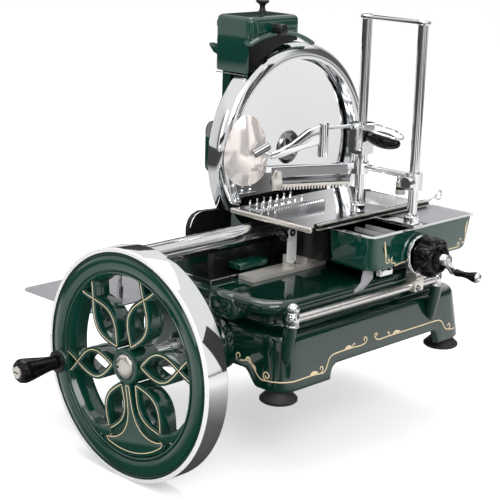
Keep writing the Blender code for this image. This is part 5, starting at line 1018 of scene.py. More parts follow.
def painted_line(points: Sequence[Point], normal: Point | Sequence[Point], width: float | Sequence[float],
                 closed: bool = False, lift: float = PAINT_LIFT) -> bmesh.types.BMesh:
    """Thin painted stripe along a path on a face.

    Args:
        points: centre line, on the face.
        normal: direction away from the face, or one for each point.
        width: width of the stripe, or one for each point.
        closed: whether the ends join.
        lift: height of the paint above the face.

    Returns:
        A closed mesh, standing from just under the face to its lift.
    """
    path = [Vector(p) for p in points]
    count = len(path)
    ups = [Vector(n).normalized() for n in normal] if isinstance(normal[0], (Vector, tuple)) else \
        [Vector(normal).normalized()] * count
    widths = list(width) if isinstance(width, (list, tuple)) else [width] * count
    bm = bmesh.new()
    rows = []
    for i, here in enumerate(path):
        before = path[(i - 1) % count] if closed else path[max(i - 1, 0)]
        after = path[(i + 1) % count] if closed else path[min(i + 1, count - 1)]
        up = ups[i]
        side = (after - before).cross(up)
        side = side.normalized() * widths[i] / 2 if side.length > 1e-9 else Vector((0.0, 0.0, 0.0))
        rows.append([bm.verts.new(here + side + up * h) for h in (-lift, lift)]
                    + [bm.verts.new(here - side + up * h) for h in (lift, -lift)])
    for i in range(count if closed else count - 1):
        one, two = rows[i], rows[(i + 1) % count]
        for k in range(4):
            bm.faces.new((one[k], one[(k + 1) % 4], two[(k + 1) % 4], two[k]))
    if not closed:
        bm.faces.new(rows[0])
        bm.faces.new(rows[-1][::-1])
    bmesh.ops.recalc_face_normals(bm, faces=bm.faces)
    return bm


class Scroll:
    """Hand-painted ornament: lines, leaves and curls in the plane of a face."""

    @staticmethod
    def smooth(points: Sequence[tuple[float, float]], steps: int = 6, closed: bool = False) -> list[tuple[float, float]]:
        """Rounded path through the given points.

        Args:
            points: points to pass through.
            steps: steps between each two.
            closed: whether the path closes.

        Returns:
            The finer path.
        """
        last = len(points) if closed else len(points) - 1
        path = []
        for i in range(last):
            quad = [Vector(points[(i + k) % len(points)] if closed else points[min(max(i + k, 0), len(points) - 1)])
                    for k in (-1, 0, 1, 2)]
            for step in range(steps):
                t = step / steps
                spot = 0.5 * (2 * quad[1] + (quad[2] - quad[0]) * t
                              + (2 * quad[0] - 5 * quad[1] + 4 * quad[2] - quad[3]) * t ** 2
                              + (3 * quad[1] - quad[0] - 3 * quad[2] + quad[3]) * t ** 3)
                path.append(tuple(spot))
        return path if closed else path + [tuple(points[-1])]

    @staticmethod
    def curl(centre: tuple[float, float], radius: float, start: float, turns: float,
             shrink: float = 0.75) -> list[tuple[float, float]]:
        """Spiral that winds inwards.

        Args:
            centre: middle of the spiral.
            radius: radius at its open end.
            start: angle of the open end, in degrees.
            turns: number of turns, negative for clockwise.
            shrink: share of the radius lost over the whole spiral.

        Returns:
            Points from the open end to the middle.
        """
        count = max(8, int(abs(turns) * 20))
        return [(centre[0] + radius * (1 - shrink * i / count) * math.cos(math.radians(start) + TURN * turns * i / count),
                 centre[1] + radius * (1 - shrink * i / count) * math.sin(math.radians(start) + TURN * turns * i / count))
                for i in range(count + 1)]

    @staticmethod
    def paint(strokes: Sequence[tuple[Sequence[tuple[float, float]], float]],
              skin: Callable[[float, float], tuple[Vector, Vector]]) -> bmesh.types.BMesh:
        """Lay strokes on a face.

        Args:
            strokes: pairs of path and width; a negative width swells in the middle like a leaf.
            skin: gives the point and the outward direction at a place on the face.

        Returns:
            One mesh with all strokes.
        """
        parts = []
        for path, width in strokes:
            spots = [skin(a, b) for a, b in path]
            count = len(path) - 1
            widths = [abs(width) if width > 0.0 else 0.0006 - width * math.sin(math.pi * i / count) ** 0.8
                      for i in range(count + 1)]
            parts.append(painted_line([spot for spot, _ in spots], [out for _, out in spots], widths))
        return Workshop.joined(parts)


@dataclass
class BaseCasting:
    """Cast base: thin skirt with arches, rounded ledge, waist and deck, with its gold lines."""

    low: float = 0.0225
    half_x: float = 0.236
    half_y: float = 0.159
    top_z: float = 0.102
    lean_x: float = 0.0085
    lean_y: float = 0.0105
    corner: float = 0.034
    wall: float = 0.007
    arch_z: float = 0.046
    body: str = "base"

    def arch(self, x: float, y: float, side: bool) -> float:
        """Height of the skirt's lower edge.

        Args:
            x: place along the front.
            y: place along the side.
            side: whether the point is on a side rather than the front or back.

        Returns:
            The height of the edge.
        """
        rise = self.arch_z - self.low
        if side:
            share = min(max((0.106 - abs(y)) / 0.030, 0.0), 1.0)
            return self.low + rise * share * share * (3.0 - 2.0 * share)
        left = min(max((x + 0.122) / 0.018, 0.0), 1.0)
        right = min(max((0.160 - x) / 0.010, 0.0), 1.0)
        share = min(left, right)
        return self.low + rise * math.sqrt(max(0.0, 1.0 - (1.0 - share) ** 2)) if share > 0.0 else self.low

    def ring(self, x0: float, x1: float, half_y: float, corner: float) -> list[tuple[float, float, float, float, bool]]:
        """Outline with fixed stations, so that all outlines can be joined.

        Args:
            x0: left side.
            x1: right side.
            half_y: half of the depth.
            corner: corner radius.

        Returns:
            (x, y, reference x, reference y, on a side) for each station.
        """
        along = [-0.202, -0.180, -0.150, -0.130, -0.1225, -0.1219, -0.1212, -0.119, -0.116, -0.112, -0.107, -0.103,
                 -0.08, -0.04, 0.0, 0.04, 0.08, 0.12, 0.143, 0.150, 0.153, 0.156, 0.158, 0.1593, 0.1598, 0.1603,
                 0.170, 0.185, 0.202]
        across = [-0.125, -0.118, -0.112, -0.106, -0.102, -0.098, -0.094, -0.091, -0.088, -0.084, -0.080, -0.076,
                  -0.06, -0.03]
        across = across + [0.0] + [-y for y in across[::-1]]
        places = []
        middle, flat = (x0 + x1) / 2.0, (x1 - x0) / 2.0 - corner
        for turn, stations, side in ((0, along, False), (1, across, True), (2, along, False), (3, across, True)):
            for value in stations[:-1]:
                if turn == 0:
                    places.append((middle + flat * value / 0.202, -half_y, value, 0.0, False))
                elif turn == 1:
                    places.append((x1, (half_y - corner) * value / 0.125, 0.0, value, True))
                elif turn == 2:
                    places.append((middle - flat * value / 0.202, half_y, -value, 0.0, False))
                else:
                    places.append((x0, -(half_y - corner) * value / 0.125, 0.0, -value, True))
            cx = x1 - corner if turn in (0, 1) else x0 + corner
            cy = (half_y - corner) * (1 if turn in (1, 2) else -1)
            for i in range(9):
                angle = TURN * (turn - 1) / 4.0 + TURN / 4.0 * i / 9.0
                places.append((cx + corner * math.cos(angle), cy + corner * math.sin(angle), 9.0, 9.0, side))
        return places

    def skirt(self, share: float, inset: float) -> list[Vector]:
        """One ring of the skirt, following the arches.

        Args:
            share: height between the lower edge and the top.
            inset: distance by which the ring is drawn in.

        Returns:
            The points of the ring.
        """
        points = []
        for x, y, ref_x, ref_y, side in self.ring(-self.half_x, self.half_x, self.half_y, self.corner):
            base = self.arch(ref_x, ref_y, side) if ref_x < 9.0 else self.low
            height = base + (self.top_z - base) * share
            lean = (height - self.low) / (self.top_z - self.low)
            pull_x, pull_y = inset + self.lean_x * lean, inset + self.lean_y * lean
            points.append(Vector((x * (1 - pull_x / self.half_x), y * (1 - pull_y / self.half_y), height)))
        return points

    def levels(self) -> list[list[Vector]]:
        """Rings above the skirt, from its shoulder to the top of the deck."""
        rows = []
        shoulder = ((0.1055, 0.2267, 0.1478, 0.034), (0.1088, 0.2247, 0.1458, 0.034), (0.1106, 0.2212, 0.1425, 0.034),
                    (0.1112, 0.2160, 0.1372, 0.034), (0.1118, 0.2112, 0.1340, 0.034), (0.1140, 0.2080, 0.1320, 0.036),
                    (0.1190, 0.2064, 0.1305, 0.038), (0.1270, 0.2060, 0.1300, 0.040))
        for z, half_x, half_y, corner in shoulder:
            rows.append((z, -half_x, half_x, half_y, corner))
        deck = ((0.1340, 0.2090, 0.1315), (0.1390, 0.2180, 0.1345), (0.1425, 0.2300, 0.1390), (0.1450, 0.2420, 0.1440),
                (0.1480, 0.2515, 0.1485), (0.1525, 0.2568, 0.1512), (0.1575, 0.2580, 0.1520), (0.1625, 0.2574, 0.1515),
                (0.1662, 0.2548, 0.1495), (0.1684, 0.2505, 0.1460), (0.1690, 0.2450, 0.1420))
        for z, half_x, half_y in deck:
            cut = 0.030 * min(1.0, (half_x - 0.206) / 0.040)
            rows.append((z, -half_x, half_x - cut, half_y, 0.048))
        return [[Vector((x, y, z)) for x, y, _, _, _ in self.ring(x0, x1, half_y, corner)]
                for z, x0, x1, half_y, corner in rows]

    def casting(self) -> None:
        """Loft the casting, with its pilasters, shaft boss and bulge."""
        rows = [self.skirt(0.0, self.wall + 0.001), self.skirt(0.0, 0.0015), self.skirt(0.03, 0.0003)]
        rows += [self.skirt(share, 0.0) for share in (0.06, 0.3, 0.55, 0.8, 0.96)] + self.levels()
        hollow = [[Vector((x, y, z)) for x, y, _, _, _ in self.ring(-0.194, 0.194, 0.119, 0.017)]
                  for z in (0.1520, 0.0990)]
        inside = hollow + [self.skirt(share, self.wall) for share in (0.95, 0.5)]
        bm = bmesh.new()
        grid = [[bm.verts.new(spot) for spot in row] for row in inside + rows]
        for low, high in zip(grid, grid[1:]):
            for i in range(len(low)):
                bm.faces.new((low[i], low[(i + 1) % len(low)], high[(i + 1) % len(low)], high[i]))
        bm.faces.new(grid[0][::-1])
        bm.faces.new(grid[-1])
        bmesh.ops.recalc_face_normals(bm, faces=bm.faces)
        parts = [bm, Workshop.block((-0.0400, -0.0240, 0.0450), (-0.0120, 0.0240, 0.1580))]
        for x in (-0.2290, 0.1340):
            parts.append(self.pilaster(x))
        boss = [(0.0, -0.2985), (0.0295, -0.2985), (0.0325, -0.2972), (0.0340, -0.2940), (0.0340, -0.2480),
                (0.0355, -0.2400), (0.0400, -0.2345), (0.0480, -0.2315), (0.0480, -0.2200), (0.0, -0.2200)]
        parts.append(Workshop.lathe([(r, x) for r, x in boss], (0.0, 0.0, 0.070), (1, 0, 0), steps=48))
        bulge = Workshop.block((-0.2640, -0.0760, 0.1250), (-0.2100, -0.0140, 0.1686))
        parts.append(Workshop.softened(bulge, 0.0150, 5))
        # The base wears the darker copy of the green enamel: painted shade.
        Workshop.deliver(Workshop.joined(parts), "base_enamel_painted_shade", self.body, Slot.GREEN, Shading.SOFT,
                         SHADED_BASE_GREEN, ("base_casting",))

    def pilaster(self, x: float) -> bmesh.types.BMesh:
        """Rib that carries a post of the front rod.

        Args:
            x: its place along the front.

        Returns:
            A closed mesh.
        """
        sections = ((0.1342, 0.1655, 0.0102), (0.1180, 0.1635, 0.0102), (0.1000, 0.1595, 0.0096),
                    (0.0820, 0.1565, 0.0078), (0.0735, 0.1550, 0.0048), (0.0665, 0.1540, 0.0012))
        bm = bmesh.new()
        rows = [[bm.verts.new((x + (0.0102 - radius) * 0.9 + px, -y + py, z)) for px, py in ring_points(radius, 24)]
                for z, y, radius in sections]
        for low, high in zip(rows, rows[1:]):
            for i in range(24):
                bm.faces.new((low[i], low[(i + 1) % 24], high[(i + 1) % 24], high[i]))
        bm.faces.new(rows[0])
        bm.faces.new(rows[-1])
        bmesh.ops.recalc_face_normals(bm, faces=bm.faces)
        return bm

    def skin(self, along: float, height: float) -> tuple[Vector, Vector]:
        """Place on the skirt, unrolled round the front left corner.

        Args:
            along: distance along the skirt from the middle of that corner; the left side is negative.
            height: height above the feet's plane.

        Returns:
            The point and the outward direction.
        """
        lean = (height - self.low) / (self.top_z - self.low)
        x0 = -self.half_x + self.lean_x * lean
        y0 = -self.half_y + self.lean_y * lean
        arc = self.corner * TURN / 8.0
        if along < -arc:
            return Vector((x0, y0 + self.corner - arc - along, height)), Vector((-1.0, 0.0, 0.107))
        if along > arc:
            x = x0 + self.corner + along - arc
            far = -x0 - self.corner
            if x > far:
                angle = min((x - far) / self.corner, TURN / 4.0)
                out = Vector((math.sin(angle), -math.cos(angle), 0.13))
                centre = Vector((far, y0 + self.corner, height))
                return centre + Vector((math.sin(angle), -math.cos(angle), 0.0)) * self.corner, out
            return Vector((x, y0, height)), Vector((0.0, -1.0, 0.132))
        angle = along / self.corner - TURN / 8.0
        out = Vector((math.sin(angle), -math.cos(angle), 0.0))
        return Vector((x0 + self.corner, y0 + self.corner, height)) + out * self.corner, out + Vector((0, 0, 0.12))

    def lines(self) -> None:
        """Gold line and scrolls along the lower edge."""
        front = lambda points: [(x + 0.202 + 0.0267, z) for x, z in points]
        left = lambda points: [(-0.0267 - (y + 0.125), z) for y, z in points]
        width = 0.0019
        lower = left([(-0.0690, 0.0560), (-0.0760, 0.0570), (-0.0850, 0.0590), (-0.0925, 0.0560), (-0.0985, 0.0510),
                      (-0.1050, 0.0440), (-0.1110, 0.0390), (-0.1180, 0.0370), (-0.1250, 0.0380)])
        lower += [(-0.010, 0.0385), (0.010, 0.0388)]
        lower += front([(-0.205, 0.0388), (-0.185, 0.0390), (-0.165, 0.0390), (-0.1500, 0.0380), (-0.1400, 0.0375),
                        (-0.1340, 0.0410), (-0.1300, 0.0490), (-0.1255, 0.0570), (-0.1180, 0.0610), (-0.1050, 0.0622),
                        (-0.0850, 0.0625), (-0.0650, 0.0622), (-0.0480, 0.0615), (-0.0360, 0.0635)])
        strokes = [(Scroll.smooth(lower), width),
                   (front(Scroll.curl((-0.0385, 0.0690), 0.0058, -65.0, 0.85)), width),
                   (front(Scroll.curl((-0.1455, 0.0450), 0.0060, -90.0, 0.80)), width),
                   (front(Scroll.smooth([(-0.1720, 0.0392), (-0.1630, 0.0425), (-0.1520, 0.0405)])), -0.0042),
                   (front(Scroll.curl((-0.0650, 0.0658), 0.0048, -80.0, -0.70)), width),
                   (front(Scroll.smooth([(-0.0890, 0.0628), (-0.0800, 0.0660), (-0.0700, 0.0632)])), -0.0036)]
        upper = [(-0.0130, 0.0690), (-0.0090, 0.0640), (-0.0010, 0.0618), (0.0100, 0.0620), (0.0300, 0.0622),
                 (0.0700, 0.0622), (0.1100, 0.0622), (0.1450, 0.0622), (0.1600, 0.0612), (0.1690, 0.0570),
                 (0.1745, 0.0490), (0.1800, 0.0430), (0.1900, 0.0400), (0.2050, 0.0390)]
        strokes += [(Scroll.smooth(front(upper)), width),
                    (front(Scroll.curl((-0.0095, 0.0705), 0.0042, -160.0, -0.75)), width),
                    (front(Scroll.curl((0.0210, 0.0668), 0.0048, -100.0, 0.70)), width),
                    (front(Scroll.smooth([(0.0330, 0.0628), (0.0430, 0.0660), (0.0560, 0.0628)])), -0.0036),
                    (front(Scroll.curl((0.1880, 0.0470), 0.0062, -110.0, 0.85)), width),
                    (left(Scroll.curl((-0.0660, 0.0620), 0.0065, -60.0, 0.85)), width),
                    (left(Scroll.smooth([(-0.0800, 0.0580), (-0.0870, 0.0640), (-0.0940, 0.0570)])), -0.0036),
                    (left(Scroll.smooth([(-0.0930, 0.0560), (-0.1000, 0.0530), (-0.1040, 0.0460)])), -0.0036),
                    (left(Scroll.curl((-0.1270, 0.0455), 0.0075, -70.0, 1.25)), width)]
        Workshop.deliver(Scroll.paint(strokes, self.skin), "base_gold_lines", self.body, Slot.GREEN, Shading.FLAT, GOLD)

    def build(self) -> None:
        """Build the base and its lines."""
        self.casting()
        self.lines()


@dataclass
class CarriageBox:
    """Enamelled trough of the carriage, with its bright lip and gold scrolls."""

    x0: float = -0.060
    x1: float = 0.211
    y0: float = -0.180
    y1: float = -0.080
    low: float = 0.189
    top: float = 0.2455
    body: str = "carriage"

    def outline(self, z: float, pulls: tuple[float, float, float], corner: float) -> list[Vector]:
        """Ring of the trough.

        Args:
            z: height.
            pulls: distances drawn in on the left, on the right and at the front.
            corner: corner radius.

        Returns:
            Points of the ring.
        """
        left, right, front = pulls
        return [Vector((x, y, z)) for x, y in rounded_box(self.x0 + left, self.x1 - right, self.y0 + front,
                                                          self.y1 - min(front, 0.001), corner, 8)]

    def shell(self) -> None:
        """Loft the trough."""
        rows = [self.outline(0.1945, (0.012, 0.020, 0.012), 0.006), self.outline(0.2000, (0.0075, 0.012, 0.008), 0.010),
                self.outline(self.top, (0.006, 0.006, 0.006), 0.010),
                self.outline(self.top, (0.0012, 0.0012, 0.0012), 0.014),
                self.outline(0.2300, (0.0014, 0.0030, 0.0014), 0.016), self.outline(0.2100, (0.0018, 0.0060, 0.0018), 0.018),
                self.outline(0.1985, (0.0022, 0.0078, 0.0022), 0.020), self.outline(0.1935, (0.0032, 0.0090, 0.0032), 0.020),
                self.outline(0.1903, (0.0056, 0.0114, 0.0056), 0.020), self.outline(self.low, (0.0092, 0.0150, 0.0092), 0.020)]
        bm = bmesh.new()
        grid = [[bm.verts.new(spot) for spot in row] for row in rows]
        for low, high in zip(grid, grid[1:]):
            for i in range(len(low)):
                bm.faces.new((low[i], low[(i + 1) % len(low)], high[(i + 1) % len(low)], high[i]))
        bm.faces.new(grid[0])
        bm.faces.new(grid[-1])
        bmesh.ops.recalc_face_normals(bm, faces=bm.faces)
        Workshop.deliver(bm, "carriage_enamel", self.body, Slot.GREEN, Shading.SOFT, replaces=("carriage_box",))

    def lines(self) -> None:
        """Gold scrolls on the front face."""
        def skin(x: float, z: float) -> tuple[Vector, Vector]:
            lean = min(max((self.top - z) / 0.047, 0.0), 1.0)
            return Vector((x, self.y0 + 0.0012 + 0.0010 * lean, z)), Vector((0.0, -1.0, 0.0))
        width = 0.0015
        strokes = [(Scroll.smooth([(-0.0285, 0.2385), (-0.0262, 0.2270), (-0.0235, 0.2160), (-0.0225, 0.2080)]), -0.0030),
                   (Scroll.smooth([(-0.0235, 0.2160), (-0.0225, 0.2070), (-0.0212, 0.2020), (-0.0170, 0.2005)]), width),
                   (Scroll.curl((-0.0160, 0.2045), 0.0042, -100.0, 0.75), width),
                   (Scroll.curl((-0.0062, 0.2055), 0.0030, 80.0, 0.60), width),
                   (Scroll.smooth([(-0.0090, 0.2050), (-0.0078, 0.2000), (-0.0010, 0.1975), (0.0040, 0.1945),
                                   (0.0020, 0.1925), (0.0200, 0.1950), (0.0800, 0.1962), (0.1400, 0.1965),
                                   (0.1670, 0.1965), (0.1740, 0.1985)]), width),
                   (Scroll.curl((0.1705, 0.2015), 0.0040, -40.0, 0.80), width),
                   (Scroll.curl((0.1770, 0.2085), 0.0026, -150.0, -0.70), width),
                   (Scroll.curl((0.1845, 0.2050), 0.0040, -170.0, 0.50, 0.2), width),
                   (Scroll.smooth([(0.1885, 0.2060), (0.1898, 0.2130), (0.1902, 0.2200)]), width),
                   (Scroll.smooth([(0.1898, 0.2120), (0.1895, 0.2250), (0.1925, 0.2390)]), -0.0030)]
        Workshop.deliver(Scroll.paint(strokes, skin), "carriage_gold_lines", self.body, Slot.GREEN, Shading.FLAT, GOLD)

    def build(self) -> None:
        """Build the trough and its scrolls."""
        self.shell()
        self.lines()


@dataclass
class BladeSet:
    """Blade with its nut, and the polished ring guard round it."""

    radius: float = 0.163
    guard_r: float = 0.187
    start: float = math.radians(-38.0)
    span: float = math.radians(247.0)

    def blade_finish(self) -> bpy.types.Material:
        """Polished steel that mirrors like a hollow-ground disc."""
        mat = Finish("hollow_ground_steel", (0.90, 0.90, 0.91), (0.94, 0.94, 0.95), (0.05, 0.08), metallic=1.0,
                     cloud=5.0).build()
        tree = mat.node_tree
        place = tree.nodes.new("ShaderNodeTexCoord")
        offset = tree.nodes.new("ShaderNodeVectorMath")
        offset.operation = "SUBTRACT"
        offset.inputs[1].default_value = BLADE_CENTRE
        tree.links.new(place.outputs["Object"], offset.inputs[0])
        span = tree.nodes.new("ShaderNodeVectorMath")
        span.operation = "LENGTH"
        tree.links.new(offset.outputs[0], span.inputs[0])
        square = math_node(tree, "MULTIPLY", span.outputs["Value"], span.outputs["Value"])
        relief = tree.nodes.new("ShaderNodeBump")
        relief.inputs["Strength"].default_value = 1.0
        relief.inputs["Distance"].default_value = 0.03
        tree.links.new(square, relief.inputs["Height"])
        tree.links.new(relief.outputs["Normal"], tree.nodes["Principled BSDF"].inputs["Normal"])
        return mat

    def disc(self) -> None:
        """Blade disc with its ground bevel, and the domed nut."""
        y0, half = BLADE_CENTRE.y - 0.003, 0.003
        disc = [(0.0, 0.0026), (0.040, 0.0024), (0.1500, 0.0006), (0.1532, 0.0), (0.1624, 0.0044), (0.1630, 0.0050),
                (0.1624, 0.0054), (0.1500, 0.0060), (0.0, 0.0060)]
        Workshop.deliver(Workshop.lathe(disc, (BLADE_CENTRE.x, y0, BLADE_CENTRE.z), (0, 1, 0), 160), "blade_ground",
                         "blade_set", Slot.STEEL, Shading.CRISP, self.blade_finish(), ("blade",))
        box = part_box("blade_nut")
        front, back = box[0][1], box[1][1]
        deep = back - front
        nut = [(0.0, 0.0), (0.008, deep * 0.02), (0.016, deep * 0.12), (0.0235, deep * 0.36), (0.0265, deep * 0.62),
               (0.0270, deep * 0.70), (0.0290, deep * 0.74), (0.0300, deep * 0.82), (0.0300, deep * 0.96),
               (0.0292, deep), (0.0, deep)]
        Workshop.deliver(Workshop.lathe(nut, (BLADE_CENTRE.x, front, BLADE_CENTRE.z), (0, 1, 0), 72), "blade_nut_domed",
                         "blade_set", Slot.DARK, Shading.SOFT, replaces=("blade_nut",))

    def guard(self) -> None:
        """Rolled ring guard, open at its foot."""
        wall = 0.0032
        outer = [(0.1562, 0.0970), (0.1560, 0.0945), (0.1568, 0.0930), (0.1585, 0.0925), (0.1655, 0.0925)]
        outer += [(0.1655 + 0.018 * math.sin(a), 0.1105 - 0.018 * math.cos(a))
                  for a in (TURN / 4 * i / 10 for i in range(1, 11))]
        outer += [(0.1835, 0.1275), (0.1827, 0.1300), (0.1810, 0.1310), (0.1700, 0.1310)]
        inner = [(0.1700, 0.1310 - wall), (0.1800, 0.1310 - wall), (0.1803, 0.1105)]
        inner += [(0.1655 + (0.018 - wall) * math.sin(a), 0.1105 - (0.018 - wall) * math.cos(a))
                  for a in (TURN / 4 * (9 - i) / 10 for i in range(1, 9))]
        inner += [(0.1610, 0.0957), (0.1596, 0.0970)]
        section = outer + inner
        steps = 120
        bm = bmesh.new()
        rows = []
        for i in range(steps + 1):
            angle = self.start + self.span * i / steps
            rows.append([bm.verts.new((BLADE_CENTRE.x + r * math.cos(angle), y, BLADE_CENTRE.z + r * math.sin(angle)))
                         for r, y in section])
        for one, two in zip(rows, rows[1:]):
            for k in range(len(section)):
                bm.faces.new((one[k], one[(k + 1) % len(section)], two[(k + 1) % len(section)], two[k]))
        bm.faces.new(rows[0])
        bm.faces.new(rows[-1])
        bmesh.ops.recalc_face_normals(bm, faces=bm.faces)
        Workshop.deliver(bm, "blade_guard_polished", "base", Slot.CHROME, Shading.CRISP, replaces=("blade_guard",))

    def build(self) -> None:
        """Build the blade and its guard."""
        self.disc()
        self.guard()


@dataclass
class Hood:
    """Sharpener hood with its panel, arched lip, bright edge and black knobs."""

    low: Point = (-0.072, 0.090, 0.4710)
    high: Point = (0.047, 0.1735, 0.568)
    clear: float = 0.1905
    wall: float = 0.0045
    body: str = "sharpener"

    def ring(self, share: float, inset: float, top: float) -> list[Vector]:
        """Ring of the hood between its lower edge and a height.

        Args:
            share: height between the lower edge and the top.
            inset: distance by which the ring is drawn in.
            top: height of the uppermost ring.

        Returns:
            Points of the ring.
        """
        outline = rounded_box(self.low[0] + inset, self.high[0] - inset, self.low[1] + inset, self.high[1] - inset,
                              max(0.009 - inset, 0.002), 6)
        points = []
        for one, two in zip(outline, outline[1:] + outline[:1]):
            cuts = 14 if math.dist(one, two) > 0.02 else 1
            points += [(one[0] + (two[0] - one[0]) * i / cuts, one[1] + (two[1] - one[1]) * i / cuts)
                       for i in range(cuts)]
        rows = []
        for x, y in points:
            reach = math.sqrt(max(self.clear ** 2 - (x - BLADE_CENTRE.x) ** 2, 0.0))
            base = max(self.low[2], BLADE_CENTRE.z + reach)
            if y < self.low[1] + inset + 0.0030:
                base = max(base, 0.368 + math.sqrt(max(0.1737 ** 2 - (x + 0.009) ** 2, 0.0)))
            rows.append(Vector((x, y, base + (top - base) * share)))
        return rows

    def shell(self) -> None:
        """Loft the hood."""
        z1 = self.high[2]
        rows = [self.ring(1.0, self.wall, z1 - self.wall), self.ring(0.0, self.wall, z1), self.ring(0.0, 0.0008, z1),
                self.ring(0.02, 0.0, z1), self.ring(0.5, 0.0, z1 - 0.009), self.ring(1.0, 0.0, z1 - 0.009),
                self.ring(1.0, 0.0007, z1 - 0.0055), self.ring(1.0, 0.0026, z1 - 0.0026),
                self.ring(1.0, 0.0055, z1 - 0.0007), self.ring(1.0, 0.0085, z1)]
        bm = bmesh.new()
        grid = [[bm.verts.new(spot) for spot in row] for row in rows]
        for low, high in zip(grid, grid[1:]):
            for i in range(len(low)):
                bm.faces.new((low[i], low[(i + 1) % len(low)], high[(i + 1) % len(low)], high[i]))
        bm.faces.new(grid[0])
        bm.faces.new(grid[-1])
        bmesh.ops.recalc_face_normals(bm, faces=bm.faces)
        parts = [bm]
        for x0, x1 in ((-0.060, -0.028), (0.024, 0.038)):
            parts.append(Workshop.softened(Workshop.block((x0, self.high[1] - 0.002, 0.545), (x1, 0.184, 0.557)),
                                           0.003, 3))
        hook = [(0.170, 0.500), (0.179, 0.503), (0.1885, 0.513), (0.1900, 0.5165), (0.1870, 0.5180), (0.1790, 0.5170),
                (0.170, 0.519)]
        parts.append(Workshop.softened(Workshop.slab(hook, (-0.0705, 0, 0), (0, 1, 0), (0, 0, 1), (0.009, 0, 0)),
                                       0.0010, 2))
        panel = Workshop.block((-0.052, 0.0884, 0.5400), (0.037, 0.0910, 0.5600))
        parts.append(Workshop.softened(panel, 0.0015, 3))
        Workshop.deliver(Workshop.joined(parts), "hood_enamel", self.body, Slot.GREEN, Shading.SOFT,
                         replaces=("sharpener_hood",))

    def lip(self) -> None:
        """Arched flange over the ring guard, and the bright strip at the left edge."""
        bm = bmesh.new()
        rows = []
        for i in range(33):
            angle = math.radians(114.0 - 53.5 * i / 32)
            rows.append([bm.verts.new((-0.009 + r * math.cos(angle), y, 0.368 + r * math.sin(angle)))
                         for r, y in ((0.1700, 0.0960), (0.1690, 0.0860), (0.1700, 0.0815), (0.1740, 0.0810),
                                      (0.1762, 0.0840), (0.1766, 0.0960))])
        for one, two in zip(rows, rows[1:]):
            for k in range(6):
                bm.faces.new((one[k], one[(k + 1) % 6], two[(k + 1) % 6], two[k]))
        bm.faces.new(rows[0])
        bm.faces.new(rows[-1])
        bmesh.ops.recalc_face_normals(bm, faces=bm.faces)
        Workshop.deliver(bm, "hood_lip", self.body, Slot.GREEN, Shading.CRISP)
        strip = Workshop.block((-0.0728, 0.0960, 0.4712), (-0.0716, 0.1690, 0.4726))
        Workshop.deliver(strip, "hood_bright_edge", self.body, Slot.CREAM, Shading.FLAT)

    def inside(self) -> None:
        """Dark wall behind the arched opening, and the front stone behind it."""
        arch = [(BLADE_CENTRE.x + self.clear * math.cos(a), BLADE_CENTRE.z + self.clear * math.sin(a))
                for a in (math.radians(94.0 + 38.5 * i / 20) for i in range(21))]
        outline = arch + [(-0.0712, 0.5000), (-0.0700, 0.5450), (0.0410, 0.5450)]
        wall = Workshop.slab(outline, (0.0, 0.0930, 0.0), (1, 0, 0), (0, 0, 1), (0.0, 0.0010, 0.0))
        Workshop.deliver(wall, "hood_inner_wall", self.body, Slot.BLACK, Shading.FLAT)
        low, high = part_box("stone_front")
        stone = [(0.0, 0.0), (0.0155, 0.0), (0.0168, 0.0012), (0.0168, 0.0085), (0.0155, 0.0097), (0.0, 0.0097)]
        centre = ((low[0] + high[0]) / 2.0, 0.0952, (low[2] + high[2]) / 2.0)
        Workshop.deliver(Workshop.lathe(stone, centre, (0, 1, 0), 48), "stone_front_wheel", "front_stone", Slot.STONE,
                         Shading.CRISP, replaces=("stone_front",))

    def knobs(self) -> None:
        """Black stone knob on the front and black spool on the top."""
        knob = Workshop.lathe([(0.0, 0.0), (0.0070, 0.0), (0.0090, 0.0012), (0.0098, 0.0035), (0.0098, 0.0120),
                               (0.0080, 0.0150), (0.0072, 0.0240), (0.0, 0.0240)], (-0.0180, 0.0640, 0.5480), (0, 1, 0), 40)
        Workshop.deliver(knob, "stone_knob_black", self.body, Slot.BLACK_METAL, Shading.SOFT)
        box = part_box("lock_knob")
        middle = ((box[0][0] + box[1][0]) / 2.0, (box[0][1] + box[1][1]) / 2.0, box[1][2])
        spool = [(0.0, 0.0), (0.0105, 0.0), (0.0115, 0.0008), (0.0115, 0.0028), (0.0100, 0.0042), (0.0060, 0.0070),
                 (0.0046, 0.0100), (0.0046, 0.0140), (0.0062, 0.0180), (0.0090, 0.0215), (0.0098, 0.0235),
                 (0.0, 0.0235)]
        Workshop.deliver(Workshop.lathe(spool, middle, (0, 0, -1), 48), "lock_spool", "sharpener_knob", Slot.BLACK_METAL,
                         Shading.SOFT, replaces=("lock_knob",))

    def build(self) -> None:
        """Build the hood and its fittings."""
        self.shell()
        self.lip()
        self.inside()
        self.knobs()


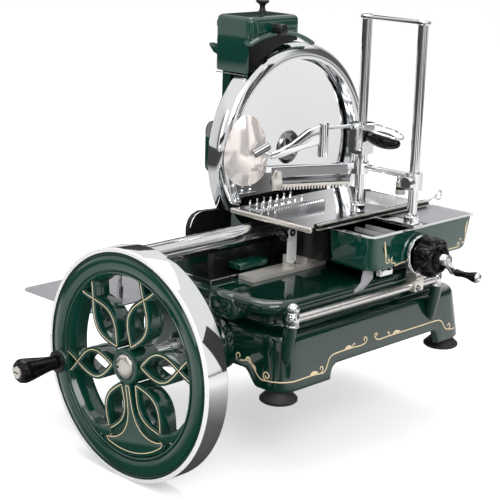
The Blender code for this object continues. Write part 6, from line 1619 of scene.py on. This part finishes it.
@dataclass
class PressWork:
    """Posts of the table with the press, its grip and the egg-shaped shield."""

    post_x: float = 0.051
    post_y: tuple[float, float] = (-0.054, -0.168)
    yaw: float = math.radians(25.0)

    def at(self, along: float, height: float, off: float = 0.0) -> Vector:
        """Place on the plane of the press arm.

        Args:
            along: distance from the left post.
            height: height above the feet's plane.
            off: distance behind the plane.

        Returns:
            The world point.
        """
        turn = Vector((-math.cos(self.yaw), math.sin(self.yaw), 0.0))
        back = Vector((math.sin(self.yaw), math.cos(self.yaw), 0.0))
        return Vector((self.post_x, self.post_y[0], height)) + turn * along + back * off

    def plate(self, outline: Sequence[tuple[float, float]], off: float, thick: float) -> bmesh.types.BMesh:
        """Flat piece on the plane of the press arm.

        Args:
            outline: (along, height) points.
            off: distance of its face behind the plane.
            thick: thickness.

        Returns:
            A closed mesh.
        """
        turn = Vector((-math.cos(self.yaw), math.sin(self.yaw), 0.0))
        return Workshop.slab(outline, self.at(0.0, 0.0, off), turn, (0, 0, 1),
                             Vector((math.sin(self.yaw), math.cos(self.yaw), 0.0)) * thick)

    def posts(self) -> None:
        """Polished posts with feet and a strap over their tops."""
        for name, y in zip(("post_left", "post_right"), self.post_y):
            low, high = (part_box(name)[k][2] for k in (0, 1))
            profile = [(0.0, low), (0.0128, low), (0.0130, low + 0.0010), (0.0130, low + 0.0105), (0.0118, low + 0.0120),
                       (0.0092, low + 0.0124), (0.0088, low + 0.0160), (0.0082, low + 0.0165), (0.0082, 0.5740),
                       (0.0076, 0.5748), (0.0, 0.5748)]
            parts = [Workshop.lathe(profile, (self.post_x, y, 0.0), (0, 0, 1), 48)]
            parts.append(Workshop.lathe([(0.0, 0.5752), (0.0098, 0.5752), (0.0104, 0.5760), (0.0104, 0.5800),
                                         (0.0088, 0.5816), (0.0, 0.5816)], (self.post_x, y, 0.0), (0, 0, 1), 40))
            Workshop.deliver(Workshop.joined(parts), f"{name}_polished", "table", Slot.CHROME, Shading.CRISP,
                             replaces=(name,))
        strap = rounded_box(self.post_x - 0.0095, self.post_x + 0.0095, self.post_y[1] - 0.0120,
                            self.post_y[0] + 0.0120, 0.0090, 8)
        bar = Workshop.slab(strap, (0, 0, 0.5755), (1, 0, 0), (0, 1, 0), (0, 0, 0.0048))
        Workshop.deliver(Workshop.softened(bar, 0.0008, 2), "post_strap_polished", "table", Slot.CHROME, Shading.CRISP,
                         replaces=("post_strap",))

    def shield(self) -> None:
        """Egg-shaped shield on its tapered arm, with the clamping screw."""
        centre = Vector((-0.133, 0.026, 0.355))
        bm = bmesh.new()
        rows = []
        for k in range(1, 17):
            ring = []
            for i in range(48):
                angle = TURN * i / 48
                share = k / 16
                wide = 0.0385 * (1.0 - 0.12 * math.sin(angle))
                tall = 0.0660 if math.sin(angle) > 0.0 else 0.0510
                ring.append(bm.verts.new(centre + Vector((wide * share * math.cos(angle), 0.012 * share ** 2,
                                                          tall * share * math.sin(angle)))))
            rows.append(ring)
        tip = bm.verts.new(centre)
        for i in range(48):
            bm.faces.new((tip, rows[0][i], rows[0][(i + 1) % 48]))
        for one, two in zip(rows, rows[1:]):
            for i in range(48):
                bm.faces.new((one[i], two[i], two[(i + 1) % 48], one[(i + 1) % 48]))
        bmesh.ops.recalc_face_normals(bm, faces=bm.faces)
        bmesh.ops.solidify(bm, geom=bm.faces[:], thickness=0.0022)
        bmesh.ops.recalc_face_normals(bm, faces=bm.faces)
        turned = Matrix.Rotation(math.radians(-24.0), 4, "Z")
        bmesh.ops.rotate(bm, cent=centre, matrix=turned, verts=bm.verts)
        Workshop.deliver(bm, "shield_egg", "shield", Slot.CHROME, Shading.SOFT, PEARL, ("meat_shield",))
        wedge = [(0.0765, 0.4020), (0.0985, 0.3945), (0.1120, 0.3850), (0.1250, 0.3755), (0.1460, 0.3635),
                 (0.1620, 0.3590), (0.1620, 0.3480), (0.1450, 0.3500), (0.1240, 0.3565), (0.1030, 0.3635),
                 (0.0840, 0.3680), (0.0765, 0.3700)]
        parts = [Workshop.softened(self.plate(wedge, -0.0045, 0.009), 0.0022, 3)]
        parts.append(Workshop.rod(self.at(0.1560, 0.3530), self.at(0.1850, 0.3620, 0.006), 0.0046))
        Workshop.deliver(Workshop.joined(parts), "shield_arm_polished", "shield", Slot.CHROME, Shading.SOFT,
                         replaces=("shield_arm",))
        screw = Workshop.lathe([(0.0, 0.0), (0.0060, 0.0), (0.0070, 0.0010), (0.0070, 0.0290), (0.0056, 0.0300),
                                (0.0, 0.0300)], self.at(0.1700, 0.3740, -0.014), self.at(0.2, 0.358, -0.014)
                               - self.at(0.1700, 0.3740, -0.014), 36)
        Workshop.deliver(screw, "shield_screw", "shield", Slot.DARK, Shading.CRISP)

    def comb(self) -> None:
        """Dark plate under the press beam, with a bright strip of short teeth."""
        plate = self.plate([(0.018, 0.3040), (0.160, 0.3040), (0.160, 0.3172), (0.018, 0.3172)], -0.0020, 0.004)
        Workshop.deliver(Workshop.softened(plate, 0.0006, 2), "press_plate", "press", Slot.DARK, Shading.CRISP,
                         replaces=("press_comb",))
        count, pitch = 26, 0.140 / 26
        outline = [(0.020, 0.3058)]
        for i in range(count):
            left = 0.020 + pitch * i
            outline += [(left, 0.3020), (left + pitch * 0.18, 0.2960), (left + pitch * 0.52, 0.2960),
                        (left + pitch * 0.66, 0.3020)]
        outline += [(0.160, 0.3020), (0.160, 0.3058)]
        teeth = self.plate(outline, -0.0034, 0.0014)
        Workshop.deliver(teeth, "press_teeth", "press", Slot.CREAM, Shading.FLAT)
        face = self.plate([(0.0260, 0.3200), (0.1600, 0.3200), (0.1600, 0.3345), (0.0260, 0.3345)],
                          BEAM_FRONT - 0.0006, 0.0010)
        Workshop.deliver(face, "press_beam_face", "press", Slot.DARK, Shading.FLAT)
        joint = [(0.1420, 0.2990), (0.1600, 0.2990), (0.1620, 0.3190), (0.1560, 0.3320), (0.1450, 0.3300)]
        Workshop.deliver(Workshop.softened(self.plate(joint, BEAM_FRONT - 0.0050, 0.0044), 0.0010, 2),
                         "press_end_joint", "press", Slot.CREAM, Shading.CRISP)

    def grip(self) -> None:
        """Black oval grip with a bright ferrule."""
        start = Vector((self.post_x, self.post_y[0] - 0.015 - 0.0012, 0.383))
        axis = Vector((0, -1.0, -0.08)).normalized()
        shape = ((0.0, 0.0), (0.0, 0.0078), (0.02, 0.0084), (0.12, 0.0108), (0.28, 0.0128), (0.42, 0.0135),
                 (0.58, 0.0134), (0.72, 0.0120), (0.84, 0.0098), (0.93, 0.0072), (0.98, 0.0050), (1.0, 0.0))
        body = Workshop.lathe([(r, 0.064 * share) for share, r in shape], start, axis, 48)
        Workshop.deliver(body, "press_grip_black", "press", Slot.BLACK, Shading.SOFT, replaces=("press_grip",))

    def stop(self) -> None:
        """Champagne sleeve with a dark band, round the stop under the press beam."""
        axis = (self.post_x, -0.1420, 0.2975)
        Workshop.deliver(Workshop.lathe([(0.0, 0.0), (0.0078, 0.0), (0.0086, 0.0008), (0.0086, 0.0085), (0.0074, 0.0090),
                                         (0.0074, 0.0130), (0.0086, 0.0135), (0.0086, 0.0200), (0.0078, 0.0205),
                                         (0.0, 0.0205)], axis, (0, 0, 1), 36), "press_stop_sleeve", "press", Slot.CREAM,
                         Shading.CRISP)
        Workshop.deliver(Workshop.lathe([(0.0076, 0.0092), (0.0080, 0.0092), (0.0080, 0.0128), (0.0076, 0.0128)], axis,
                                        (0, 0, 1), 36), "press_stop_band", "press", Slot.BLACK_METAL, Shading.CRISP)

    def build(self) -> None:
        """Build the posts and the press."""
        self.stop()
        self.posts()
        self.shield()
        self.comb()
        self.grip()


@dataclass
class FeedKnob:
    """Lobed knob, flange and little crank of the feed screw."""

    centre: Point = (0.060, 0.0, 0.204)
    crank_angle: float = math.radians(-43.0)
    crank_arm: float = 0.036
    body: str = "feed_crank"

    def knob(self) -> None:
        """Black knob with seven lobes and a hollow face."""
        x, _, z = self.centre
        rings = ((-0.1890, 0.0, 0.0), (-0.1890, 0.0240, 0.0), (-0.1900, 0.0285, 0.03), (-0.1935, 0.0325, 0.14),
                 (-0.1980, 0.0338, 0.22), (-0.2070, 0.0342, 0.24), (-0.2140, 0.0336, 0.22), (-0.2190, 0.0312, 0.15),
                 (-0.2220, 0.0272, 0.06), (-0.2228, 0.0235, 0.0), (-0.2218, 0.0212, 0.0), (-0.2150, 0.0130, 0.0),
                 (-0.2120, 0.0100, 0.0), (-0.2110, 0.0, 0.0))
        steps = 84
        bm = bmesh.new()
        rows = []
        for y, radius, depth in rings:
            rows.append([bm.verts.new((x + radius * self.lobe(i, steps, depth) * math.cos(TURN * i / steps), y,
                                       z + radius * self.lobe(i, steps, depth) * math.sin(TURN * i / steps)))
                         for i in range(steps)])
        for one, two in zip(rows, rows[1:]):
            for i in range(steps):
                bm.faces.new((one[i], one[(i + 1) % steps], two[(i + 1) % steps], two[i]))
        bmesh.ops.remove_doubles(bm, verts=bm.verts, dist=0.00001)
        bmesh.ops.recalc_face_normals(bm, faces=bm.faces)
        Workshop.deliver(bm, "feed_knob_lobed", self.body, Slot.BLACK, Shading.SOFT, replaces=("feed_knob",))

    @staticmethod
    def lobe(index: int, steps: int, depth: float) -> float:
        """Share of the radius at one step round the knob.

        Args:
            index: step round the knob.
            steps: number of steps.
            depth: depth of the hollows.

        Returns:
            A factor of one at a lobe and less in a hollow.
        """
        wave = 0.5 - 0.5 * math.cos(7.0 * TURN * index / steps)
        return 1.0 - depth * wave ** 1.6

    def flange(self) -> None:
        """Flange with a bright rim round a dark face."""
        x, _, z = self.centre
        back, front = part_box("feed_flange")[1][1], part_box("feed_flange")[0][1]
        deep = back - front
        rim = [(0.0300, 0.0), (0.0316, -0.0008), (0.0330, 0.0), (0.0336, 0.0014), (0.0336, deep * 0.8),
               (0.0328, deep), (0.0, deep), (0.0, 0.0014), (0.0296, 0.0014)]
        Workshop.deliver(Workshop.lathe(rim, (x, front, z), (0, 1, 0), 72), "feed_flange_rim", "carriage", Slot.CHROME,
                         Shading.CRISP, replaces=("feed_flange",))
        face = [(0.0060, 0.0004), (0.0298, 0.0004), (0.0298, 0.0018), (0.0060, 0.0018)]
        Workshop.deliver(Workshop.lathe(face, (x, front, z), (0, 1, 0), 64), "feed_flange_face", "carriage",
                         Slot.DARK, Shading.CRISP)

    def crank(self) -> None:
        """Polished crank arm, its cap and the black grip with a ball end."""
        x, _, z = self.centre
        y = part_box("crank_arm")[1][1]
        tip = Vector((x + self.crank_arm * math.cos(self.crank_angle), 0.0,
                      z + self.crank_arm * math.sin(self.crank_angle)))
        along = Vector((math.cos(self.crank_angle), 0.0, math.sin(self.crank_angle)))
        side = Vector((-along.z, 0.0, along.x))
        boss = Workshop.lathe([(0.0, -0.0090), (0.0060, -0.0086), (0.0085, -0.0060), (0.0096, -0.0020), (0.0096, 0.0140),
                               (0.0, 0.0140)], (x, -0.2310, z), (0, 1, 0), 40)
        outline = [(0.0, -0.0070), (self.crank_arm * 0.5, -0.0046), (self.crank_arm, -0.0056),
                   (self.crank_arm + 0.0045, -0.0036), (self.crank_arm + 0.0060, 0.0),
                   (self.crank_arm + 0.0045, 0.0036), (self.crank_arm, 0.0056), (self.crank_arm * 0.5, 0.0046),
                   (0.0, 0.0070)]
        bar = Workshop.slab(outline, (x, -0.2285, z), along, side, (0, -0.0072, 0))
        end = -0.2370 - 0.0440
        ball = Workshop.lathe([(0.0, 0.0), (0.0040, 0.0006), (0.0066, 0.0024), (0.0080, 0.0050), (0.0082, 0.0064),
                               (0.0, 0.0064)], (tip.x, end - 0.0058, tip.z), (0, 1, 0), 36)
        stud = Workshop.rod((tip.x, -0.2290, tip.z), (tip.x, end + 0.002, tip.z), 0.0024)
        Workshop.deliver(Workshop.joined([boss, Workshop.softened(bar, 0.0014, 3), ball, stud]), "crank_polished",
                         self.body, Slot.CHROME, Shading.SOFT, replaces=("crank_arm",))
        shape = ((0.0028, 0.0), (0.0052, 0.0), (0.0062, 0.0012), (0.0060, 0.0060), (0.0050, 0.0130), (0.0050, 0.0200),
                 (0.0060, 0.0270), (0.0078, 0.0330), (0.0088, 0.0380), (0.0086, 0.0425), (0.0028, 0.0428))
        grip = Workshop.lathe(shape, (tip.x, -0.2372, tip.z), (0, -1, 0), 40)
        Workshop.deliver(grip, "crank_grip_black", "crank_handle", Slot.BLACK, Shading.SOFT, replaces=("crank_grip",))

    def build(self) -> None:
        """Build the knob, its flange and the crank."""
        self.knob()
        self.flange()
        self.crank()


@dataclass
class Mechanism:
    """Front rod, its posts and clamp, the brackets under the trough, and the bright lines of the channel."""

    rod_y: float = -0.168
    rod_z: float = 0.146

    def rod(self) -> None:
        """Satin rod between two ribbed posts with ball tops."""
        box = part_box("front_rod")
        Workshop.deliver(Workshop.rod((box[0][0], self.rod_y, self.rod_z), (box[1][0], self.rod_y, self.rod_z), 0.0064,
                                      steps=40), "front_rod_satin", "base", Slot.CHROME, Shading.CRISP, SATIN,
                         ("front_rod",))
        profile = [(0.0, 0.1345), (0.0100, 0.1345), (0.0104, 0.1352), (0.0104, 0.1370), (0.0098, 0.1376),
                   (0.0098, 0.1396), (0.0102, 0.1402), (0.0102, 0.1530), (0.0096, 0.1536), (0.0096, 0.1560),
                   (0.0090, 0.1575)]
        profile += [(0.0098 * math.cos(a), 0.1625 + 0.0098 * math.sin(a))
                    for a in (math.radians(-28.0 + 118.0 * i / 10) for i in range(10))] + [(0.0, 0.1723)]
        for name in ("rod_post_left", "rod_post_right"):
            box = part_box(name)
            x = (box[0][0] + box[1][0]) / 2.0
            Workshop.deliver(Workshop.lathe(profile, (x, self.rod_y, 0.0), (0, 0, 1), 48), f"{name}_polished", "base",
                             Slot.CHROME, Shading.SOFT, replaces=(name,))

    def clamp(self) -> None:
        """Hinged clamp that runs on the front rod."""
        parts = [Workshop.softened(Workshop.block((0.0580, -0.1800, 0.1560), (0.0845, -0.1560, 0.1890)), 0.0030, 3),
                 Workshop.softened(Workshop.block((0.0560, -0.1800, 0.1370), (0.0800, -0.1580, 0.1600)), 0.0030, 3),
                 Workshop.rod((0.0550, -0.1790, 0.1620), (0.0862, -0.1790, 0.1620), 0.0042)]
        Workshop.deliver(Workshop.joined(parts), "rod_clamp_polished", "carriage", Slot.CREAM, Shading.CRISP,
                         replaces=("rod_clamp",))
        screws = [Workshop.lathe([(0.0, 0.0), (0.0040, 0.0), (0.0048, 0.0010), (0.0048, 0.0030), (0.0, 0.0030)],
                                 (x, -0.1830, z), (0, 1, 0), 24) for x, z in ((0.0640, 0.1440), (0.0780, 0.1740))]
        Workshop.deliver(Workshop.joined(screws), "rod_clamp_screws", "carriage", Slot.DARK, Shading.CRISP)

    def brackets(self) -> None:
        """Grey bent bracket and small bright bracket under the trough."""
        bent = [(-0.0470, 0.1888), (-0.0260, 0.1888), (-0.0255, 0.1720), (-0.0480, 0.1570), (-0.0690, 0.1560),
                (-0.0660, 0.1600), (-0.0520, 0.1690)]
        arm = Workshop.slab(bent, (0, -0.1520, 0), (1, 0, 0), (0, 0, 1), (0, -0.0045, 0))
        Workshop.deliver(Workshop.softened(arm, 0.0006, 2), "trough_bracket", "carriage", Slot.GREY, Shading.CRISP)
        small = [Workshop.softened(Workshop.block((-0.0240, -0.1700, 0.1760), (0.0080, -0.1600, 0.1888)), 0.0015, 2),
                 Workshop.rod((-0.0180, -0.1715, 0.1820), (-0.0180, -0.1650, 0.1820), 0.0036)]
        Workshop.deliver(Workshop.joined(small), "trough_small_bracket", "carriage", Slot.CHROME, Shading.CRISP)

    def channel(self) -> None:
        """Bright lines on the edges of the black channel."""
        low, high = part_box("deck_channel")
        top, front, rear = high[2], low[1], high[1]
        wide = 0.0011
        strips = [Workshop.block((low[0], front - wide / 2, top - wide), (high[0], front + wide, top + wide / 2)),
                  Workshop.block((low[0] - wide / 2, front, top - wide), (low[0] + wide, rear, top + wide / 2)),
                  Workshop.block((low[0] - wide / 2, front - wide / 2, 0.1700), (low[0] + wide, front + wide, top))]
        Workshop.deliver(Workshop.joined(strips), "channel_bright_edges", "base", Slot.CHROME, Shading.FLAT)

    def fittings(self) -> None:
        """Black shroud behind the guard, green block in the channel and the lever's round head."""
        outline = [(-0.1545, 0.1695), (-0.0560, 0.1695), (-0.0560, 0.2385), (-0.1280, 0.2425), (-0.1420, 0.2380),
                   (-0.1500, 0.2300), (-0.1545, 0.2180)]
        shroud = Workshop.softened(Workshop.slab(outline, (0, 0.1380, 0), (1, 0, 0), (0, 0, 1), (0, 0.0120, 0)), 0.0015, 3)
        Workshop.deliver(shroud, "rear_shroud", "base", Slot.BLACK_METAL, Shading.CRISP)
        rim = Workshop.tube([(x, 0.1375, z + 0.0008) for x, z in outline[2:]], 0.0010)
        Workshop.deliver(rim, "rear_shroud_rim", "base", Slot.CHROME, Shading.SOFT)
        block = Workshop.softened(Workshop.block((-0.1750, -0.0040, 0.1755), (-0.1100, 0.0270, 0.1885)), 0.0040, 3)
        Workshop.deliver(block, "channel_block", "base", Slot.GREEN, Shading.CRISP)
        low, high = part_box("release_lever")
        ring = Workshop.lathe([(0.0022, 0.0), (0.0062, 0.0), (0.0066, 0.0006), (0.0066, 0.0014), (0.0022, 0.0014)],
                              ((low[0] + high[0]) / 2.0 + 0.0005, low[1] - 0.0014, high[2] - 0.0075), (0, 1, 0), 32)
        Workshop.deliver(ring, "lever_head_ring", "slider_lever", Slot.DARK, Shading.CRISP)

    def build(self) -> None:
        """Build the rod, clamp, brackets and edges."""
        self.fittings()
        self.rod()
        self.clamp()
        self.brackets()
        self.channel()


@dataclass
class TableTop:
    """Bright rail lines, the ring at the rail's end, the trough's plate and bars, and a low fence."""

    def rail(self) -> None:
        """Black rail between two bright lines, with a ring at its end."""
        x0, x1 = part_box("meat_table")[0][0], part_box("table_rail")[1][0] - 0.0470
        bar = Workshop.block((x0, -0.1035, 0.2545), (x1, -0.0930, 0.2618))
        feet = [Workshop.block((x0, -0.0985, 0.2492), (0.0340, -0.0905, 0.2550)),
                Workshop.block((0.0680, -0.0985, 0.2492), (x1, -0.0905, 0.2550))]
        Workshop.deliver(Workshop.joined([Workshop.softened(bar, 0.0008, 2)] + feet), "table_rail_black", "table",
                         Slot.BLACK, Shading.CRISP, replaces=("table_rail",))
        lines = [Workshop.block((x0, -0.1042, 0.2604), (x1, -0.0990, 0.2626)),
                 Workshop.block((x0, -0.1042, 0.2528), (x1, -0.0990, 0.2550))]
        Workshop.deliver(Workshop.joined(lines), "table_rail_lines", "table", Slot.CREAM, Shading.FLAT)
        hook = Workshop.tube([(x1 - 0.004, -0.0985, 0.2590), (x1 + 0.010, -0.0985, 0.2600), (x1 + 0.018, -0.0985, 0.2640),
                              (x1 + 0.026, -0.0985, 0.2650)], 0.0021, smooth_path=True)
        ring = [(x1 + 0.0335 + 0.0080 * math.cos(a), -0.0985, 0.2655 + 0.0080 * math.sin(a))
                for a in (TURN * i / 28 for i in range(28))]
        Workshop.deliver(Workshop.joined([hook, Workshop.tube(ring, 0.0018, closed=True)]), "table_rail_ring", "table",
                         Slot.CHROME, Shading.SOFT)

    def plates(self) -> None:
        """Polished plate inside the trough, with grey bars across it."""
        tray = rounded_box(-0.0520, 0.0360, -0.1735, -0.0880, 0.008, 6)
        plate = Workshop.slab(tray, (0, 0, 0.2352), (1, 0, 0), (0, 1, 0), (0, 0, 0.0014))
        Workshop.deliver(plate, "trough_plate", "carriage", Slot.CHROME, Shading.CRISP)
        bars = [Workshop.block((x, -0.1700, 0.2366), (x + 0.004, -0.0900, 0.2400)) for x in (-0.0300, 0.0020, 0.0290)]
        Workshop.deliver(Workshop.joined(bars), "trough_bars", "carriage", Slot.GREY, Shading.FLAT)

    def fence(self) -> None:
        """Low upright fence across the table, with its small dark knob."""
        plate = Workshop.softened(Workshop.block((0.1045, -0.0905, 0.2543), (0.1070, -0.0250, 0.2760)), 0.0006, 2)
        Workshop.deliver(plate, "table_fence", "table", Slot.GREY, Shading.CRISP, BRIGHT)
        knob = Workshop.lathe([(0.0, 0.0), (0.0040, 0.0), (0.0044, 0.0008), (0.0044, 0.0022), (0.0, 0.0026)],
                              (0.1058, -0.0300, 0.2760), (0, 0, 1), 24)
        Workshop.deliver(knob, "table_fence_knob", "table", Slot.BLACK_METAL, Shading.CRISP)

    def build(self) -> None:
        """Build the rail and the trough's plates."""
        self.fence()
        self.rail()
        self.plates()


def main() -> None:
    """Build the scene, piece by piece."""
    Studio().build()
    Flywheel().build()
    BaseCasting().build()
    CarriageBox().build()
    BladeSet().build()
    Hood().build()
    PressWork().build()
    FeedKnob().build()
    Mechanism().build()
    TableTop().build()
    Dress().build()


if __name__ == "__main__":
    main()
